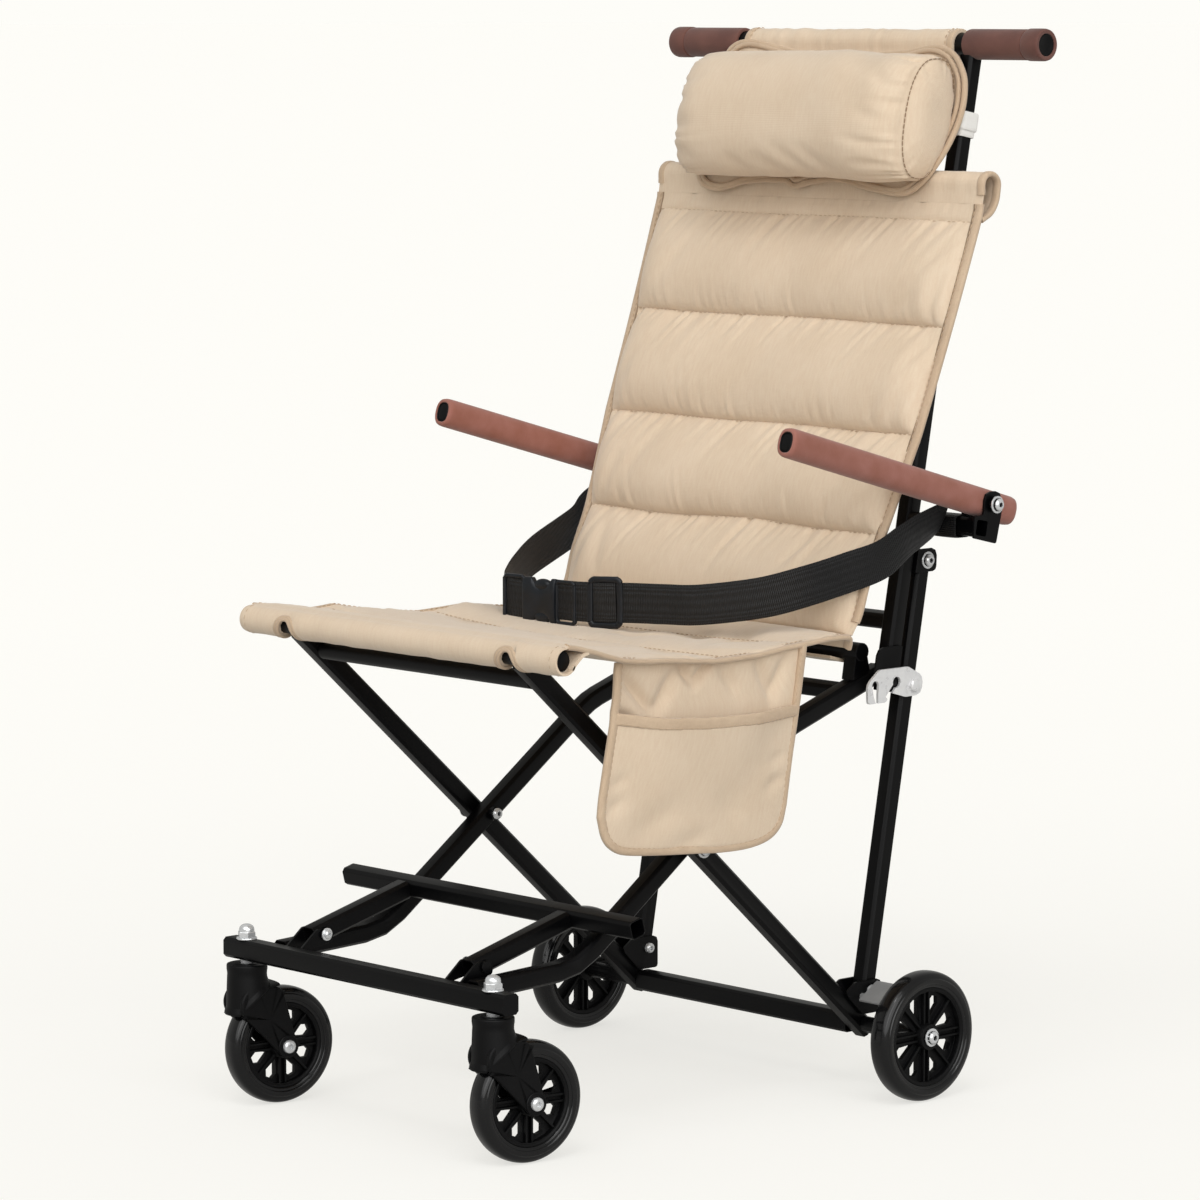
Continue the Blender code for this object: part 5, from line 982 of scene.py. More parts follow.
# %% Make the bolster and its end seams
bolster_patch, roll = bolster()
pillow = piece("head_pillow_bolster", bolster_patch, CLOTH, *ON_BACK, "pillow", smooth=70)
seam_rows = [np.concatenate([roll[i], roll[i][:1]]) for i in (0, -1)]
seam_rows = [row + np.array([s * 0.0012, -0.0004, 0]) for row, s in zip(seam_rows, (-1, 1))]
# The end seams' thread is painted darker than the rest: painted shade in the seams.
DARK_THREAD = woven("shaded_seam_thread", ("#8A735C", "#967F67"), 0.9, 0.10, 0.10)
piece("pillow_end_seams", stitch_rows(seam_rows, 0.0048, 0.0006, 0.0006), DARK_THREAD, *ON_BACK)

# %% [markdown]
# ### The pillow's backing, its double binding and the loop over the handlebar
# The backing is a flat panel a little larger than the roll. Two rounds of tape bind it,
# and it leans forward at its low edge, where it lies on the back's own sleeve. Its upper
# part goes on over the handlebar and hangs down behind it.

# %% The backing and its binding
RIM = np.array([
    (0.150, 0.3315, 1.0045), (0.1655, 0.3285, 0.9865), (0.1705, 0.3255, 0.971), (0.1715, 0.3215, 0.953),
    (0.1695, 0.3155, 0.935), (0.1665, 0.306, 0.9163), (0.162, 0.2965, 0.9005), (0.1525, 0.2875, 0.8835),
    (0.130, 0.2835, 0.8705), (0.087, 0.2835, 0.8735), (0.041, 0.2835, 0.8815), (0.001, 0.2835, 0.8780),
    (-0.020, 0.2830, 0.8735), (-0.038, 0.2835, 0.8790), (-0.091, 0.2835, 0.8765), (-0.129, 0.2830, 0.8685),
    (-0.154, 0.2835, 0.8735), (-0.166, 0.2900, 0.8900), (-0.1695, 0.302, 0.915), (-0.171, 0.3145, 0.940),
    (-0.172, 0.3230, 0.965), (-0.1705, 0.3290, 0.990), (-0.163, 0.3335, 1.0085), (-0.140, 0.3350, 1.0155),
    (-0.096, 0.3340, 1.0095), (-0.049, 0.3325, 1.003), (0.020, 0.332, 1.002), (0.085, 0.333, 1.006),
    (0.124, 0.3335, 1.0115),
])
rim = along_curve(RIM, 260, closed=True)[:-1]
middle = np.array([PILLOW["x"], 0.306, PILLOW["z"]])
INSETS = (0.0, 0.05, 0.16, 0.30)       # the last one leaves the middle open, behind the roll
inset = np.stack([rim + (middle - rim) * share for share in INSETS])
inset[2:, :, 1] -= 0.003
under = inset[::-1] + np.array([0, 0.0022, 0])
sheet_rows = np.concatenate([inset[::-1], under[::-1]])
length = np.linspace(0, 1.0, len(rim))
cloth = np.stack(np.broadcast_arrays(length[None, :], np.arange(len(sheet_rows))[:, None] * 0.02), -1)
backing = piece("pillow_backing", grid(sheet_rows, along=True, cloth=cloth), CLOTH,
                *ON_BACK, smooth=60)
inwards = unit(middle - rim)
outline = rim + np.array([0, -0.0008, 0])
second = rim + inwards * 0.0062 + np.array([0, -0.0022, 0])
welt = piece("pillow_double_binding", [
    tape(outline, TAPE_FACING, 0.0058, 0.0052, closed=True),
    tape(second, TAPE_FACING, 0.0050, 0.0048, closed=True)], BINDING, *ON_BACK, smooth=60)
welt_thread = piece("pillow_binding_stitches", stitch_rows(
    [rim + inwards * 0.0031 + np.array([0, -0.0036, 0.0006])], 0.0036, 0.0020, 0.0004),
    THREAD, *ON_BACK)

# %% The loop over the handlebar
def pillow_loop():
    """From behind the roll's top up the bar's front, over it and down its back."""
    reach = HANDLE_R + THIN + 0.0005
    a = np.radians(np.linspace(187, 0, 20))
    over = arc(HANDLE, reach, a)
    tail = np.array([(HANDLE[0] + reach - 0.0003, HANDLE[1] - 0.012),
                     (HANDLE[0] + reach - 0.0010, HANDLE[1] - 0.0326)])
    start = np.array([(0.3265, 0.975), (0.3310, 0.995), (0.3345, 1.006)])
    return along_curve(np.concatenate([start, over, tail]), 46)


loop_line = pillow_loop()
flap_half = UPRIGHT_X - TUBE / 2 - 0.0050
HEM_INSET, HEM_STITCH_INSET = 0.0042, 0.0092
share, two = laid_across(loop_line, 90)
x = flap_half * share
reach = np.linspace(0, 1, len(loop_line))[:, None]
fold = 0.0008 * ripples(x + 0.01 * reach, [0.038, 0.061, 0.026], 15) * np.clip(reach * 4, 0, 1)
hang = np.clip((reach - 0.62) / 0.3, 0, 1) * 0.0010 * ripples(x, [0.05, 0.033], 17)
ease = np.clip(np.sin(reach * math.pi * 0.98), 0, 1) ** 0.5
relief = (fold + hang) * ease
flap = piece("pillow_handlebar_loop", strip_of_cloth(
    two, flap_half, THIN + relief, THIN - relief * 0.6, share), CLOTH, *ON_BACK, smooth=60)
out = square_to(loop_line)
hems, threads = [], []
for sign in (1, -1):
    line = at_side(sign * (flap_half - HEM_INSET), loop_line + out * (THIN - 0.0002))
    hems.append(tape(line[2:], at_side(0.0, out)[2:], 0.0078, 0.0022))
    line = at_side(sign * (flap_half - HEM_STITCH_INSET), loop_line + out * (THIN + 0.0010))
    threads.append(line[3:])
piece("handlebar_loop_hems", hems, BINDING, *ON_BACK, smooth=60)
piece("handlebar_loop_stitches", stitch_rows(threads, 0.0036, 0.0026, 0.00045), THREAD, *ON_BACK)

# %% [markdown]
# ## The seat
# The seat is the same sling laid flat. In front it wraps round a bar, and two arches are
# cut in that sleeve where the rails reach the bar. Its sides are bound hems that rise and
# fall, because only the bar in front and the bar behind hold the cloth up. The arches are
# made by starting each column's wrap at its own angle, so the cut is part of the grid.

# %% The seat's line, its edges and its sleeve
SEAT_FRONT, FRONT_BAR_R = (-0.252, 0.465), 0.0095
SEAT_LINE = np.array([(-0.252, 0.4780), (-0.235, 0.4752), (-0.215, 0.4700), (-0.165, 0.4600),
                      (-0.100, 0.4545), (-0.035, 0.4510), (0.030, 0.4495), (0.095, 0.4515),
                      (0.1180, 0.4550), (0.1290, 0.4565)])
LEFT_HEM_RISE = np.array([     # y, and how far the chair's left hem stands above SEAT_LINE
    (-0.252, 0.0), (-0.216, 0.0), (-0.178, -0.003), (-0.122, -0.002), (-0.054, -0.0045),
    (0.004, -0.0020), (0.042, 0.0015), (0.100, 0.0030), (0.1180, -0.0005), (0.1290, -0.0030)])
RIGHT_HEM_RISE = np.array([
    (-0.252, 0.0), (-0.200, 0.001), (-0.155, 0.011), (-0.110, 0.006),
    (-0.050, 0.003), (0.008, 0.008), (0.060, 0.002), (0.129, -0.004)])
SEAT_HALF = [(-0.252, 0.2265), (0.129, 0.2095), (0.2, 0.205)]
ARCH_HALF, ARCH_FROM, ARCH_TO = 0.0135, -25.0, -203.0     # half width, and degrees round the bar
SEAT_SWELL, SEAT_SAG = 0.0055, 0.0055
FRONT_REACH = FRONT_BAR_R + THIN + 0.0008      # from the front bar's middle to the cloth's
WRAP_ROWS = 30
SEAT_CREASES = [
    (-0.15, -0.206, 0.05, -0.100, 0.020, 0.0045), (0.03, -0.112, 0.225, -0.012, 0.017, 0.0052),
    (0.0, 0.004, 0.09, 0.052, 0.012, 0.0030), (0.146, -0.008, 0.123, 0.095, 0.014, 0.0034),
    (0.02, 0.10, 0.12, 0.02, 0.014, 0.0035), (0.06, 0.115, 0.17, 0.035, 0.012, 0.0040),
    (-0.04, 0.09, 0.06, -0.02, 0.016, 0.0028), (0.10, -0.02, 0.19, -0.10, 0.013, 0.0030),
    (0.02, -0.05, 0.12, -0.13, 0.016, 0.0026), (-0.15, 0.08, -0.05, 0.02, 0.014, 0.0030),
    (-0.19, -0.02, -0.08, -0.09, 0.014, 0.0030), (-0.10, -0.15, 0.02, -0.19, 0.013, 0.0022),
    (0.09, -0.16, 0.19, -0.205, 0.010, 0.0026)]
SEAT_SEAMS = np.array([-0.252, -0.165, -0.035, 0.060, 0.129])

# %% The seat's panel
def seat_panel():
    """Rows round the bar, then back along the seat. The swell is a sine between seams."""
    columns = 170
    share = np.linspace(-1, 1, columns)[None, :]
    x_front = SEAT_HALF[0][1] * share
    from_rail = np.abs(np.abs(x_front) - UPRIGHT_X) / ARCH_HALF
    arch = np.sqrt(np.clip(1 - from_rail ** 2.6, 0, 1))
    start = ARCH_FROM + (ARCH_TO - ARCH_FROM) * arch
    t = np.linspace(0, 1, WRAP_ROWS)[:, None]
    wrap = arc(SEAT_FRONT, FRONT_REACH, np.radians(start + (-270 - start) * t))
    seat = along_curve(SEAT_LINE, 110)[1:]
    y = seat[:, :1] * np.ones_like(share)
    blend = np.abs(share) ** 2.2
    rise = np.where(share > 0, np.interp(y, *LEFT_HEM_RISE.T),
                    np.interp(y, *RIGHT_HEM_RISE.T)) * blend
    sag = np.clip(np.sin(math.pi * np.clip((seat[:, :1] + 0.235) / 0.375, 0, 1)), 0, 1)
    z = seat[:, 1:] + rise - SEAT_SAG * sag * (1 - share ** 2)
    drop = np.array([(0.1325, 0.4545), (0.1350, 0.4500), (0.1360, 0.4440)])
    y_drop = drop[:, :1] * np.ones_like(share)
    z_drop = drop[:, 1:] + rise[-1:] * np.linspace(0.9, 0.6, 3)[:, None]
    line = np.concatenate([wrap, np.stack([y, z], -1), np.stack([y_drop, z_drop], -1)])
    half = np.concatenate([np.full((WRAP_ROWS, 1), SEAT_HALF[0][1]),
                           np.interp(seat[:, :1], *zip(*SEAT_HALF)),
                           [[0.2075], [0.2055], [0.203]]])
    x = half * share
    seam = np.clip(np.searchsorted(SEAT_SEAMS, y, side="right") - 1, 0, 3)
    part = (y - SEAT_SEAMS[seam]) / (SEAT_SEAMS[seam + 1] - SEAT_SEAMS[seam])
    swell = SEAT_SWELL * np.clip(np.sin(math.pi * np.clip(part, 0, 1)), 0, 1) ** 0.7
    swell = swell * (1 - np.abs(share) ** 12) ** 0.6
    from_seam = np.minimum(np.abs(y - SEAT_SEAMS[seam]), np.abs(SEAT_SEAMS[seam + 1] - y))
    x_top = x[WRAP_ROWS:-3]
    folds = 0.0030 * puckers(x_top, from_seam, [0.027, 0.043, 0.018], 0.016, 120, 0.4)
    edge_away = (1 - np.abs(share)) * 0.215
    folds = folds + 0.0026 * puckers(y, edge_away, [0.034, 0.052, 0.021], 0.030, 130, 0.6)
    folds = folds + creases(x_top, y, SEAT_CREASES)
    folds = folds * np.clip((y - SEAT_SEAMS[0]) / 0.02, 0, 1) * np.clip((SEAT_SEAMS[-1] - y) / 0.01, 0, 1)
    slack = ripples(x[:WRAP_ROWS] + 0.004 * t, [0.083, 0.051], 140)
    slack = 0.0005 * (slack - slack.min()) * np.sin(math.pi * t) ** 0.5
    thin = THIN * np.clip((1 - np.abs(share)) / 0.015, 0.5, 1)
    front = np.concatenate([thin + slack, thin + swell + folds, np.repeat(thin, 3, 0)])
    rear = np.concatenate([thin + 0 * t, thin + 0.25 * swell, np.repeat(thin, 3, 0)])
    return strip_of_cloth(line, half, front, rear, share), line, half, share

# %% Join the seat
seat_patch, seat_lines, seat_half, seat_share = seat_panel()
low = np.radians(np.linspace(ARCH_FROM - 22, ARCH_FROM, 4))
tail_line = np.concatenate([arc(SEAT_FRONT, FRONT_REACH, low),
                            [(-0.2370, 0.4640), (-0.2310, 0.4686), (-0.2240, 0.4706)]])
gap = UPRIGHT_X - ARCH_HALF, UPRIGHT_X + ARCH_HALF
tails = [sleeve(x0, x1, along_curve(tail_line, 14), 9, columns) for x0, x1, columns in (
    (-SEAT_HALF[0][1], -gap[1], 14), (-gap[0], gap[0], 60), (gap[1], SEAT_HALF[0][1], 14))]
seat = piece("quilted_seat", [seat_patch, *tails], CLOTH, *ON_SEAT, "seat_fabric", smooth=60)
print("quilted seat:", len(seat.data.polygons), "faces")

# %% [markdown]
# ### Hems, ring seams and the bound arches of the seat
# The side hems are tape folded over the edge. Each end of the front sleeve has a stitched
# ring, and each arch is bound by two rounds of tape, because the rail would fray it.

# %% Bind the seat
def seat_side(sign):
    """One edge of the seat, row by row of the grid, from the top of the bar backwards."""
    column = -1 if sign > 0 else 0
    return np.concatenate([sign * seat_half[WRAP_ROWS:], seat_lines[WRAP_ROWS:, column]], 1)


hems, threads = [], []
for sign in (1, -1):
    edge = seat_side(sign)
    out = at_side(0.0, square_to(edge[:, 1:]))
    hems.append(tape(edge + np.array([-sign * 0.0034, 0, 0]), out, 0.0100, 0.0052))
    threads.append(edge + np.array([-sign * 0.0072, 0, 0]) + out * 0.0027)
    a = np.radians(np.linspace(ARCH_FROM, -268, 40))
    for inward, wide, thick in ((0.0045, 0.0088, 0.0030), (0.0125, 0.0022, 0.0030)):
        ring = at_side(sign * (SEAT_HALF[0][1] - inward), arc(SEAT_FRONT, FRONT_REACH, a))
        spoke = side_spokes(a)
        hems.append(tape(ring, spoke, wide, thick))
        if wide > 0.005:
            threads.append(ring + spoke * 0.0017 + np.array([-sign * 0.0036, 0, 0]))
reach = FRONT_BAR_R + CLOTH_THICK + 0.0006
for rail in (1, -1):
    for wider, thick in ((0.0005, 0.0036), (0.0050, 0.0030)):
        side = np.linspace(-1, 1, 60)
        bow = np.sign(side) * (1 - (1 - np.abs(side)) ** 1.5)
        across = (ARCH_HALF + wider) * bow
        height = np.sqrt(np.clip(1 - np.abs(bow) ** 2.6, 0, 1))
        a = np.radians(ARCH_FROM - 30 + (ARCH_TO - ARCH_FROM + 30 - wider * 2400) * height)
        path = along_curve(at_side(rail * UPRIGHT_X + across, arc(SEAT_FRONT, reach, a)), 70)
        hems.append(tape(path, unit(at_side(0.0, path[:, 1:] - np.array(SEAT_FRONT))), 0.0040, thick))
piece("seat_hems_and_arches", hems, BINDING, *ON_SEAT, smooth=60)
piece("seat_hem_stitches", stitch_rows(threads), THREAD, *ON_SEAT, smooth=60)
print("seat bound with", len(hems), "lengths of tape")
seam_thread = []
for y in SEAT_SEAMS[1:-1]:
    row = WRAP_ROWS + int(np.argmin(np.abs(seat_lines[WRAP_ROWS:-3, 85, 0] - y)))
    keep = slice(6, -6)
    points = at_side((seat_half[row] * seat_share[0])[keep], seat_lines[row, keep])
    seam_thread.append(points + UP * (THIN + 0.0004))
piece("seat_seam_stitches", stitch_rows(seam_thread), THREAD, *ON_SEAT, smooth=60)

# %% The strap from the seat to its rear bar
REAR_BAR, REAR_BAR_R, STRAP_HALF = (0.210, 0.427), 0.009, 0.1235


def rear_strap():
    """Out under the seat's rear edge, round the rear bar and back to the seat."""
    reach = REAR_BAR_R + THIN + 0.0004
    a = np.radians(np.linspace(112, -118, 22))
    loop = arc(REAR_BAR, reach, a)
    return along_curve(np.concatenate([[(0.1080, 0.4500), (0.1330, 0.4505), (0.1700, 0.4450)], loop,
                                       [(0.1900, 0.4215)]]), 60)


strap_line = rear_strap()
share, two = laid_across(strap_line, 60)
taut = 0.0007 * ripples(0.124 * share, [0.06, 0.035], 160)
taut = taut * np.sin(np.linspace(0, math.pi, 60))[:, None]
rear_band = piece("seat_rear_band", strip_of_cloth(
    two, STRAP_HALF, THIN + taut, THIN - taut, share), CLOTH, *ON_SEAT, smooth=60)

# %% [markdown]
# ## The side pocket
# A flat panel hangs from the seat's left hem, and a second panel is sewn on it from the
# mouth down, fuller than the first so that a hand goes in. Each is one sheet given a
# thickness along its own normals, and tape binds the sides and the rounded foot.

# %% The pocket's two panels
POCKET_X, PANEL_THICK, POUCH_RIM = 0.2075, 0.0016, 0.0030
POCKET_REAR = np.array([(0.0677, 0.4520), (0.0583, 0.3951), (0.0487, 0.3459), (0.0413, 0.3020)])
POCKET_FRONT = np.array([(-0.1762, 0.4560), (-0.1807, 0.4112), (-0.1889, 0.3697),
                         (-0.1960, 0.3341), (-0.1985, 0.3150)])
POCKET_FOOT = np.array([(-0.1985, 0.3150), (-0.1929, 0.2960), (-0.1827, 0.2846), (-0.1663, 0.2780),
                        (-0.1290, 0.2735), (-0.0787, 0.2695), (-0.0405, 0.2665), (-0.0060, 0.2668),
                        (0.0200, 0.2722), (0.0350, 0.2840), (0.0413, 0.3020)])
POCKET_MOUTH = np.array([(-0.1795, 0.4100), (-0.1282, 0.4015), (-0.0717, 0.3975), (-0.0079, 0.3956),
                         (0.0580, 0.3966)])


def shell(points, thick):
    """A closed sheet: the points moved out and in by half the thickness along their
    normals, the two faces joined round their edges."""
    out = outward(points, across=False)
    both = np.concatenate([points + out * thick / 2, (points - out * thick / 2)[:, ::-1]], 1)
    across = np.cumsum(np.linalg.norm(np.diff(points, axis=1, prepend=points[:, :1]), axis=-1), 1)
    down = np.cumsum(np.linalg.norm(np.diff(points, axis=0, prepend=points[:1]), axis=-1), 0)
    cloth = np.stack([across, down], -1)
    return grid(both, ends=(True, True), cloth=np.concatenate([cloth, cloth[:, ::-1]], 1))


def seat_hem_height(y):
    """Height of the left hem's underside at y."""
    edge = seat_side(1)
    return np.interp(y, edge[:, 1], edge[:, 2]) - 0.0030

# %% Places on the pocket
def pocket_places(share, v):
    """(y, z) on the pocket, share from front to rear and v from hem to foot. The sides,
    the hem and the foot are blended as a Coons patch: the mean of the sides plus the mean
    of hem and foot, less the mean of the four corners."""
    front, rear, foot = (along_curve(line, 400) for line in (POCKET_FRONT, POCKET_REAR, POCKET_FOOT))
    at = np.linspace(0, 1, 400)
    left = np.stack([np.interp(v, at, front[:, k]) for k in (0, 1)], -1)
    right = np.stack([np.interp(v, at, rear[:, k]) for k in (0, 1)], -1)
    low = np.stack([np.interp(share, at, foot[:, k]) for k in (0, 1)], -1)
    y = front[0, 0] + (rear[0, 0] - front[0, 0]) * share
    top = np.stack([y, seat_hem_height(y)], -1)
    s, t = share[..., None], v[..., None]
    corners = ((1 - s) * (1 - t) * top[:, :1] + s * (1 - t) * top[:, -1:]
               + (1 - s) * t * foot[0] + s * t * foot[-1])
    return (1 - s) * left + s * right + (1 - t) * top + t * low - corners


def pocket_grid(rows, columns, start, bulge):
    """Points from the start of each column, 0 at the hem, down to the foot."""
    share = np.broadcast_to(np.linspace(0, 1, columns), (rows, columns))
    down = np.linspace(0, 1, rows)[:, None]
    v = start + (1 - start) * down
    place = pocket_places(share, v)
    return np.concatenate([POCKET_X + bulge(share, down, *np.moveaxis(place, -1, 0))[..., None],
                           place], -1)


def mouth_start(columns):
    """How far down each column the mouth lies, read off a fine grid of the panel."""
    share = np.broadcast_to(np.linspace(0, 1, columns), (300, columns))
    fine = np.linspace(0, 1, 300)
    place = pocket_places(share, np.broadcast_to(fine[:, None], share.shape))
    above = place[..., 1] > np.interp(place[..., 0], *POCKET_MOUTH.T)
    return fine[np.clip(above.sum(0), 0, 299)][None, :]

# %% Folds and fullness of the pocket
def panel_bulge(share, v, y, z):
    """V-shaped folds that hang from the hem, over a panel that leans out a little."""
    folds = creases(y, z, [
        (-0.168, 0.446, -0.128, 0.404, 0.007, 0.0095), (-0.128, 0.404, -0.096, 0.446, 0.008, 0.0075),
        (-0.094, 0.448, -0.078, 0.428, 0.006, 0.0085), (-0.078, 0.428, -0.052, 0.448, 0.006, 0.0078),
        (-0.045, 0.446, -0.020, 0.412, 0.008, 0.0050), (0.004, 0.446, 0.026, 0.404, 0.008, 0.0065),
        (0.046, 0.446, 0.022, 0.402, 0.007, 0.0060), (-0.176, 0.410, -0.150, 0.398, 0.006, 0.0066)])
    return 0.0018 + 0.0030 * np.sin(math.pi * share) * np.sin(math.pi * v) + folds * (v < 0.6)


def pouch_bulge(share, v, y, z):
    """Full below its mouth: a hammock of cloth that narrows downwards, a bell across and
    down, over a low swell that reaches the binding all round."""
    arch = np.sin(math.pi * np.clip(share, 0, 1)) * np.sin(math.pi * (0.1 + 0.9 * v)) ** 0.7
    low = POUCH_RIM + 0.0070 * arch ** 0.5
    bell = 0.0120 * np.exp(-((share - 0.47) / (0.30 * (1.25 - v))) ** 4)
    bell = bell * np.clip(1.12 - 1.55 * v, 0, 1) ** 1.3
    folds = creases(y, z, [
        (-0.192, 0.318, -0.168, 0.330, 0.008, 0.0030), (-0.188, 0.340, -0.164, 0.350, 0.007, 0.0022),
        (-0.160, 0.292, -0.100, 0.320, 0.014, 0.0026), (-0.020, 0.290, -0.055, 0.330, 0.014, 0.0024),
        (0.036, 0.330, 0.010, 0.320, 0.007, 0.0026), (0.040, 0.350, 0.014, 0.346, 0.007, 0.0020),
        (-0.110, 0.276, -0.060, 0.288, 0.009, 0.0020)])
    flat = np.clip(np.minimum(share, 1 - share) / 0.03, 0, 1) * np.clip((1 - v) / 0.05, 0, 1)
    return POUCH_RIM + (low + bell - POUCH_RIM + folds) * flat

# %% Make the pocket and bind it
flat_panel = pocket_grid(90, 110, 0.0, panel_bulge)
pouch = pocket_grid(80, 110, mouth_start(110), pouch_bulge)
pocket = piece("pocket_panels", [shell(panel, PANEL_THICK) for panel in (flat_panel, pouch)], CLOTH,
               *ON_SEAT, "side_pocket", smooth=60)


def round_the_foot(points, inset):
    """Down one side, along the foot and up the other, inset from the edge."""
    path = along_curve(np.concatenate([points[:, 0], points[-1, 1:-1], points[::-1, -1]]), 300)
    run = headings(path)
    return path + np.stack([0 * run[:, 0], -run[:, 2], run[:, 1]], 1) * inset


edge_path = round_the_foot(flat_panel, 0.0030) + np.array([0.0020, 0, 0])
mouth_line = pouch[0] + np.array([0.0006, 0, -0.0052])
pocket_tape = [tape(edge_path, LEFTWARD, 0.0084, 0.0062),
               tape(mouth_line[1:-1], LEFTWARD, 0.0115, 0.0034)]
pocket_thread = [round_the_foot(flat_panel, 0.0060) + np.array([0.0046, 0, 0]),
                 mouth_line[2:-2] + np.array([0.0016, 0, -0.0042])]
trim = piece("pocket_binding", pocket_tape, BINDING, *ON_SEAT, smooth=60)
sewn = piece("pocket_stitches", stitch_rows(pocket_thread, 0.0036, 0.0026, 0.00042), THREAD,
             *ON_SEAT)
print("pocket:", len(pocket.data.polygons), "faces")

# %% [markdown]
# ## The lap belt
# Two lengths of black nylon webbing come from loops round the armrests' stubs, pass
# outside the back, and meet in a side-release buckle in front. Webbing bends only across
# its flat, so each strap is one thin section carried along the line read off the
# photograph, its flat turned to face sideways all the way.

# %% Webbing from the stubs to the buckle
STRAP_WIDE, STRAP_THICK = 0.0392, 0.0018
BUCKLE, BUCKLE_RUN = np.array([-0.088, 0.004, 0.4762]), unit(np.array([0.995, 0.0995, 0.0]))
BUCKLE_OUT = np.cross(BUCKLE_RUN, (0, 0, 1.0))      # towards the front of the chair
STUB, LOOP_REACH, LOOP_X, LOOP_WIDE = (0.2604, 0.5530), 0.0106, 0.2170, 0.0330
SQUARE_BAND = 0.35              # the power that squares a band off round square tube
TAIL = [(0.2060, 0.1330, 0.5161), (0.2172, 0.1629, 0.5258), (0.2215, 0.1859, 0.5395),
        (0.2222, 0.2059, 0.5490), (0.2222, 0.2313, 0.5585), (0.2200, 0.2490, 0.5640)]


def on_buckle(along, up=0.0, out=0.0):
    """A point in the buckle's own frame: along its run, up, and out to the front."""
    return BUCKLE + BUCKLE_RUN * along + UP * up + BUCKLE_OUT * out


def webbing(path, lean):
    """A strap whose flat stays upright: its normal is the run crossed with straight up,
    then turned by lean, which gives radians at shares of the length."""
    path = along_curve(path, 160)
    run = headings(path)
    flat = unit(np.cross(run, UP))
    turn = np.interp(np.linspace(0, 1, len(path)), *zip(*lean))[:, None]
    flat = unit(flat * np.cos(turn) + np.cross(run, flat) * np.sin(turn))
    return tape(path, flat, STRAP_WIDE, STRAP_THICK, steps=20)

# %% Lay the belt
RUNS = {
    "left": [on_buckle(0.0165), on_buckle(0.030), on_buckle(0.042), (-0.020, 0.0165, 0.4765),
             (0.0134, 0.0275, 0.4780), (0.0500, 0.0385, 0.4790), (0.0882, 0.0480, 0.4810),
             (0.1499, 0.0680, 0.4913), (0.1860, 0.0930, 0.5035), *TAIL],
    "right": [on_buckle(-0.0245, -0.002, -0.002), on_buckle(-0.030, -0.002, -0.001),
              on_buckle(-0.044, -0.001, 0.000), (-0.1400, 0.0020, 0.4766),
              (-0.1600, 0.0190, 0.4780), (-0.1880, 0.0560, 0.4870), (-0.2080, 0.1000, 0.5020),
              *[(-x, y, z) for x, y, z in TAIL[1:]]],
}
for side, run in RUNS.items():
    hand = SIDES[side]
    a = full_circle(48)
    box = np.stack([STUB[0] + LOOP_REACH * squared(np.cos(a), SQUARE_BAND),
                    STUB[1] + LOOP_REACH * squared(np.sin(a), SQUARE_BAND)], 1)
    piece(f"lap_belt_{side}_webbing", [
        webbing(run, [(0, 0), (0.72, 0), (0.9, hand * 0.25), (1, hand * 0.5)]),
        tape(at_side(hand * LOOP_X, box), side_spokes(a), LOOP_WIDE, STRAP_THICK, closed=True, steps=20)],
        WEBBING, "back_frame", "webbing", f"belt_{side}_side", smooth=50)
    print("belt", side, round(float(distances(along_curve(run, 300))[-1]), 3), "m")

# %% [markdown]
# ### Buckle and slider
# A side-release buckle is two mouldings: a flat sleeve with a round cut-out on either
# side, and a fork whose two prongs snap in and show as buttons in those cut-outs. Each
# moulding has a bar that its webbing passes round. The sleeve and the buttons are ovals
# squared off by a power, drawn at stations along the strap, and the frames round the
# webbing are closed bands of oval section.

# %% Mould the buckle and the slider
def round_box(u0, u1, low, high, radius):
    """A rectangle with round corners, as one closed line."""
    centres = [(u1 - radius, high - radius), (u0 + radius, high - radius),
               (u0 + radius, low + radius), (u1 - radius, low + radius)]
    a = np.linspace(0, math.pi / 2, 16)
    return np.concatenate([np.stack([u + radius * np.cos(a + k * math.pi / 2),
                                     z + radius * np.sin(a + k * math.pi / 2)], 1)
                           for k, (u, z) in enumerate(centres)])


def swelling(stations, lift, power=0.62):
    """A body drawn along the buckle's run: at each station (along, half height, half
    depth) a closed oval squared off by the power."""
    rows = []
    for along, tall, deep in stations:
        section = oval(2 * tall, 2 * deep, 64, power)
        rows.append(on_buckle(along, lift) + section[:, :1] * UP + section[:, 1:] * BUCKLE_OUT)
    return grid(np.array(rows), ends=(True, True))


def frame_round(middle, run, out, box, wide, tall):
    """A closed frame of oval section round a rounded box, which lies along run and up."""
    flat = along_curve(round_box(*box), 96, closed=True)
    return tape(middle + flat[:, :1] * run + flat[:, 1:] * UP, out, wide, tall, closed=True, steps=14)


def closed_ends(stations):
    """The stations, with a nearly flat one before the first and after the last."""
    return np.concatenate([stations[:1] * (1, 0.02, 0.02), stations, stations[-1:] * (1, 0.02, 0.02)])

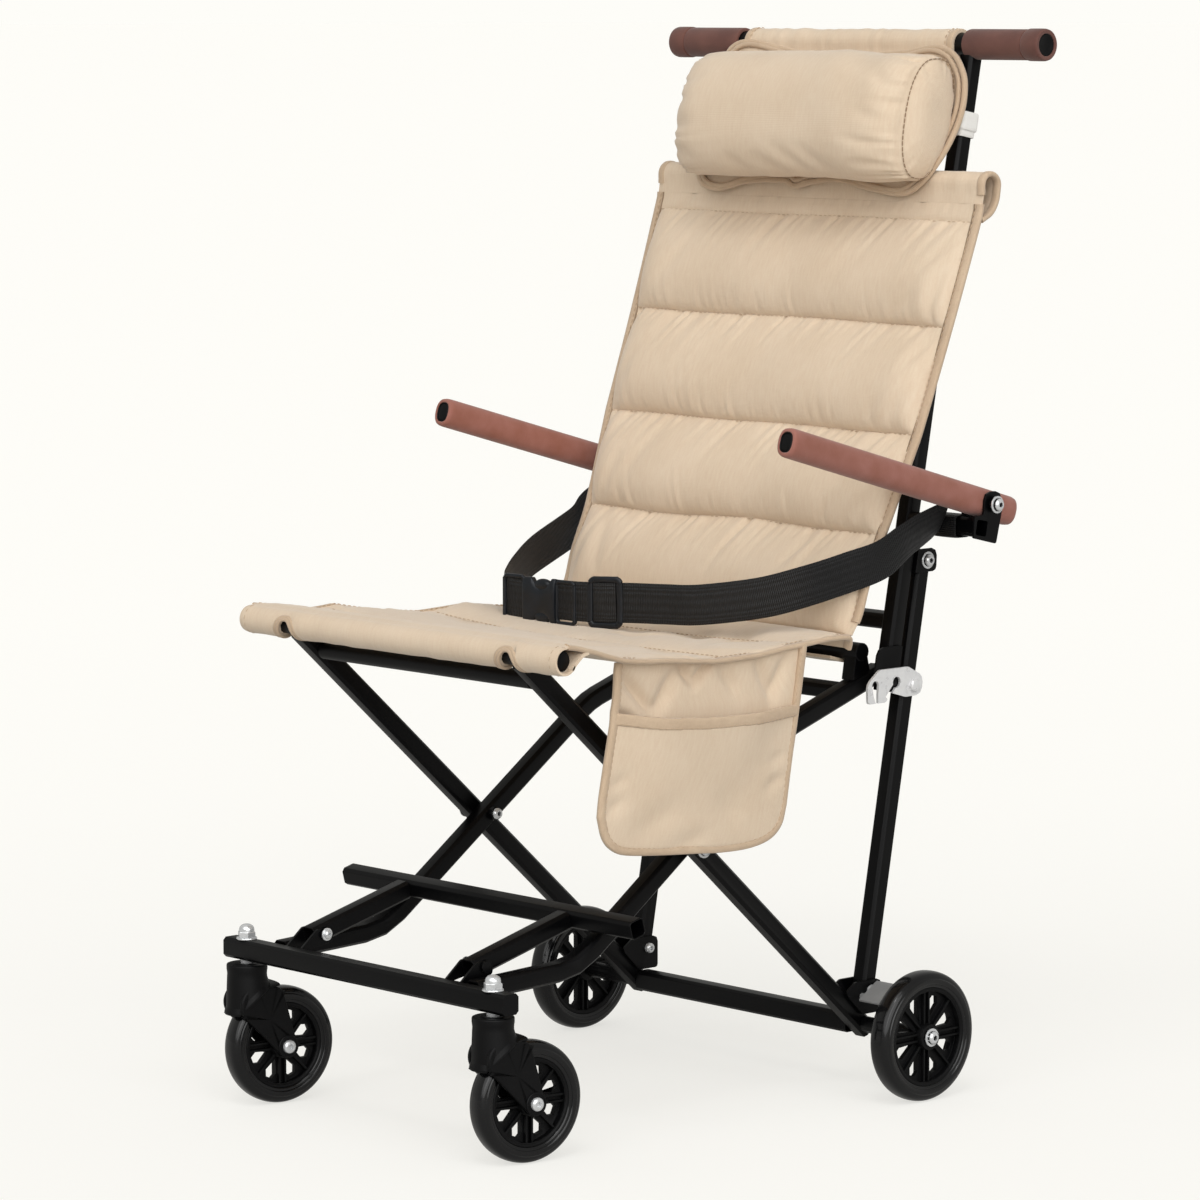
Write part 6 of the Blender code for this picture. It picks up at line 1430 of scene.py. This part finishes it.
# %% Make the buckle and the slider
SLEEVE_FROM, SLEEVE_LONG, SLEEVE_LIFT, BUTTON_OFF = -0.0243, 0.0436, -0.0028, 0.0158
u = np.linspace(0, 1, 60)
along = SLEEVE_FROM + SLEEVE_LONG * u
notch = np.cos(math.pi / 2 * np.clip(np.abs(along - 0.0005) / 0.0128, 0, 1)) ** 0.8
ends = np.clip(1 - np.abs(2 * u - 1) ** 24, 0, 1) ** 0.5
sleeve_stations = np.stack([along, (0.0226 - 0.0098 * notch) * (0.90 + 0.10 * ends),
                            0.0054 * (0.45 + 0.55 * ends)], 1)
t = np.linspace(-1, 1, 40)
button_stations = np.stack([0.0012 + 0.0106 * t, 0.0004 + 0.0056 * np.sqrt(np.clip(1 - t ** 2, 0, 1)),
                            0.0006 + 0.0040 * np.clip(1 - t ** 4, 0, 1) ** 0.5], 1)
buckle_parts = [swelling(closed_ends(sleeve_stations), SLEEVE_LIFT)]
buckle_parts += [swelling(closed_ends(button_stations), SLEEVE_LIFT + side * BUTTON_OFF, power=0.9)
                 for side in (1, -1)]
WEB_BARS = [     # along, height and corner of each bar's frame, then its section
    ((-0.0500, -0.0235, -0.0258, 0.0192, 0.0040), 0.0040, 0.0052),
    ((0.0190, 0.0420, -0.0230, 0.0176, 0.0038), 0.0038, 0.0050)]
buckle_parts += [frame_round(BUCKLE, BUCKLE_RUN, BUCKLE_OUT, *bar) for bar in WEB_BARS]
piece("side_release_buckle", buckle_parts, ACETAL, "back_frame", "buckle_plastic", "belt_buckle")

SLIDER_FROM, SLIDER_TO = -0.0300, 0.0020       # x of the stretch of strap that it sits on
glide_at = along_curve(RUNS["left"], 400)
glide_at = glide_at[(glide_at[:, 0] > SLIDER_FROM) & (glide_at[:, 0] < SLIDER_TO)]
glide_run = unit(glide_at[-1] - glide_at[0])
glide_out = np.cross(glide_run, UP)
middle = glide_at.mean(0)
bar = middle + np.linspace(-0.0215, 0.0215, 12)[:, None] * UP - glide_out * 0.0010
piece("webbing_slider", [
    frame_round(middle, glide_run, glide_out, (-0.0165, 0.0165, -0.0225, 0.0225, 0.0050), 0.0062, 0.0046),
    tape(bar, glide_out, 0.0060, 0.0030)], ACETAL, "back_frame", "buckle_plastic")
over = middle + np.linspace(-0.0125, 0.0125, 30)[:, None] * glide_run
over = over + (0.0007 + 0.0012 * np.cos(np.linspace(-1.5, 1.5, 30)))[:, None] * glide_out
piece("webbing_over_slider_bar", tape(over, glide_out, STRAP_WIDE - 0.0006, STRAP_THICK, steps=20),
      WEBBING, "back_frame", "webbing", smooth=50)
print("buckle of", len(buckle_parts), "mouldings and bars, and a slider")

# %% [markdown]
# ### White ties of the pillow
# A white polyester tape goes round each upright and back to the pillow's rear, so that
# the bolster can't ride up. It is carried round the square tube as a closed band.

# %% Tie the pillow to the uprights
TIE_WIDE, TIE_THICK, TIE_HEIGHT = 0.0180, 0.0014, 0.937
lean = unit(np.array([0, BACK_SLOPE, 1.0]))
front = np.cross(LEFTWARD, lean)
a = full_circle(48)
wide, deep = (squared(way(a), SQUARE_BAND)[:, None] for way in (np.cos, np.sin))
spoke = np.cos(a)[:, None] * LEFTWARD + np.sin(a)[:, None] * front
ties = []
for sign in (1, -1):
    centre = np.array([sign * UPRIGHT_X, float(back_y(TIE_HEIGHT)), TIE_HEIGHT])
    for grow, up in ((0.0102, -0.0035), (0.0118, 0.0030)):
        band = centre + up * lean + grow * wide * LEFTWARD + grow * deep * front
        ties.append(tape(band, spoke, TIE_WIDE, TIE_THICK, closed=True, steps=14))
    run = centre + np.array([(-sign * 0.006, -0.0110, 0), (-sign * 0.020, -0.0150, 0.001),
                             (-sign * 0.038, -0.0150, 0.002)])
    ties.append(tape(along_curve(run, 20), front, TIE_WIDE, TIE_THICK, steps=14))
piece("pillow_ties", ties, WHITE_TAPE, "back_frame", "webbing", smooth=50)
print(len(ties), "bands of tape tie the pillow")

# %% [markdown]
# ## Wheels
# Each wheel is a solid polyurethane tyre on a moulded centre. The tyre is a body of
# revolution, so its section is drawn once and turned in fine steps: a round crown and two
# low steps on each side, where the mould closes. The centre keeps its ribs and windows,
# and gets smooth turned rings over its flange and its hub.

# %% Turn the tyres, the flanges and the hubs
TYRE_DEEP, RIM_WALL = 0.015375, 0.0035
REAR_RADIUS, CASTER_RADIUS, CASTER_TURN = 0.0635, 0.0571, math.radians(-8.0)
REAR_HUB, CASTER_TRAIL, SWIVEL = (0.2435, 0.197, REAR_RADIUS), 0.035, (0.178, -0.298)


def mirrored(profile):
    """A half profile from the outer face inwards, and its mirror image after it."""
    profile = np.asarray(profile, float)
    return np.concatenate([profile, (profile * np.array([-1, 1]))[::-1]])


def tyre_section(radius):
    """(along, radius) from the bead over one side and the crown to the other."""
    low = radius - TYRE_DEEP
    return along_curve(mirrored([
        (0.0086, low - 0.0003), (0.0097, low + 0.0002), (0.0104, low + 0.0014), (0.0106, low + 0.0030),
        (0.0113, low + 0.0034), (0.0118, low + 0.0044), (0.0120, low + 0.0066), (0.0118, low + 0.0082),
        (0.0112, low + 0.0086), (0.0107, radius - 0.0046), (0.0090, radius - 0.0021),
        (0.0062, radius - 0.0007), (0.0028, radius - 0.0001), (0.0003, radius)]), 84)


def on_both_faces(lines, centre, axis, steps):
    """Each profile turned on one face of a wheel or fork, then mirrored on the other."""
    return [lathe(np.array(line) * (face, 1), centre, axis, steps, flip=face < 0)
            for face in (1, -1) for line in lines]


def wheel(name, radius, centre, axis, body, node_tyre):
    """Tyre, flange, hub and bearing shields of one wheel, riding on its own body."""
    piece(f"{name}_tyre", lathe(tyre_section(radius), centre, axis, 144), TYRE,
          body, "tyre", node_tyre, smooth=28)
    outer, inner = radius - TYRE_DEEP + 0.0004, radius - TYRE_DEEP - RIM_WALL
    flange = [(0.0040, inner - 0.0006), (0.0078, inner - 0.0004), (0.0094, inner + 0.0006),
              (0.0099, inner + 0.0016), (0.0099, outer - 0.0010), (0.0093, outer - 0.0002),
              (0.0080, outer)]
    hub = [(0.0030, 0.0129), (0.0108, 0.0127), (0.0120, 0.0119), (0.0122, 0.0108),
           (0.0122, 0.0096), (0.0112, 0.0090), (0.0104, 0.0090)]
    shield = [(0.0104, 0.0091), (0.0111, 0.0088), (0.0112, 0.0072), (0.0107, 0.0068), (0.0107, 0.0050)]
    piece(f"{name}_flanges", on_both_faces([flange, hub], centre, axis, 120), MOULDED,
          body, "wheel_plastic", smooth=35, solid=False)
    piece(f"{name}_bearing_shields", on_both_faces([shield], centre, axis, 72), ZINC,
          body, "bright_bolts", smooth=35, solid=False)

# %% Fit the wheels
swivels = {}
for side, sign in SIDES.items():
    wheel(f"rear_{side}", REAR_RADIUS, (sign * REAR_HUB[0], *REAR_HUB[1:]), (1, 0, 0),
          f"rear_wheel_{side}", f"rear_tyre_{side}")
    hub = np.array([sign * SWIVEL[0] - CASTER_TRAIL * math.sin(CASTER_TURN),
                    SWIVEL[1] + CASTER_TRAIL * math.cos(CASTER_TURN), CASTER_RADIUS])
    axis = np.array([math.cos(CASTER_TURN), math.sin(CASTER_TURN), 0.0])
    swivels[side] = (sign, hub, axis)
    wheel(f"caster_{side}", CASTER_RADIUS, hub, axis, f"caster_wheel_{side}", f"caster_tyre_{side}")

# %% [markdown]
# ### Caster forks
# A fork is one moulding: a round barrel for the swivel bearings, a hood that curls over
# the wheel, and a leg on each side that narrows to a boss at the axle. The leg is the
# smallest outline round three circles, which is how such a part is drawn, and its edge
# is rounded in the mould. It is modelled again so that the barrel and the bosses are round.

# %% Mould the caster forks
def outline_round(circles):
    """The convex outline round circles (y, z, radius): in each direction, the circle's
    point that lies furthest that way."""
    circles = np.asarray(circles, float)
    way = arc((0, 0), 1.0, full_circle(720))
    reach = way @ circles[:, :2].T + circles[:, 2]
    best = reach.argmax(1)
    points = circles[best, :2] + circles[best, 2:] * way
    return along_curve(points, 150, closed=True)


LEG_CIRCLES = [(-0.0345, 0.0440, 0.0173), (-0.0140, 0.0490, 0.0105), (0.0, 0.0, 0.0108)]
LEG_MIDDLE = np.array([-0.020, 0.028])
LEG_ROWS = [(0.0136, 0.0012, share) for share in (0.02, 0.93, 0.97, 1)] + [
    (depth, inset, 1) for depth, inset in (
        (0.0139, 0.0004), (0.0146, 0.0), (0.0164, 0.0), (0.0172, 0.0003), (0.0177, 0.0009))] + [
    (0.0180, 0.0018, share) for share in (1, 0.97, 0.93, 0.02)]
ARCH_RADIUS, CUT_RADIUS, FOOT_LOW, FOOT_HIGH = 0.0612, 0.0210, 0.0905, 0.1170
HOOD_RADIUS, HOOD_WIDE, HOOD_THICK, AXLE_END = 0.0620, 0.0350, 0.0048, 0.0188
HOOD_FROM, HOOD_TO = 98, 128       # degrees round the axle: 0 is to the rear, 90 is up
SKIRT_ROWS = [(0.0100, 0.0012), (0.0185, 0.0010), (0.0205, 0.0002), (0.0216, 0.0004),
              (0.0221, 0.0014), (0.0221, 0.0026), (0.0214, 0.0048), (0.0204, 0.0076)]
BARREL_ROWS = [(0.1270, 0.0193), (0.1300, 0.0191), (0.1330, 0.0194), (0.1345, 0.0197),
               (0.1382, 0.0197), (0.1392, 0.0193), (0.1396, 0.0184), (0.1396, 0.0120),
               (0.1401, 0.0112), (0.1401, 0.0070)]
CAP = [(0.0176, 0.0112), (0.0186, 0.0110), (0.0191, 0.0104), (0.0191, 0.0094), (0.0187, 0.0090),
       (0.0187, 0.0060)]


def leg_of_fork(hub, axis, back, face):
    """The leg's outline carried from its inner to its outer face: a row is its depth, how
    far it is drawn in for the moulded edge, and its share of the outline's size."""
    line = outline_round(LEG_CIRCLES)
    inward = square_to(line, closed=True)
    rows = []
    for depth, inset, share in LEG_ROWS:
        flat = line + inward * inset
        flat = LEG_MIDDLE + (flat - LEG_MIDDLE) * share
        rows.append(hub + axis * depth * face + flat[:, :1] * back + flat[:, 1:] * UP)
    return grid(np.array(rows), ends=(True, True), flip=face < 0)


def barrel_and_skirt(sign, hub, axis, back):
    """A turned barrel whose foot is cut by the wheel's arch: at each bearing the foot is
    as high as a circle round the hub, and flares out just above the cut."""
    a = full_circle(120)
    centre = np.array([sign * SWIVEL[0], SWIVEL[1], 0.0])
    spoke = np.cos(a)[:, None] * back + np.sin(a)[:, None] * axis
    behind = (centre + CUT_RADIUS * spoke - hub) @ back
    foot = CASTER_RADIUS + np.sqrt(np.clip(ARCH_RADIUS ** 2 - behind ** 2, 0, None))
    foot = np.minimum(np.maximum(foot, FOOT_LOW), FOOT_HIGH)
    rows = [centre + spoke * radius + (foot + lift)[:, None] * UP for radius, lift in SKIRT_ROWS]
    rows += [centre + spoke * radius + z * UP for z, radius in BARREL_ROWS]
    return grid(np.array(rows), ends=(True, False))

# %% Make the forks
for side, (sign, hub, axis) in swivels.items():
    back = np.cross(UP, axis)
    a = np.radians(np.linspace(HOOD_FROM, HOOD_TO, 24))
    spoke = np.cos(a)[:, None] * back + np.sin(a)[:, None] * UP
    parts = [barrel_and_skirt(sign, hub, axis, back),
             tape(hub + spoke * HOOD_RADIUS, spoke, HOOD_WIDE, HOOD_THICK, steps=24),
             *(leg_of_fork(hub, axis, back, face) for face in (1, -1)),
             *on_both_faces([CAP], hub, axis, 72)]
    piece(f"caster_fork_moulding_{side}", parts, MOULDED, f"caster_{side}", "wheel_plastic",
          f"caster_fork_{side}", smooth=14)
print(len(swivels), "forks")

# %% [markdown]
# ## Bolts and nuts
# The chair is bolted together, and the bolts are bright against the black. A head is a
# low turned button with a hexagon socket, on a washer. A dome nut is a hexagon with a
# cap, so its section is turned with a radius that follows the hexagon's flats.

# %% Fit the bright bolts
def hexagon(steps):
    """The radius of a hexagon's flats at each angle, where that of its corners is 1."""
    a = full_circle(steps)
    return (math.cos(math.pi / 6) / np.cos(a % (math.pi / 3) - math.pi / 6))[:, None]


def button(centre, axis, radius, tall, washer):
    """Washer, domed head and hexagon socket, the flats made by dividing the radius by the
    cosine of the angle to the nearest flat."""
    head = [(0.0, radius), (tall * 0.50, radius), (tall * 0.70, radius * 0.95),
            (tall * 0.88, radius * 0.80), (tall, radius * 0.58), (tall, radius * 0.48)]
    if washer:
        head = [(-0.0007, radius * 1.42), (0.0003, radius * 1.42), (0.0005, radius * 1.36),
                (0.0005, radius * 1.02)] + head
    rows = [turned(head, centre, axis, 48)]
    centre, axis = np.asarray(centre, float), unit(np.asarray(axis, float))
    for along, share in ((tall, 0.46), (tall * 0.35, 0.44), (tall * 0.3, 0.02)):
        middle = centre + axis * along
        rows.append(middle + (turned([(along, radius * share)], centre, axis, 48) - middle) * hexagon(48))
    return grid(np.concatenate(rows), ends=(False, True))


def bolts(name, body, places, radius=0.0059, tall=0.0048, looks=1, washer=True):
    """Heads on both sides of the chair, looking outwards along x, or inwards for -1."""
    piece(name, [button((sign * x, y, z), (sign * looks, 0, 0), radius, tall, washer)
                 for x, y, z in places for sign in (1, -1)], ZINC, body, "bright_bolts", smooth=32)

# %% Place the bolts
bolts("crossing_bolts", "seat_frame", [(0.1706, -0.0245, 0.2616)])
bolts("back_pivot_bolts", "back_frame", [(0.1712, 0.2771, 0.5140)])
bolts("armrest_bolts", "back_frame", [(0.2634, 0.2765, 0.5750)])
bolts("rear_axle_bolts", "seat_frame", [(0.2574, 0.1970, 0.0635)], 0.0062)
bolts("leg_pivot_bolts", "leg_frame", [(0.1708, 0.2020, 0.0960)], 0.0065, 0.0037, washer=False)
bolts("foot_pivot_bolts", "footrest", [(0.1000, -0.2625, 0.1735)], 0.0043, 0.0036, -1)
bolts("crossing_inner_bolts", "seat_frame", [(0.1262, -0.0245, 0.2616)], 0.0056, 0.0056, -1, False)
bolts("leg_lug_inner_bolts", "leg_frame", [(0.1466, 0.2020, 0.0960)], 0.0052, 0.0048, -1, False)
for side, (sign, hub, axis) in swivels.items():
    heads = [button(hub + f * AXLE_END * axis, f * axis, 0.0064, 0.0042, False) for f in (1, -1)]
    piece(f"caster_axle_bolt_{side}", heads, ZINC, f"caster_{side}", "bright_bolts", smooth=32)


NUT_LOW = [(0.1195, 0.0001), (0.1195, 0.0046), (0.1200, 0.0050), (0.1365, 0.0050), (0.1396, 0.0062),
           (0.1436, 0.0064), (0.1436, 0.0048), (0.1632, 0.0048), (0.1632, 0.0098), (0.1639, 0.0101),
           (0.1648, 0.0098), (0.1648, 0.0084)]
NUT_HEXAGON = [(0.1648, 0.0084), (0.1653, 0.0089), (0.1700, 0.0089), (0.1706, 0.0084)]


def dome_nut(x):
    """Stem, collar, washer, hexagon and dome above the caster bar."""
    def turn(profile):
        return turned(profile, (x, SWIVEL[1], 0), (0, 0, 1), 72)

    middle = np.array([x, SWIVEL[1], 0]) + np.array(NUT_HEXAGON)[:, None, :1] * UP
    t = np.radians(np.linspace(0, 88, 14))
    dome = np.stack([0.1706 + 0.0016 * (t > 0.01) + 0.0058 * np.sin(t), 0.0074 * np.cos(t) ** 0.9], 1)
    rows = [turn(NUT_LOW), middle + (turn(NUT_HEXAGON) - middle) * hexagon(72), turn(dome)]
    return grid(np.concatenate(rows), ends=(True, True))


piece("caster_dome_nuts", [dome_nut(sign * SWIVEL[0]) for sign in (1, -1)], ZINC, "cross_frame",
      "bright_bolts", "swivel_bolt_left", "swivel_bolt_right", smooth=30)

# %% [markdown]
# ## Foam on the handles and the armrests
# Nitrile foam tube is pushed over the steel and ground round at its ends. A push handle
# has a raised collar at its outer end with a groove inside it, and an armrest is a flat
# oval, closed at the front by a plug pressed into the foam.

# %% Push the foam on
GRIP = [(0.1570, 0.0116), (0.1570, 0.0138), (0.1577, 0.0147), (0.1592, 0.0150), (0.2330, 0.0150),
        (0.2338, 0.0149), (0.2344, 0.0143), (0.2349, 0.0143), (0.2354, 0.0151), (0.2366, 0.0157),
        (0.2480, 0.0158), (0.2540, 0.0157), (0.2560, 0.0152), (0.2569, 0.0143), (0.2570, 0.0128),
        (0.2566, 0.0112), (0.2552, 0.0108)]
GRIP_PLUG = [(0.2540, 0.0112), (0.2554, 0.0110), (0.2560, 0.0104), (0.2561, 0.0086),
             (0.2557, 0.0080), (0.2556, 0.0002)]
for side, sign in SIDES.items():
    foam, plug = (lathe(np.array(line) * (sign, 1), (0, *HANDLE), (1, 0, 0), steps, ends, sign < 0)
                  for line, steps, ends in ((GRIP, 96, (False, False)), (GRIP_PLUG, 64, (False, True))))
    piece(f"push_handle_foam_{side}", foam, HANDLE_FOAM, "back_frame", "handle_foam",
          f"handle_grip_{side}", solid=False)
    piece(f"handle_end_plug_{side}", plug, MOULDED, "back_frame", "wheel_plastic", solid=False)

ARM_BOLT, ARM_SLOPE = np.array([0.2765, 0.5750]), math.radians(15.6)
ARM_X, ARM_WIDE, ARM_TALL = 0.243, 0.0245, 0.0285


def arm_rows(x, stations, power=0.80):
    """Oval rings along the armrest: a station is how far ahead of the bolt it lies, and
    the ring's width and height as shares of the foam's."""
    ahead = np.array([-math.cos(ARM_SLOPE), math.sin(ARM_SLOPE)])
    rise = np.array([math.sin(ARM_SLOPE), math.cos(ARM_SLOPE)])
    rows = []
    for along, wide, tall in stations:
        section = oval(ARM_WIDE * wide, ARM_TALL * tall, 56, power)
        middle = ARM_BOLT + ahead * along
        rows.append(at_side(x + section[:, 0], middle + section[:, 1:] * rise))
    return np.array(rows)


ARM_TUBE = [(-0.0400, 0.02, 0.02), (-0.0400, 0.66, 0.66), (-0.0392, 0.82, 0.84), (-0.0374, 0.94, 0.95),
            *((a, 1.0, 1.0) for a in np.linspace(-0.034, 0.270, 24)),
            (0.2738, 0.985, 0.985), (0.2762, 0.93, 0.94), (0.2774, 0.84, 0.86), (0.2775, 0.70, 0.73),
            (0.2768, 0.655, 0.690), (0.2740, 0.65, 0.685)]
ARM_PLUG = [(0.2730, 0.645, 0.680), (0.2770, 0.64, 0.675), (0.2774, 0.60, 0.64), (0.2771, 0.565, 0.61),
            (0.2764, 0.545, 0.59), (0.2768, 0.50, 0.55), (0.2772, 0.30, 0.35), (0.2773, 0.02, 0.02)]
for side, sign in SIDES.items():
    x = sign * ARM_X
    piece(f"armrest_foam_tube_{side}", grid(arm_rows(x, ARM_TUBE), ends=(True, False)),
          ARM_FOAM, f"armrest_{side}", "armrest_foam", f"armrest_foam_{side}", smooth=50, solid=False)
    piece(f"armrest_plug_{side}", grid(arm_rows(x, ARM_PLUG, 0.7), ends=(False, True)),
          MOULDED, f"armrest_{side}", "wheel_plastic", f"armrest_core_{side}", solid=False)
print("foam on", len(SIDES), "handles and", len(SIDES), "armrests")

# %% [markdown]
# ## Round bars
# The bars in the seat's front hem, under the seat, in the back's top hem and across the
# push handles are drawn round tube, with a small chamfer where the saw cut it.

# %% Draw the round bars again in fine steps
ROUND_BARS = {                 # node: (half length, y, z, radius, body)
    "seat_front_bar": (0.2210, -0.2520, 0.4650, 0.0095, "seat_frame"),
    "under_seat_bar": (0.1497, -0.2222, 0.4383, 0.0085, "seat_frame"),
    "back_top_bar": (0.2050, 0.3036, 0.8800, 0.0090, "back_frame"),
    "handlebar": (0.2556, 0.3476, 1.0146, 0.0110, "back_frame"),
}
for node, (half, y, z, radius, body) in ROUND_BARS.items():
    ends = [(-half, 0.0002), (-half, radius - 0.0012), (-half + 0.0006, radius), (half - 0.0006, radius),
            (half, radius - 0.0012), (half, 0.0002)]
    piece(f"{node}_tube", lathe(ends, (0, y, z), (1, 0, 0), 72, (True, True)), POWDER,
          body, "black_steel", node, smooth=30)
print(len(ROUND_BARS), "round bars")
